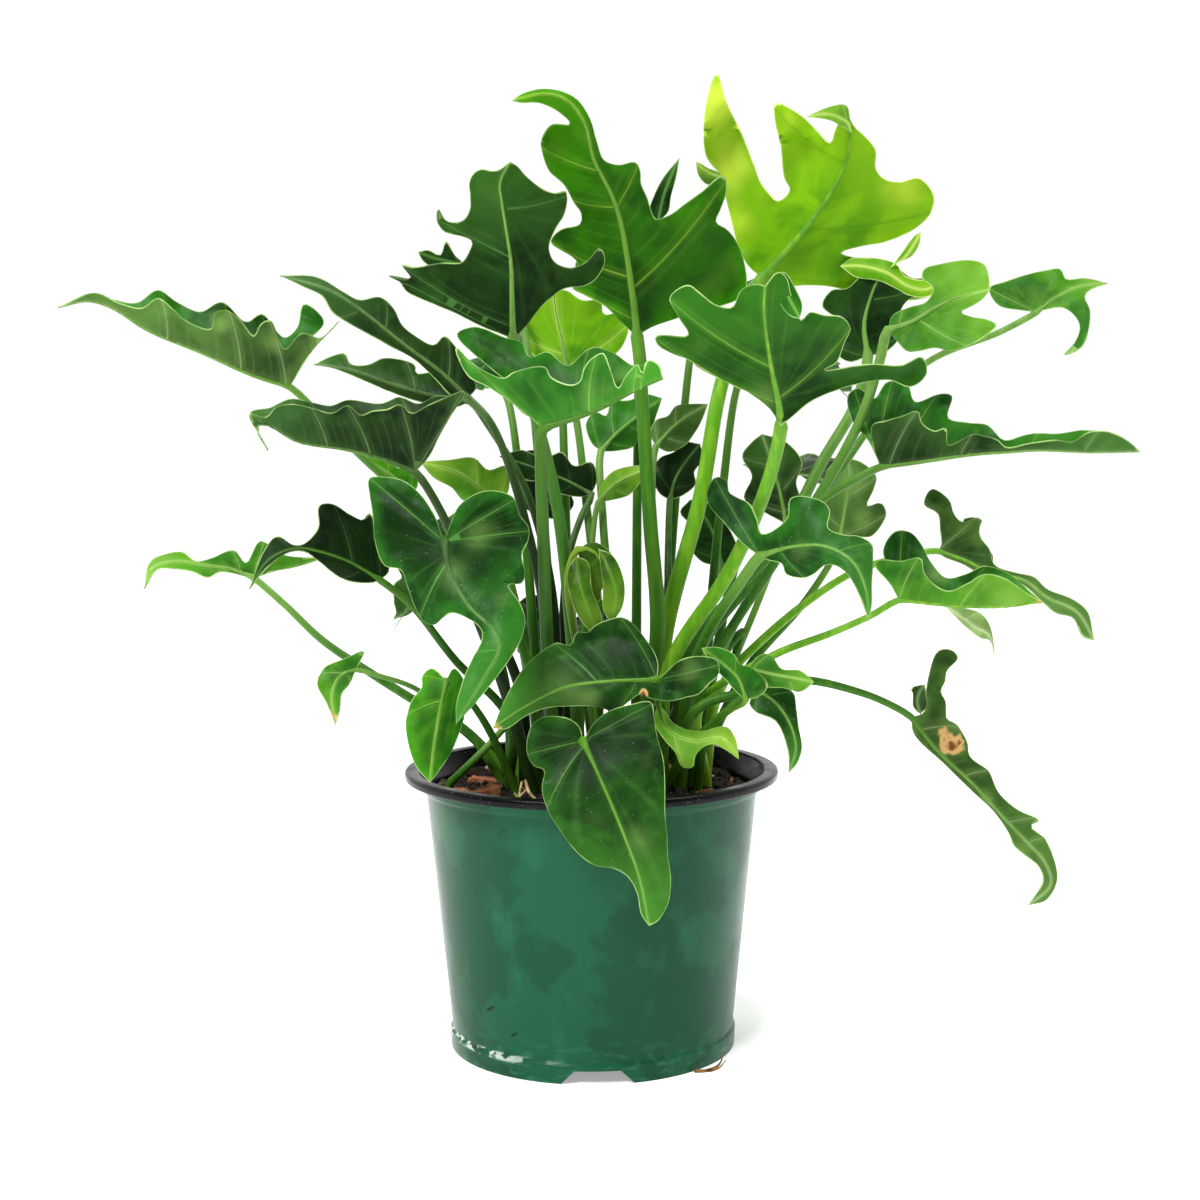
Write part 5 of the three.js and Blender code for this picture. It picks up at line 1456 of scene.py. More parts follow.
            (411, 278), (402, 264), (413, 267), (441, 263), (462, 262), (470, 250), (472, 241), (462, 236),
            (445, 232), (437, 220), (438, 209), (447, 221), (462, 221), (470, 209), (470, 195), (469, 183),
            (474, 173), (482, 169), (492, 171), (499, 170)),
        second=((521, 332), (543, 305), (564, 289), (584, 286), (596, 279), (605, 260), (600, 248),
            (586, 262), (570, 268), (555, 262), (549, 248), (555, 230), (564, 215), (567, 201), (566, 191),
            (555, 193), (543, 189), (527, 177), (517, 166)),
    ),
    LeafPlan(
        "leaf_top_centre", Tone.MEADOW, Tone.GREEN, Face.UNDER, StalkTone.FRESH, root=(23.5, 2),
        girth=(4.8, 3.7), lean=(0.3, 0.35), cup=(3, 3),
        stalk=((657, 640), (650, 520), (642, 400), (640, 360)),
        rib=((637, 336, 14), (633, 299, 6), (621, 224, -8), (612, 196, -16), (594, 160, -26),
            (584, 122, -36), (566, 100, -42), (543, 94, -46), (512, 101, -48)),
        first=((625, 326), (604, 305), (584, 295), (572, 287), (577, 262), (551, 242), (560, 230),
            (580, 224), (581, 213), (574, 203), (564, 185), (549, 171), (542, 152), (541, 142), (551, 125),
            (570, 124), (560, 113), (539, 103), (522, 103)),
        second=((650, 328), (690, 314), (744, 294), (741, 251), (728, 230), (716, 222), (721, 208),
            (726, 193), (723, 176), (700, 193), (686, 203), (670, 215), (655, 219), (652, 213), (647, 197),
            (641, 183), (640, 171), (635, 162), (619, 165), (604, 160), (597, 142), (589, 117), (574, 97),
            (545, 89), (522, 94)),
        light=((640, 318, 12, -0.6), (602, 215, 9, -0.4), (690, 215, 16, 0.4), (560, 150, 10, 0.4),
            (610, 140, 6, -0.4), (560, 95, 10, 0.2)),
    ),
    LeafPlan(
        "leaf_top_right_bright", Tone.LIME, Tone.FRESH, Face.UNDER, StalkTone.LIME, root=(38, 8.5),
        girth=(5.2, 4), lean=(0.3, 0.3), cup=(3, 3),
        stalk=((664, 640), (700, 500), (720, 390), (742, 320)),
        rib=((763, 277, 66), (786, 251, 58), (809, 224, 48), (832, 190, 36), (846, 160, 28), (850, 138, 22),
            (846, 112, 14)),
        first=((754, 272), (741, 254), (726, 199), (720, 175), (706, 156), (706, 104), (717, 74),
            (726, 101), (741, 132), (753, 162), (760, 182), (769, 193), (778, 201), (790, 190), (784, 178),
            (781, 147), (775, 120), (775, 103), (802, 116), (818, 132), (830, 143), (836, 128)),
        second=((776, 287), (808, 285), (838, 288), (866, 297), (892, 300), (914, 300), (932, 295),
            (942, 283), (940, 275), (922, 279), (905, 276), (893, 264), (874, 258), (852, 257), (841, 253),
            (862, 246), (885, 242), (913, 230), (930, 214), (934, 196), (919, 178), (900, 182), (885, 179),
            (876, 169), (876, 150), (864, 135), (854, 126)),
        light=((712, 105, 16, 1.1), (728, 165, 16, 0.9), (738, 225, 14, 0.7), (905, 190, 16, 0.5),
            (790, 118, 8, 0.4), (800, 255, 14, -0.5), (768, 200, 8, -0.4), (850, 160, 8, -0.2)),
    ),
    LeafPlan(
        "leaf_back_light", Tone.YELLOW, Tone.FRESH, Face.UPPER, StalkTone.MOSS, root=(2, 24),
        girth=(3.2, 2.2), lean=(0.3, 0.3), cup=(3, 3),
        stalk=((600, 640, 42), (586, 500, 78), (578, 430, 88)),
        rib=((566, 366, 92), (562, 340, 94), (557, 318, 94), (553, 290, 90)),
        first=((548, 364), (530, 352), (521, 334), (526, 316), (536, 312), (534, 300), (543, 294)),
        second=((592, 366), (618, 352), (629, 328), (622, 312), (604, 314), (600, 300), (582, 300),
            (566, 290)),
    ),
    LeafPlan(
        "leaf_right_centre_big", Tone.IVY, Tone.HOLLY, Face.UNDER, StalkTone.LIME, root=(38, -12.5),
        girth=(4.8, 3.6), lean=(0.3, 0.3), cup=(3, 3),
        stalk=((668, 672, -14), (730, 570, -32), (768, 482, -64)),
        rib=((781, 426, -78), (778, 401, -88), (769, 355, -104), (764, 309, -122), (765, 286, -130)),
        first=((769, 408), (746, 391), (718, 378), (686, 359), (658, 345), (656, 336), (688, 335),
            (678, 316), (670, 297), (688, 285), (700, 293), (716, 305), (732, 307), (741, 290), (756, 284)),
        second=((792, 417), (812, 401), (847, 387), (888, 380), (911, 387), (927, 373), (922, 357),
            (902, 365), (870, 364), (824, 370), (837, 362), (844, 343), (850, 327), (842, 317), (824, 315),
            (810, 312), (801, 320), (792, 298), (786, 277), (778, 272)),
        light=((820, 350, 14, -0.6), (735, 305, 8, -0.5), (765, 395, 12, 0.5), (870, 350, 10, 0.3),
            (700, 345, 8, 0.3), (770, 310, 8, -0.4)),
    ),
    LeafPlan(
        "leaf_right_dark_behind", Tone.PINE, Tone.HOLLY, Face.UNDER, StalkTone.MOSS, root=(49, 18.5),
        girth=(3.9, 3.2), lean=(0.4, 0.3), cup=(3, 3),
        stalk=((690, 650, 22), (770, 560, 34), (822, 462, 44), (856, 403, 48)),
        rib=((868, 356, 50), (864, 325, 52), (872, 293, 52), (886, 262, 48)),
        first=((850, 362), (838, 355), (834, 338), (846, 326), (822, 306), (832, 290), (847, 288),
            (865, 272)),
        second=((886, 352), (900, 336), (898, 318), (908, 300), (930, 294), (941, 277), (912, 278),
            (898, 268)),
        light=((872, 292, 14, -1.0), (900, 268, 8, 0.3)),
    ),
    LeafPlan(
        "leaf_right_upper", Tone.GRASS, Tone.GREEN, Face.UNDER, StalkTone.MOSS, root=(50, 8),
        girth=(3.4, 2.8), lean=(0.35, -0.4), cup=(3, -2),
        stalk=((700, 650, 8), (790, 540, 16), (858, 425, 6), (880, 360, -8)),
        rib=((888, 330, -18), (914, 321, -22), (941, 305, -24), (965, 296, -25), (990, 290, -26)),
        first=((892, 316), (910, 307), (926, 302), (933, 288), (922, 278), (924, 269), (941, 264),
            (970, 260), (985, 265), (989, 277)),
        second=((896, 340), (907, 351), (918, 351), (937, 348), (950, 351), (970, 345), (985, 336),
            (997, 325), (985, 319), (972, 317), (961, 312), (972, 306), (983, 299)),
    ),
    LeafPlan(
        "leaf_far_right_top", Tone.GRASS, Tone.SAGE, Face.UPPER, StalkTone.MOSS, root=(59, 13),
        girth=(3, 1.9), lean=(0.4, -0.6), cup=(2, -4),
        stalk=((722, 650, 24), (840, 470, 66), (922, 366, 76), (1000, 332, 70)),
        rib=((1037, 312, 64), (1056, 297, 63), (1080, 286, 60), (1108, 283, 56)),
        first=((1018, 310), (998, 305), (989, 288), (1004, 282), (1026, 275), (1048, 270), (1061, 269),
            (1066, 279), (1084, 278)),
        second=((1048, 309), (1063, 308), (1074, 315), (1080, 327), (1075, 342), (1064, 355), (1082, 347),
            (1089, 328), (1090, 310), (1085, 296), (1092, 289)),
        light=((1040, 300, 10, 0.4), (1085, 300, 8, -0.4)),
    ),
    LeafPlan(
        "leaf_far_right_long", Tone.SAGE_DARK, Tone.GREEN, Face.UNDER, StalkTone.MOSS, root=(55, -2),
        girth=(3.4, 2.2), lean=(-0.5, 0.6), cup=(-2, 3),
        stalk=((705, 680, -8), (770, 570, -14), (820, 502, -16), (858, 478, -10)),
        rib=((881, 467, -4), (928, 460, -8), (972, 454, -12), (1004, 452, -14), (1037, 450, -16),
            (1090, 452, -20), (1140, 451, -24)),
        first=((874, 450), (872, 425), (885, 421), (902, 416), (918, 411), (922, 423), (935, 431),
            (946, 428), (948, 445), (959, 441), (972, 434), (985, 436), (998, 440), (1006, 447),
            (1030, 443), (1058, 440), (1071, 442), (1089, 432), (1104, 431), (1124, 438)),
        second=((868, 440), (852, 421), (848, 395), (859, 388), (874, 399), (887, 382), (907, 384),
            (915, 402), (939, 394), (952, 396), (948, 418), (970, 423), (987, 425), (1004, 440),
            (1022, 436), (1037, 433), (1056, 434), (1090, 430), (1120, 438)),
    ),
    LeafPlan(
        "leaf_mid_right_behind", Tone.SAGE, Tone.GREEN, Face.UNDER, StalkTone.MOSS, root=(60, 24),
        girth=(3, 2), lean=(0.3, 0.3), cup=(2, 2),
        stalk=((748, 668), (803, 604), (834, 556)),
        rib=((840, 536, 94), (845, 508, 95), (850, 482, 94), (848, 458, 92)),
        first=((824, 528), (812, 500), (822, 484), (830, 466)),
        second=((858, 537), (872, 536), (886, 514), (881, 503), (867, 506), (874, 488), (876, 476),
            (861, 462)),
        light=((845, 480, 12, 0.7), (862, 520, 9, 0.6)),
    ),
    LeafPlan(
        "leaf_front_right", Tone.HEART, Tone.SAGE, Face.UPPER, StalkTone.MOSS, root=(49.5, -12),
        girth=(3.6, 3), lean=(0.5, -0.4), cup=(3, 0),
        stalk=((686, 702, -16), (704, 640, -42), (742, 580, -72)),
        rib=((760, 556, -78), (790, 547, -92), (825, 546, -104), (853, 562, -114), (866, 590, -120),
            (869, 621, -122)),
        first=((743, 544), (729, 528), (716, 514), (709, 505), (707, 492), (716, 477), (727, 481),
            (729, 492), (738, 498), (749, 503), (757, 519), (762, 534), (787, 519), (790, 499), (801, 496),
            (823, 502), (830, 511), (828, 528), (844, 535), (858, 536), (872, 544), (873, 556), (872, 583),
            (872, 604)),
        second=((768, 560), (782, 564), (786, 574), (803, 578), (814, 574), (825, 565), (839, 567),
            (850, 578), (861, 600)),
        light=((770, 560, 8, -0.6), (800, 548, 10, 0.4), (835, 600, 8, -0.3)),
    ),
    LeafPlan(
        "leaf_right_low", Tone.GRASS, Tone.GREEN, Face.UNDER, StalkTone.LIME, root=(64.5, -7.5),
        girth=(3, 1.9), lean=(-0.4, 0.9), cup=(0, 4),
        stalk=((700, 706), (770, 657), (834, 632), (872, 615)),
        rib=((899, 600, -36), (930, 603, -40), (962, 606, -44), (1000, 607, -48), (1042, 602, -52)),
        first=((890, 584), (875, 566), (877, 560), (900, 561), (921, 558), (924, 572), (935, 585),
            (949, 591), (968, 583), (984, 574), (1004, 578), (1024, 591)),
        second=((892, 574), (883, 552), (894, 532), (910, 532), (921, 544), (930, 561), (946, 578),
            (966, 574), (984, 566), (1006, 572), (1028, 590)),
        scorch=((1042, 602, 5, 0.5),),
        light=((940, 575, 10, 0.6), (1010, 600, 8, 0.5), (975, 560, 6, -0.4)),
    ),
    LeafPlan(
        "leaf_right_outer", Tone.SAGE, Tone.GREEN, Face.UNDER, StalkTone.LIME, root=(64.5, 3.5),
        girth=(3, 1.9), lean=(0.4, -1), cup=(2, -2),
        stalk=((720, 690), (762, 640), (850, 574), (910, 555)),
        rib=((937, 551, 20), (962, 560, 18), (990, 573, 14), (1024, 581, 10), (1047, 598, 6),
            (1076, 612, 2), (1094, 641, -2)),
        first=((941, 546), (940, 530), (938, 514), (924, 504), (932, 489), (949, 500), (954, 514),
            (962, 522), (979, 518), (980, 536), (990, 550), (995, 565), (1017, 573), (1034, 577),
            (1047, 589), (1072, 599), (1087, 611)),
        second=((944, 557), (962, 564), (988, 578), (1022, 585), (1042, 602), (1056, 613), (1073, 618),
            (1082, 636)),
    ),
    LeafPlan(
        "leaf_far_right_drooping", Tone.SAGE, Tone.GREEN, Face.UNDER, StalkTone.MOSS, root=(49, -22.5),
        girth=(3.4, 2), lean=(0.5, -0.6), cup=(2, -2),
        stalk=((694, 712), (745, 692), (800, 680), (862, 693), (893, 706)),
        rib=((911, 717, -30), (934, 748, -32), (975, 787, -34), (1004, 819, -35), (1026, 842, -35),
            (1044, 862, -35), (1050, 884, -34), (1028, 905, -32)),
        first=((924, 712), (926, 690), (938, 651), (952, 650), (958, 658), (947, 671), (945, 682),
            (941, 691), (946, 702), (947, 719), (956, 724), (967, 741), (970, 756), (989, 772), (999, 793),
            (1017, 809), (1039, 821), (1031, 826), (1045, 839), (1053, 856), (1057, 880), (1046, 900)),
        second=((914, 734), (944, 764), (976, 795), (993, 811), (1008, 832), (1014, 846), (1026, 856),
            (1038, 866), (1043, 880)),
        scorch=((952, 744, 6, 1.0), (943, 732, 4, 0.5)),
        light=((985, 800, 6, 0.6), (1020, 850, 6, 0.5), (935, 715, 5, -0.6), (965, 765, 5, -0.4)),
    ),
    LeafPlan(
        "leaf_right_lower_dark", Tone.HOLLY, Tone.SAGE, Face.UPPER, StalkTone.MOSS, root=(59, -17),
        girth=(2.8, 1.9), lean=(-0.4, 0.4), cup=(0, 2),
        stalk=((706, 735, -26), (736, 703, -40)),
        rib=((757, 690, -46), (776, 703, -50), (790, 724, -54), (796, 748, -56), (789, 773, -56)),
        first=((749, 703), (756, 712), (774, 720), (781, 730), (788, 752)),
        second=((766, 684), (793, 692), (796, 707), (799, 728), (802, 748), (797, 764)),
    ),
    LeafPlan(
        "leaf_small_folded", Tone.GREEN, Tone.SAGE, Face.UPPER, StalkTone.FRESH, root=(39, -25),
        girth=(2.6, 1.8), lean=(0.4, -0.4), cup=(0, 0),
        stalk=((700, 735), (730, 710)),
        rib=((746, 700, -72), (738, 678, -76), (722, 663, -80), (702, 648, -84)),
        first=((758, 697), (768, 686), (752, 668), (740, 664), (735, 655), (717, 647)),
        second=((736, 692), (722, 676), (712, 666)),
        scorch=((768, 684, 3, 0.4),),
    ),
    LeafPlan(
        "leaf_young_drooping", Tone.YOUNG, Tone.YOUNG, Face.UPPER, StalkTone.OLIVE, root=(6, -25),
        girth=(3.2, 2), lean=(0.3, 0.5), cup=(0, 0),
        stalk=((590, 700, -28), (572, 620, -34), (568, 575, -38)),
        rib=((578, 549, -40), (590, 549, -42), (601, 560, -43), (607, 576, -43), (612, 596, -42)),
        first=((579, 560), (575, 580), (583, 604), (588, 584), (592, 602), (601, 600), (602, 588)),
        second=((592, 542), (606, 548), (616, 562), (617, 580)),
    ),
    LeafPlan(
        "leaf_inner_bright", Tone.GREEN, Tone.FRESH, Face.UNDER, StalkTone.MOSS, root=(12, 14),
        girth=(3.2, 2.2), lean=(0.4, 0.4), cup=(2, 2),
        stalk=((612, 640), (603, 520)),
        rib=((601, 451, 62), (616, 434, 64), (638, 416, 66), (662, 398, 66)),
        first=((592, 444), (586, 424), (596, 412), (606, 416), (612, 402), (630, 400), (644, 394)),
        second=((616, 451), (634, 446), (640, 432), (650, 432), (656, 416)),
    ),
    LeafPlan(
        "leaf_inner_dark", Tone.BOTTLE, Tone.HOLLY, Face.UPPER, StalkTone.DARK, root=(-20, 18),
        girth=(3, 2), lean=(0.5, -0.3), cup=(2, 0),
        stalk=((562, 640, 33), (568, 560, 44), (582, 515, 54)),
        rib=((592, 494, 60), (566, 480, 60), (536, 468, 56), (500, 456, 50)),
        first=((597, 480), (592, 462), (574, 466), (562, 452), (544, 458), (522, 450)),
        second=((580, 497), (556, 492), (546, 482), (526, 480), (512, 466)),
    ),
    LeafPlan(
        "leaf_inner_right_pale", Tone.SAGE, Tone.GREEN, Face.UNDER, StalkTone.MOSS, root=(28, 17),
        girth=(3, 2), lean=(0.3, 0.3), cup=(2, 2),
        stalk=((654, 640), (652, 520)),
        rib=((656, 446, 64), (668, 432, 64), (684, 418, 64), (708, 404, 62)),
        first=((650, 434), (656, 420), (668, 416), (676, 406), (692, 404)),
        second=((668, 452), (684, 446), (694, 434), (702, 420)),
    ),
    LeafPlan(
        "leaf_inner_right_dark", Tone.BOTTLE, Tone.HOLLY, Face.UPPER, StalkTone.DARK, root=(39, 20.5),
        girth=(3, 2), lean=(0.3, 0.3), cup=(2, 2),
        stalk=((668, 640), (668, 560)),
        rib=((670, 500, 72), (674, 482, 72), (684, 464, 72), (700, 444, 70)),
        first=((660, 494), (652, 474), (660, 458), (674, 452), (684, 442)),
        second=((682, 496), (696, 484), (694, 472), (704, 458)),
    ),
    LeafPlan(
        "leaf_behind_heart_light", Tone.SPRING, Tone.SAGE, Face.UNDER, StalkTone.MOSS, root=(-41, 12),
        girth=(2.8, 1.9), lean=(0.4, -0.3), cup=(2, 0),
        stalk=((526, 660), (506, 560)),
        rib=((496, 506, 70), (480, 488, 70), (460, 474, 68), (420, 462, 64)),
        first=((508, 492), (506, 466), (488, 470), (474, 458), (448, 460)),
        second=((482, 510), (462, 500), (452, 488), (434, 478)),
    ),
    LeafPlan(
        "leaf_left_bright_behind", Tone.FRESH, Tone.SAGE, Face.UPPER, StalkTone.MOSS, root=(-46, 20.5),
        girth=(2.8, 1.8), lean=(0.4, -0.3), cup=(2, 0),
        stalk=((500, 660), (440, 560)),
        rib=((412, 496, 20), (400, 482, 20), (384, 470, 18), (362, 458, 16)),
        first=((418, 484), (410, 466), (398, 468), (388, 456), (374, 454)),
        second=((398, 494), (386, 484), (374, 472)),
    ),
)

# Small curled lobes and torn tips beside the leaves, and small leaves deep in the plant
FOLDS: tuple[LeafPlan, ...] = (
    LeafPlan(
        "fold_bright_tip", Tone.SPRING, Tone.MEADOW, Face.UPPER, StalkTone.LIME,
        rib=((852, 133, 18), (847, 122, 14), (828, 114, 10), (806, 117, 6)),
        first=((850, 119), (846, 105), (826, 108)),
        second=((842, 127), (832, 121), (818, 118)),
    ),
    LeafPlan(
        "fold_bright_curl", Tone.YELLOW, Tone.MEADOW, Face.UPPER, StalkTone.LIME,
        rib=((890, 268, 43), (905, 257, 41), (913, 246, 38), (921, 232, 36)),
        first=((902, 252), (910, 241), (916, 234)),
        second=((900, 262), (912, 256), (920, 242)),
    ),
    LeafPlan(
        "fold_bright_hook", Tone.SPRING, Tone.YELLOW, Face.UPPER, StalkTone.LIME,
        rib=((726, 178, 38), (712, 174, 34), (702, 168, 30), (696, 162, 28)),
        first=((716, 184), (706, 184), (698, 174)),
        second=((718, 172), (708, 168), (700, 163)),
    ),
    LeafPlan(
        "fold_back_spear", Tone.HOLLY, Tone.SAGE, Face.UPPER, StalkTone.MOSS,
        rib=((658, 222, 70), (663, 198, 68), (671, 176, 66), (680, 157, 64)),
        first=((650, 210), (654, 196), (663, 178)),
        second=((668, 212), (671, 196), (676, 178)),
    ),
    LeafPlan(
        "fold_dark_crest", Tone.PINE, Tone.SAGE, Face.UPPER, StalkTone.DARK,
        rib=((470, 268, 6), (452, 262, 4), (434, 258, 2), (418, 252, 0)),
        first=((456, 256), (446, 241), (440, 255), (428, 250)),
        second=((456, 270), (434, 268), (422, 260)),
    ),
    LeafPlan(
        "fold_low_lobe", Tone.SAGE_PALE, Tone.GRASS, Face.UNDER, StalkTone.MOSS,
        rib=((941, 602, -34), (958, 614, -30), (976, 627, -28), (988, 634, -27), (994, 656, -26)),
        first=((960, 607), (980, 613), (989, 624), (993, 640)),
        second=((954, 615), (966, 627), (981, 638), (990, 640)),
    ),
    LeafPlan(
        "fold_droop_ear", Tone.PINE_UNDER, Tone.SAGE, Face.UNDER, StalkTone.MOSS,
        rib=((920, 714, -34), (917, 700, -36), (920, 690, -38), (925, 684, -40)),
        first=((913, 706), (913, 694), (911, 688)),
        second=((927, 706), (926, 694)),
    ),
    LeafPlan(
        "fold_outer_back", Tone.HOLLY, Tone.SAGE, Face.UPPER, StalkTone.MOSS,
        rib=((992, 568, 26), (978, 548, 30), (972, 532, 32), (972, 517, 34)),
        first=((978, 560), (966, 548), (966, 532), (963, 520)),
        second=((993, 556), (984, 544), (979, 530), (982, 520)),
    ),
    LeafPlan(
        "fold_low_scrap", Tone.GRASS, Tone.SAGE, Face.UPPER, StalkTone.MOSS,
        rib=((748, 668, -60), (772, 674, -62), (795, 678, -62), (814, 682, -60)),
        first=((758, 656), (770, 654), (782, 669), (799, 670), (808, 676)),
        second=((764, 686), (784, 688), (799, 692), (810, 686)),
    ),
    LeafPlan(
        "fold_young_left", Tone.YOUNG, Tone.SPRING, Face.UPPER, StalkTone.OLIVE,
        rib=((576, 556, -44), (580, 585, -52), (590, 615, -54), (600, 640, -54)),
        first=((568, 570), (570, 596), (582, 622)),
        second=((588, 562), (592, 590), (602, 618)),
    ),
    LeafPlan(
        "fold_young_right", Tone.YOUNG, Tone.SPRING, Face.UPPER, StalkTone.OLIVE,
        rib=((598, 548, -42), (610, 572, -50), (616, 596, -52), (611, 624, -52)),
        first=((600, 562), (603, 585), (603, 608)),
        second=((613, 556), (624, 582), (622, 608)),
    ),
    LeafPlan(
        "inner_behind_right", Tone.SAGE_DARK, Tone.GREEN, Face.UNDER, StalkTone.MOSS, root=(30, 24),
        girth=(3, 2),
        rib=((786, 524, 66), (780, 492, 68), (770, 458, 66), (762, 434, 62)),
        first=((764, 512), (744, 498), (752, 476), (742, 456), (752, 442)),
        second=((800, 500), (796, 482), (802, 462), (786, 442)),
        stalk=((742, 632), (700, 740)),
    ),
    LeafPlan(
        "inner_pale_fold", Tone.SPRING, Tone.SAGE_PALE, Face.UNDER, StalkTone.MOSS, root=(-8, 14),
        girth=(2.6, 1.6),
        rib=((598, 502, 40), (616, 484, 40), (636, 474, 38), (652, 466, 36)),
        first=((600, 488), (612, 472), (632, 466)),
        second=((612, 500), (630, 494), (642, 480)),
        stalk=((588, 560), (586, 660)),
    ),
    LeafPlan(
        "inner_dark_lobes", Tone.BOTTLE, Tone.PINE, Face.UPPER, StalkTone.DARK, root=(-14, 34),
        girth=(2.8, 1.8),
        rib=((560, 520, 84), (548, 498, 84), (536, 474, 82), (522, 452, 80)),
        first=((540, 516), (524, 506), (528, 488), (510, 476), (512, 458)),
        second=((574, 504), (566, 488), (556, 478), (546, 458), (534, 450)),
        stalk=((566, 600), (572, 700)),
    ),
    LeafPlan(
        "inner_dark_right", Tone.PINE, Tone.HOLLY, Face.UPPER, StalkTone.DARK, root=(24, 36),
        girth=(2.8, 1.8),
        rib=((722, 566, 80), (716, 540, 82), (704, 516, 82), (690, 500, 80)),
        first=((702, 562), (690, 546), (694, 530), (680, 512)),
        second=((738, 556), (732, 534), (722, 520), (706, 502)),
        stalk=((690, 640), (662, 730)),
    ),
    LeafPlan(
        "fold_bright_lobe", Tone.YELLOW, Tone.MEADOW, Face.UPPER, StalkTone.LIME,
        rib=((840, 266, 60), (862, 266, 52), (888, 273, 43), (908, 286, 42), (928, 289, 42),
            (942, 277, 41)),
        first=((852, 258), (866, 258), (882, 259), (896, 264), (905, 276), (922, 280), (936, 275)),
        second=((856, 277), (880, 281), (897, 289), (908, 295), (927, 297), (940, 288)),
    ),
    LeafPlan(
        "fold_centre_crest", Tone.GREEN, Tone.CUP, Face.UPPER, StalkTone.LIME,
        rib=((770, 290, -118), (782, 284, -122), (790, 300, -122), (800, 318, -120)),
        first=((774, 278), (784, 272), (796, 290), (802, 306)),
        second=((772, 300), (778, 300), (784, 310), (794, 318)),
    ),
)

FAR_LEAVES: tuple[FarPlan, ...] = (
    FarPlan(
        "leaf_far_side_1", root=(-28, 34), compass=120, reach=116, rise=372, length=88, droop=-14, roll=-6,
    ),
    FarPlan(
        "leaf_far_side_2", root=(-18, 32), compass=114, reach=124, rise=422, length=100, droop=-20, roll=6,
    ),
    FarPlan(
        "leaf_far_side_3", root=(-12, 44), compass=99, reach=134, rise=402, length=90, droop=2, roll=-4,
    ),
    FarPlan(
        "leaf_far_side_4", root=(26, 60), compass=77, reach=142, rise=440, length=104, droop=-20, roll=8,
    ),
    FarPlan(
        "leaf_far_side_5", root=(38, 61), compass=56, reach=138, rise=424, length=90, droop=-10, roll=-6,
    ),
    FarPlan(
        "leaf_far_side_6", root=(62, 40), compass=39, reach=128, rise=384, length=84, droop=4, roll=6,
    ),
    FarPlan(
        "leaf_far_side_7", root=(2, 58), compass=103, reach=72, rise=230, length=80, droop=38, roll=4,
    ),
    FarPlan(
        "leaf_far_side_8", root=(51, 64), compass=62, reach=92, rise=206, length=78, droop=38, roll=-6,
    ),
    FarPlan(
        "leaf_far_side_9", root=(-28, 46), compass=138, reach=92, rise=280, length=84, droop=30, roll=8,
    ),
    FarPlan(
        "leaf_far_side_10", root=(61, 50), compass=46, reach=178, rise=318, length=72, droop=10, roll=-8,
    ),
)


# The pot


@dataclass(frozen=True)
class PotFinish(Finish):
    """The pot's green wall: soft mottling, scuffs on the skirt's step and a few nicks."""

    name: str = "pot_green"
    body: int = 0x135236
    deep: int = 0x0F462D
    worn: int = 0x3A8464
    chalk: int = 0xC9D2C6
    nick: int = 0x0A140E
    nicks: tuple[tuple[float, float, float], ...] = ((-55.0, 36.0, 4.0), (-42.0, 24.0, 3.2))
    nick_fade: tuple[float, float] = (20.0, 10.0)
    coat_weight: float = 0.5
    coat_roughness: float = 0.12
    coat_ior: float = 1.18
    specular: float = 0.08

    def make(self) -> bpy.types.Material:
        """Builds the material from patches, fine grain and marks at measured places."""
        shade = Shade(self.name)
        wide = shade.cloud(19.0, 9.0)
        colour = shade.blend(shade.span(wide, 0.48, 0.53), self.body, self.deep)
        streaks = shade.cloud(42.0, 9.0, (1.0, 1.0, 0.6))
        colour = shade.blend(shade.span(streaks, 0.54, 0.62, 0.0, 0.1), colour, self.worn)
        grain = shade.cloud(900.0, 2.0)
        colour = shade.blend(shade.span(grain, 0.4, 0.7, 0.0, 0.25), colour, self.deep)
        height = shade.part_of_place("Z")
        for turn, high, reach in self.nicks:
            gap = shade.sums("SUBTRACT", shade.part_of_place("X"), (AXIS[0] + turn) * MM)
            drop = shade.sums("SUBTRACT", height, high * MM)
            slant = shade.sums("MULTIPLY_ADD", gap, -0.7, drop)
            thin = shade.sums("MULTIPLY", shade.sums("ABSOLUTE", slant), 2.6)
            far = shade.sums("ADD", shade.sums("ABSOLUTE", gap), thin)
            near = [(AXIS[1] - reach_back) * MM for reach_back in self.nick_fade]
            front = shade.span(shade.part_of_place("Y"), *near, 1.0, 0.0)
            mark = shade.sums("MULTIPLY", shade.span(far, reach * 0.5 * MM, reach * MM, 0.9, 0.0), front)
            colour = shade.blend(mark, colour, self.nick)
        step = shade.sums("ABSOLUTE", shade.sums("SUBTRACT", height, 10.4 * MM))
        front = shade.span(shade.part_of_place("X"), AXIS[0] * MM - 0.01, AXIS[0] * MM - 0.06)
        chips = shade.cloud(120.0, 4.0, (1.0, 1.0, 2.4))
        scuffs = shade.sums("MULTIPLY", shade.span(step, 0.9 * MM, 2.6 * MM, 1.0, 0.0), front)
        scuffs = shade.sums("MULTIPLY", scuffs, shade.span(chips, 0.47, 0.56))
        colour = shade.blend(scuffs, colour, self.chalk)
        low = shade.span(height, 3.0 * MM, 30.0 * MM, 0.35, 0.0)
        colour = shade.blend(shade.sums("MULTIPLY", low, shade.span(chips, 0.5, 0.7)), colour, self.worn)
        shade.relief(grain, 0.25, 0.3)
        coat = {"Weight": self.coat_weight, "Roughness": self.coat_roughness, "IOR": self.coat_ior}
        for key, number in coat.items():
            shade.surface.inputs["Coat " + key].default_value = number
        return shade.finish(colour, shade.span(wide, 0.35, 0.65, 0.34, 0.46), self.specular)


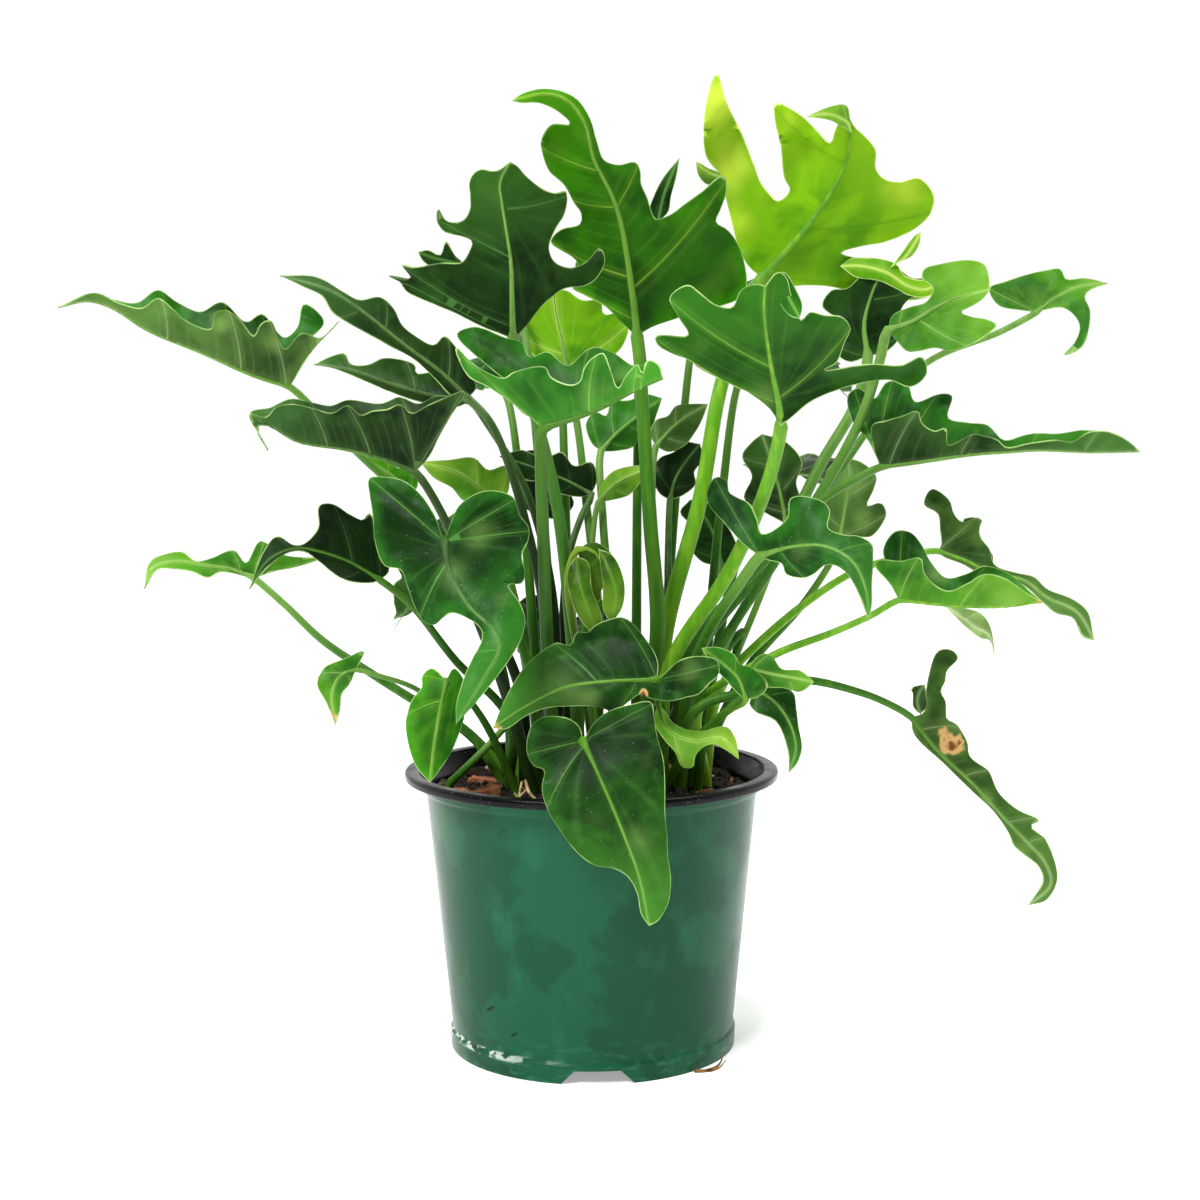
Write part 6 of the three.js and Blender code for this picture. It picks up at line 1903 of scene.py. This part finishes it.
@dataclass(frozen=True)
class RimFinish(Finish):
    """The pot's black lip and inside: satin, with dust and faint rub marks."""

    name: str = "pot_black"

    def make(self) -> bpy.types.Material:
        """Builds the material."""
        shade = Shade(self.name)
        rub = shade.cloud(60.0, 4.0, (1.0, 1.0, 3.0))
        colour = shade.blend(shade.span(rub, 0.5, 0.75, 0.0, 0.6), 0x050607, 0x1C1D1F)
        dust = shade.cloud(700.0, 1.0)
        colour = shade.blend(shade.span(dust, 0.68, 0.76, 0.0, 0.5), colour, 0x7A7468)
        shade.relief(dust, 0.2, 0.3)
        return shade.finish(colour, shade.span(rub, 0.4, 0.7, 0.22, 0.36), 0.13)


@dataclass
class Pot:
    """The two-tone moulded pot, turned from one profile, with notches and drain holes."""

    rim_radius: float = 105.0
    height: float = 157.3
    lip_height: float = 5.0
    lip_inner_radius: float = 97.5
    collar_radius: float = 97.4
    collar_foot_radius: float = 96.0
    collar_height: float = 6.0
    wall_top_radius: float = 93.2
    wall_base_radius: float = 79.6
    skirt_radius: float = 81.0
    skirt_height: float = 10.0
    skirt_flare: float = 0.4
    wall_thickness: float = 2.2
    floor_underside: float = 8.0
    floor_thickness: float = 2.0
    notch_count: int = 3
    notch_low: float = 40.0
    notch_high: float = 25.0
    notch_height: float = 7.3
    notch_turn: float = 2.0
    drain_holes: int = 6
    drain_radius: float = 5.0
    drain_ring: float = 56.0
    drain_sides: int = 24
    columns: int = 180

    def profile(self) -> tuple[np.ndarray, list[bool]]:
        """The turned outline from the floor's underside out, up and back in.

        Returns:
            Radius and height of each point, and for each span whether it is green.
        """
        top, wall = self.height, self.wall_thickness
        lip_foot = top - self.lip_height
        collar_foot = lip_foot - self.collar_height
        floor_top = self.floor_underside + self.floor_thickness
        corners = [
            (0.0, self.floor_underside, 0.0, False),
            (self.wall_base_radius - wall, self.floor_underside, 0.8, False),
            (self.skirt_radius - wall, 0.0, 0.4, False),
            (self.skirt_radius - self.skirt_flare, 0.0, 0.5, True),
            (self.skirt_radius, self.skirt_height, 0.7, True),
            (self.wall_base_radius, self.skirt_height + 1.2, 0.8, True),
            (self.wall_top_radius, collar_foot, 1.5, True),
            (self.collar_foot_radius, collar_foot + 1.0, 0.9, True),
            (self.collar_radius, lip_foot, 0.9, True),
            (self.rim_radius, lip_foot, 1.3, False),
            (self.rim_radius, top, 2.2, False),
            (self.lip_inner_radius, top, 1.6, False),
            (self.wall_top_radius - wall, collar_foot, 2.0, False),
            (self.wall_base_radius - wall, floor_top, 1.2, False),
            (0.0, floor_top, 0.0, False),
        ]
        points: list[tuple[float, float]] = []
        greens: list[bool] = []
        for index, (radius, height, blend, green) in enumerate(corners):
            here = np.array((radius, height))
            if blend == 0.0:
                points.append((radius, height))
                greens.append(green)
                continue
            before, after = np.array(corners[index - 1][:2]), np.array(corners[index + 1][:2])
            into = here + (before - here) * min(0.45, blend / float(np.linalg.norm(before - here)))
            out = here + (after - here) * min(0.45, blend / float(np.linalg.norm(after - here)))
            for share in (0.0, 0.25, 0.5, 0.75, 1.0):
                bend = 2 * share * (1 - share)
                points.append(tuple((1 - share) ** 2 * into + bend * here + share**2 * out))
                greens.append(green)
        return np.array(points), greens

    def turns(self) -> np.ndarray:
        """The columns' directions in radians, with one at every corner of the notches."""
        even = [2 * math.pi * step / self.columns for step in range(self.columns)]
        marks = []
        for index in range(self.notch_count):
            middle = math.radians(-90 + self.notch_turn + 360 / self.notch_count * index)
            for reach in (self.notch_high / 2, self.notch_low / 2):
                marks += [(middle + way * reach / self.skirt_radius) % (2 * math.pi) for way in (-1, 1)]
        clear = [turn for turn in even if all(abs(turn - mark) > 0.008 for mark in marks)]
        return np.array(sorted(clear + marks))

    def notch(self, turn: float) -> float:
        """How far the skirt's edge is cut up at one direction, in millimetres."""
        gaps = []
        for index in range(self.notch_count):
            middle = math.radians(-90 + self.notch_turn + 360 / self.notch_count * index)
            gaps.append(abs((turn - middle + math.pi) % (2 * math.pi) - math.pi) * self.skirt_radius)
        share = (self.notch_low / 2 - min(gaps)) / (self.notch_low / 2 - self.notch_high / 2)
        return self.notch_height * min(1.0, max(0.0, share))

    def build(self) -> bpy.types.Object:
        """Turns the profile, lifts the skirt's edge at the notches and drills the floor."""
        profile, greens = self.profile()
        inner = profile[1:-1]
        limit = self.floor_underside - 0.1
        on_skirt = inner[:, 0] > self.wall_base_radius - self.wall_thickness - 0.1
        on_skirt &= inner[:, 1] < self.skirt_height - 2
        columns = []
        for turn in self.turns():
            cut = self.notch(float(turn))
            lifted = np.where(inner[:, 1] < limit, cut + inner[:, 1] * (limit - cut) / limit, inner[:, 1])
            heights = np.where(on_skirt, lifted, inner[:, 1])
            x, y = inner[:, 0] * math.cos(turn), inner[:, 0] * math.sin(turn)
            columns.append(np.column_stack((x, y, heights)))
        finishes = (RimFinish().material(), PotFinish().material())
        ends = [(0.0, 0.0, profile[end, 1]) for end in (0, -1)]
        pot = loft("pot_shell", np.array(columns).transpose(1, 0, 2), finishes, *ends)
        bands = [False, *greens[1:len(inner)], False]
        pot.data.polygons.foreach_set("material_index", np.repeat(bands, len(columns)).astype(np.int32))
        self.drill(pot)
        pot.data.set_sharp_from_angle(angle=math.radians(40))
        return pot

    def drill(self, pot: bpy.types.Object) -> None:
        """Cuts the drain holes through the floor."""
        middle = self.floor_underside + self.floor_thickness / 2
        circle = np.arange(self.drain_sides) * 2 * math.pi / self.drain_sides
        pins = []
        for hole in range(self.drain_holes):
            turn = 2 * math.pi * (hole + 0.5) / self.drain_holes
            x = self.drain_ring * math.cos(turn) + self.drain_radius * np.cos(circle)
            y = self.drain_ring * math.sin(turn) + self.drain_radius * np.sin(circle)
            levels = (middle - self.floor_thickness * 2, middle + self.floor_thickness * 2)
            rings = [np.column_stack((x, y, np.full(self.drain_sides, z))) for z in levels]
            pins.append(loft("drain_cutter", rings, ()))
        cutter = join(pins)
        modifier = pot.modifiers.new("drain", "BOOLEAN")
        modifier.object = cutter
        modifier.operation = "DIFFERENCE"
        modifier.solver = "EXACT"
        graph = bpy.context.evaluated_depsgraph_get()
        drilled = bpy.data.meshes.new_from_object(pot.evaluated_get(graph), depsgraph=graph)
        pot.modifiers.remove(modifier)
        bpy.data.objects.remove(cutter)
        pot.data = drilled


# The soil and what lies on it


@dataclass(frozen=True)
class SoilFinish(Finish):
    """Dark moist potting mix, or its crumbs: brown-black in grains."""

    name: str = "soil_dark"
    dark: int = 0x17110D
    light: int = 0x3A2A20
    fleck: int = 0x6A5442
    roughness: float = 0.9

    def make(self) -> bpy.types.Material:
        """Builds the material."""
        shade = Shade(self.name)
        grains = shade.cloud(420.0, 3.0)
        patches = shade.cloud(110.0, 2.0)
        colour = shade.blend(shade.span(grains, 0.4, 0.65), self.dark, self.light)
        colour = shade.blend(shade.span(patches, 0.62, 0.72, 0.0, 0.7), colour, self.fleck)
        shade.relief(grains, 0.8, 0.6)
        return shade.finish(colour, self.roughness, 0.3)


@dataclass(frozen=True)
class BarkFinish(Finish):
    """Split bark: reddish brown with dark fibres along the flake."""

    name: str = "bark_red"

    def make(self) -> bpy.types.Material:
        """Builds the material."""
        shade = Shade(self.name)
        fibres = shade.cloud(150.0, 4.0, (0.3, 2.6, 1.0), 0.4)
        patches = shade.cloud(70.0, 3.0)
        colour = shade.blend(shade.span(fibres, 0.35, 0.68), 0x5A2F1A, 0xD08C5C)
        colour = shade.blend(shade.span(patches, 0.45, 0.7, 0.0, 0.6), colour, 0x964F2C)
        shade.relief(fibres, 0.9, 0.7)
        return shade.finish(colour, 0.75, 0.3)


@dataclass(frozen=True)
class GrainFinish(Finish):
    """A plain fine-grained finish for perlite, fibres, crowns and other small things."""

    name: str
    light: int
    dark: int
    roughness: float = 0.8
    patches: float = 240.0

    def make(self) -> bpy.types.Material:
        """Builds the material."""
        shade = Shade(self.name)
        cloud = shade.cloud(self.patches, 3.0)
        colour = shade.blend(shade.span(cloud, 0.38, 0.66), self.light, self.dark)
        shade.relief(cloud, 0.4, 0.5)
        return shade.finish(colour, self.roughness, 0.35)


class Dressing(Enum):
    """The finishes of the small things on and round the soil."""

    SOIL = SoilFinish()
    CRUMB = SoilFinish("soil_crumb", 0x1C140F, 0x46342A, 0x7A6450, 0.85)
    BARK = BarkFinish()
    PERLITE = GrainFinish("perlite", 0xD8D4CA, 0x9C958A)
    FIBRE = GrainFinish("pale_fibre", 0xC9B48A, 0x8E7448)
    ROOTLET = GrainFinish("brown_rootlet", 0x9A6E3A, 0x4E3018)
    CROWN = GrainFinish("crown_green", 0x7E8A3C, 0x4A3A20, 0.55, 110.0)
    SHOOT = GrainFinish("green_shoot", 0x6FA338, 0x8DB850, 0.45)


@dataclass(frozen=True)
class Wave:
    """One wave of the soil's surface: its share of the height, its reach and its start."""

    share: float
    reach_x: float
    reach_y: float
    start: float


@dataclass
class Soil:
    """The potting mix with its crumbs, perlite, bark flakes and fibres."""

    lump: float = 2.2
    floor_z: float = 10.35
    low_radius: float = 76.84
    high_radius: float = 90.1
    edge_drop: float = 2.0
    rings: int = 44
    columns: int = 132
    waves: tuple[Wave, ...] = (Wave(0.5, 11, 9, 1.3), Wave(0.3, 5.1, -6.3, 0.0), Wave(0.2, 3.7, 4.1, 1.6))

    def height(self, x: float, y: float) -> float:
        """The surface's height at a place, fine lumps included."""
        waves = sum(w.share * math.sin(x / w.reach_x + y / w.reach_y + w.start) for w in self.waves)
        fine = noise.noise(Vector((x / 4.2, y / 4.2, 3.7)))
        finer = noise.noise(Vector((x / 1.9, y / 1.9, 9.1)))
        return SOIL_TOP + self.lump * waves + 0.9 * (fine + 0.5 * finer)

    def mound(self) -> bpy.types.Object:
        """The body of the mix: a lumpy top on a closed tapered block."""
        turns = np.arange(self.columns) * 2 * math.pi / self.columns
        bottom = [(self.low_radius * math.cos(turn), self.low_radius * math.sin(turn), self.floor_z)
                  for turn in turns]
        rings = [np.array(bottom)]
        for ring in range(self.rings, 0, -1):
            radius = self.high_radius * ring / self.rings
            level = []
            for turn in turns:
                x, y = radius * math.cos(turn), radius * math.sin(turn)
                level.append((x, y, self.height(x, y) if ring < self.rings else SOIL_TOP - self.edge_drop))
            rings.append(np.array(level))
        middle = [(0.0, 0.0, self.floor_z), (0.0, 0.0, self.height(0.0, 0.0))]
        return loft("soil_mix", rings, (Dressing.SOIL.value.material(),), *middle)

    def top_patch(self, name: str, reach: float = 88.5) -> bpy.types.Object:
        """A copy of the surface alone, which feeds the crumbs' tree."""
        places, faces = [], []
        steps = 40
        for row in range(steps + 1):
            for column in range(steps + 1):
                x, y = (2 * column / steps - 1) * reach, (2 * row / steps - 1) * reach
                places.append((x, y, self.height(x, y)))
        for row in range(steps):
            for column in range(steps):
                corner = row * (steps + 1) + column
                quad = (corner, corner + 1, corner + steps + 2, corner + steps + 1)
                if all(math.hypot(*places[index][:2]) < reach for index in quad):
                    faces.append(quad)
        return new_mesh(name, np.array(places), faces, ())

    def build(self, crumbs: Graph, strands: Graph) -> list[tuple[bpy.types.Object, str, tuple[str, ...]]]:
        """Builds the mix and everything loose on it.

        Args:
            crumbs: the tree that strews lumps.
            strands: the tree that skins fibres.

        Returns:
            Each piece with its slot and the nodes it stands for.
        """
        sets = (
            ("soil_crumbs_coarse", Dressing.CRUMB, 26000.0, 3.2, 0.7, 3),
            ("soil_crumbs_fine", Dressing.SOIL, 60000.0, 1.7, 0.75, 5),
            ("soil_bark_bits", Dressing.BARK, 2600.0, 4.6, 0.4, 11),
            ("soil_perlite", Dressing.PERLITE, 1500.0, 1.9, 0.8, 17),
        )
        made = [(self.mound(), "potting_soil", ("soil",))]
        for name, finish, density, size, flat, seed in sets:
            source = self.top_patch(name + "_patch")
            piece = crumbs.plain(source, name, finish.value.material(), Density=density, Size=size * MM,
                                 Flat=flat, Seed=seed)
            piece.data.shade_smooth()
            made.append((piece, "bark" if finish is Dressing.BARK else "potting_soil", ()))
        for name, finish, radius, points in FIBRES:
            path = resampled(smooth_line([self.fibre_point(*point) for point in points]), 1.5)
            radii = radius * (1.0 - 0.7 * np.linspace(0.0, 1.0, len(path)) ** 2)
            made.append((strand(strands, name, path, radii, finish.value.material(), 7), "potting_soil", ()))
        return made

    def fibre_point(self, x: float, y: float, above: float) -> tuple[float, float, float]:
        """A fibre's point, at a height above the soil, or above the floor outside the pot."""
        if math.hypot(x, y) > self.high_radius - 8:
            return x, y, above
        return x, y, self.height(x, y) + above


FIBRES: tuple[tuple[str, Dressing, float, tuple[tuple[float, float, float], ...]], ...] = (
    ("root_pale_1", Dressing.FIBRE, 0.9,
     ((-36, -38, 10), (-34, -44, 5), (-30, -52, 2.4), (-31, -60, 1.2), (-35, -66, 0))),
    ("root_pale_2", Dressing.FIBRE, 0.7,
     ((-38, -36, 9), (-39, -45, 4), (-36, -54, 1.8), (-38, -62, 0.6), (-34, -70, 0))),
    ("root_pale_3", Dressing.FIBRE, 0.6, ((-34, -40, 6), (-41, -48, 3), (-44, -57, 1.6), (-48, -64, 0.2))),
    ("root_loop", Dressing.FIBRE, 0.45,
     ((45, -56, 0), (41, -59, 3), (42, -64, 5), (46, -66, 4), (48, -63, 1), (51, -62, 0.4))),
    ("green_shoot", Dressing.SHOOT, 1.6, ((-38, -62, -2), (-38, -62, 2), (-39, -63, 5), (-41, -63.5, 7.5))),
    ("rootlet_low_1", Dressing.ROOTLET, 0.9,
     ((55, -62, 1.2), (60, -61, 1.0), (66, -57, 1.3), (70, -51, 2.6), (71.5, -48, 6.0))),
    ("rootlet_low_2", Dressing.ROOTLET, 0.7,
     ((57, -61, 0.9), (64, -60, 0.8), (69, -55, 1.0), (73, -50, 3.4))),
)


@dataclass(frozen=True)
class Crown:
    """A short knobbly stem with the scars of old leaves, which the stalks crowd round."""

    name: str
    x: float
    y: float
    radius: float
    depth: float = 8.0
    height: float = 13.0
    sides: int = 36

    def build(self) -> bpy.types.Object:
        """Turns the stem's profile with a rough surface."""
        profile = ((1.0, -self.depth / self.height), (1.0, 0.23), (0.86, 0.31), (0.94, 0.4), (0.66, 0.55),
                   (0.6, 0.75), (0.02, 1.0))
        corners = np.array([(self.radius * away, SOIL_TOP + self.height * up) for away, up in profile])
        rings = []
        for away, z in resampled(corners, 0.9):
            ring = []
            for turn in np.arange(self.sides) * 2 * math.pi / self.sides:
                x, y = away * math.cos(turn), away * math.sin(turn)
                rough = 1 + 0.07 * noise.noise(Vector((self.x + x, self.y + y, z)) / 2.2)
                ring.append((self.x + x * rough, self.y + y * rough, z))
            rings.append(np.array(ring))
        return loft(self.name + "_stem", rings, (Dressing.CROWN.value.material(),))


@dataclass(frozen=True)
class BarkChip:
    """A split flake of bark lying a little sunk in the soil."""

    name: str
    x: float
    y: float
    length: float
    width: float
    turn: float
    tip: float
    thickness: float = 5.0
    sink: float = 2.2

    def build(self) -> bpy.types.Object:
        """Builds the flake in layers, rough and worn round at its edges."""
        outline = ((-0.5, -0.3), (-0.1, -0.5), (0.38, -0.42), (0.5, 0.05), (0.3, 0.5), (-0.36, 0.44))
        loop = resampled(np.array((*outline, outline[0])) * (self.length, self.width), 1.1)[:-1]
        layers = ((0.0, 0.9), (0.12, 0.98), (0.35, 1.0), (0.65, 0.98), (0.88, 0.94), (1.0, 0.82),
                  (1.0, 0.5), (1.0, 0.2))
        rows = [np.column_stack((loop * share, np.full(len(loop), self.thickness * level)))
                for level, share in layers]
        places = np.vstack((*rows, [(0.0, 0.0, self.thickness)]))
        for place in places:
            rough = noise.noise(Vector(place) / 2.6 + Vector((self.x, self.y, 0.0)))
            fibre = noise.noise(Vector((place[0] / 9, place[1] / 1.1, self.y)))
            place[:2] *= 1 - 0.06 * max(0.0, rough)
            if place[2] > self.thickness * 0.5:
                place[2] -= 0.5 + 0.7 * rough + 0.5 * fibre
        around = Matrix.Rotation(math.radians(self.turn), 3, "Z")
        tipped = around @ Matrix.Rotation(math.radians(self.tip), 3, "Y")
        placed = places @ np.array(tipped).T + (self.x, self.y, SOIL_TOP - self.sink)
        rings = placed[:-1].reshape(len(layers), -1, 3)
        return loft(self.name + "_flake", rings, (Dressing.BARK.value.material(),), end=placed[-1])


CROWNS = (
    Crown("crown_left", -37, -4, 4.8),
    Crown("crown_centre", 11, -8, 7),
    Crown("crown_right", 44, -2, 5),
)

CHIPS = (
    BarkChip("bark_chip_1", -61, 14, 22, 13, 10, 8),
    BarkChip("bark_chip_2", -12, -62, 20, 11, -15, -6),
    BarkChip("bark_chip_3", 70, -46, 16, 10, 65, 6),
    BarkChip("bark_chip_4", -4, 76, 22, 12, -30, 7),
)

LOOSE_CHIPS = (
    BarkChip("bark_loose_1", -58, -32, 21, 12, 28, -14, 6.0, 0.6),
    BarkChip("bark_loose_2", -72, -22, 12, 7, -40, 10, 4.0, 0.8),
    BarkChip("bark_loose_3", 62, -30, 12, 7, 15, -8, 4.0, 0.8),
    BarkChip("bark_loose_4", 52, 52, 14, 8, 80, 9, 4.0, 0.8),
)


# The studio


@dataclass(frozen=True)
class SoftLight:
    """A large soft lamp: its place, size and power, turned to the plant."""

    name: str
    place: tuple[float, float, float]
    size: float
    watts: float

    def add(self) -> bpy.types.Object:
        """Adds the lamp, facing the plant's middle."""
        data = bpy.data.lights.new(self.name, "AREA")
        data.shape = "DISK"
        data.size = self.size
        data.energy = self.watts
        lamp = bpy.data.objects.new(self.name, data)
        bpy.context.scene.collection.objects.link(lamp)
        lamp.location = self.place
        lamp.rotation_euler = (Vector((0.0, 0.0, 0.28)) - lamp.location).to_track_quat("-Z", "Y").to_euler()
        return lamp


@dataclass
class Studio:
    """The plain pale floor, the bright surroundings and the soft lamps.

    The surroundings go from front_sky to sky over sky_turn, from the camera's side to the far
    one. The floor gives off no light within shade_low of the origin and floor_glow beyond
    shade_high, both in millimetres.
    """

    floor_reach: float = 12000.0
    sky_turn: tuple[float, float] = (-0.45, 0.25)
    sky: float = 1.05
    front_sky: float = 0.32
    floor_glow: float = 0.35
    shade_low: float = 84.0
    shade_high: float = 104.0
    lamps: tuple[SoftLight, ...] = (
        SoftLight("lamp_key", (-1.2, -1.6, 2.3), 0.9, 78.0),
        SoftLight("lamp_top", (0.9, 0.4, 2.6), 1.2, 46.0),
    )

    def build(self) -> None:
        """Adds the floor, the world and the lamps."""
        scene = bpy.context.scene
        scene.view_settings.view_transform = "Standard"
        world = bpy.data.worlds.new("studio")
        world.use_nodes = True
        background = world.node_tree.nodes["Background"]
        background.inputs["Color"].default_value = (1.0, 1.0, 1.0, 1.0)
        tree = world.node_tree
        split = tree.nodes.new("ShaderNodeSeparateXYZ")
        tree.links.new(tree.nodes.new("ShaderNodeTexCoord").outputs["Generated"], split.inputs[0])
        fall = tree.nodes.new("ShaderNodeMapRange")
        fall.interpolation_type = "SMOOTHSTEP"
        for socket, number in zip(fall.inputs[1:], (*self.sky_turn, self.front_sky, self.sky)):
            socket.default_value = number
        tree.links.new(split.outputs["Y"], fall.inputs[0])
        tree.links.new(fall.outputs[0], background.inputs["Strength"])
        scene.world = world
        corners = np.array([(x, y, 0.0) for x in (-1, 1) for y in (-1, 1)]) * self.floor_reach
        shade = Shade("floor_pale")
        material = shade.finish(0xFAFAF8, 0.7, 0.2)
        shade.surface.inputs["Emission Color"].default_value = (1.0, 1.0, 1.0, 1.0)
        squares = [shade.sums("POWER", shade.part_of_place(axis), 2.0) for axis in "XY"]
        away = shade.sums("SQRT", shade.sums("ADD", *squares))
        glow = shade.span(away, self.shade_low * MM, self.shade_high * MM, 0.0, self.floor_glow)
        shade.feed(shade.surface.inputs["Emission Strength"], glow)
        floor = new_mesh("floor", corners, ((0, 2, 3, 1),), (material,))
        for lamp in self.lamps:
            lamp.add()


# Putting it together


def settle(piece: bpy.types.Object, nodes: Sequence[str] = ()) -> None:
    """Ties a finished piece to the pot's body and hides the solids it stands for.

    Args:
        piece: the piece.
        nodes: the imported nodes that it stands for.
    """
    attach(piece, BODY)
    if nodes:
        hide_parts(*nodes)
    LOG.info("%s: %d faces", piece.name, len(piece.data.polygons))


def far_leaf_plan(far: FarPlan) -> LeafPlan:
    """The measurements shared by the leaves of the far side, for one of them."""
    outline = ((-8, 8), (-20, 16), (-26, 26), (-20, 36), (-8, 38), (2, 33), (9, 36), (20, 40), (30, 35),
               (36, 26), (46, 28), (55, 27), (62, 19), (72, 19), (82, 14), (92, 6))
    return LeafPlan(
        far.name, Tone.GREEN, Tone.SAGE_DARK, Face.UPPER, StalkTone.MOSS,
        root=far.root, girth=(3.4, 2.2), lean=(-0.32, -0.32), cup=(5, 5),
        stalk=((0.16, 0.3), (0.4, 0.68), (0.72, 0.97)),
        rib=((0, 0, 0), (25, 0, -3), (50, 0, -2), (75, 0, 4), (100, 3, 14)),
        first=outline, second=tuple((u, -v) for u, v in outline),
    )


def main() -> None:
    """Builds the camera, the plant, its pot and the studio."""
    logging.basicConfig(level=logging.INFO, format="%(message)s")
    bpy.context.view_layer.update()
    VIEW.add_camera()
    Studio().build()
    strands, crumbs = strand_graph(), crumb_graph()
    settle(Pot().build(), ("pot",))
    for piece, slot, nodes in Soil().build(crumbs, strands):
        settle(piece, nodes)
    for crown in CROWNS:
        settle(crown.build(), (crown.name,))
    for chip in CHIPS:
        settle(chip.build(), (chip.name,))
    for chip in LOOSE_CHIPS:
        settle(chip.build())
    plans: list[tuple[LeafPlan, Plane]] = [(plan, PicturePlane()) for plan in LEAVES]
    plans += [(far_leaf_plan(far), FarPlane(far)) for far in FAR_LEAVES]
    for plan, plane in plans:
        leaf = Leaf(plan, plane).build(strands)
        leaf.name = plan.name + "_blade"
        settle(leaf, (plan.name,))
    for plan in FOLDS:
        fold = Leaf(plan, PicturePlane()).build(strands)
        settle(fold)
    settle(bare_stalk(strands), ("stalk_bare",))


def bare_stalk(strands: Graph) -> bpy.types.Object:
    """The leafless stalk that leans in from the left of the soil.

    Args:
        strands: the tree that skins it.

    Returns:
        The stalk.
    """
    root = (-80.0, -8.0)
    seen = np.array(((466, 768), (486, 748), (505, 727)), float)
    course = VIEW.place(seen, np.array((-12.0, -15.0, -16.0)))
    line = resampled(smooth_line([(*root, SOIL_TOP + STALK_COLLAR), *course]), 4.0)
    foot = np.array(((*root, SOIL_TOP - STALK_DEPTH), (*root, SOIL_TOP - STALK_COLLAR)))
    path = np.vstack((foot, line))
    radii = np.concatenate(((2.4, 2.4), np.linspace(2.4, 1.9, len(line))))
    return strand(strands, "stalk_bare_tube", path, radii, StalkTone.MOSS.value.material())


if __name__ == "__main__":
    main()
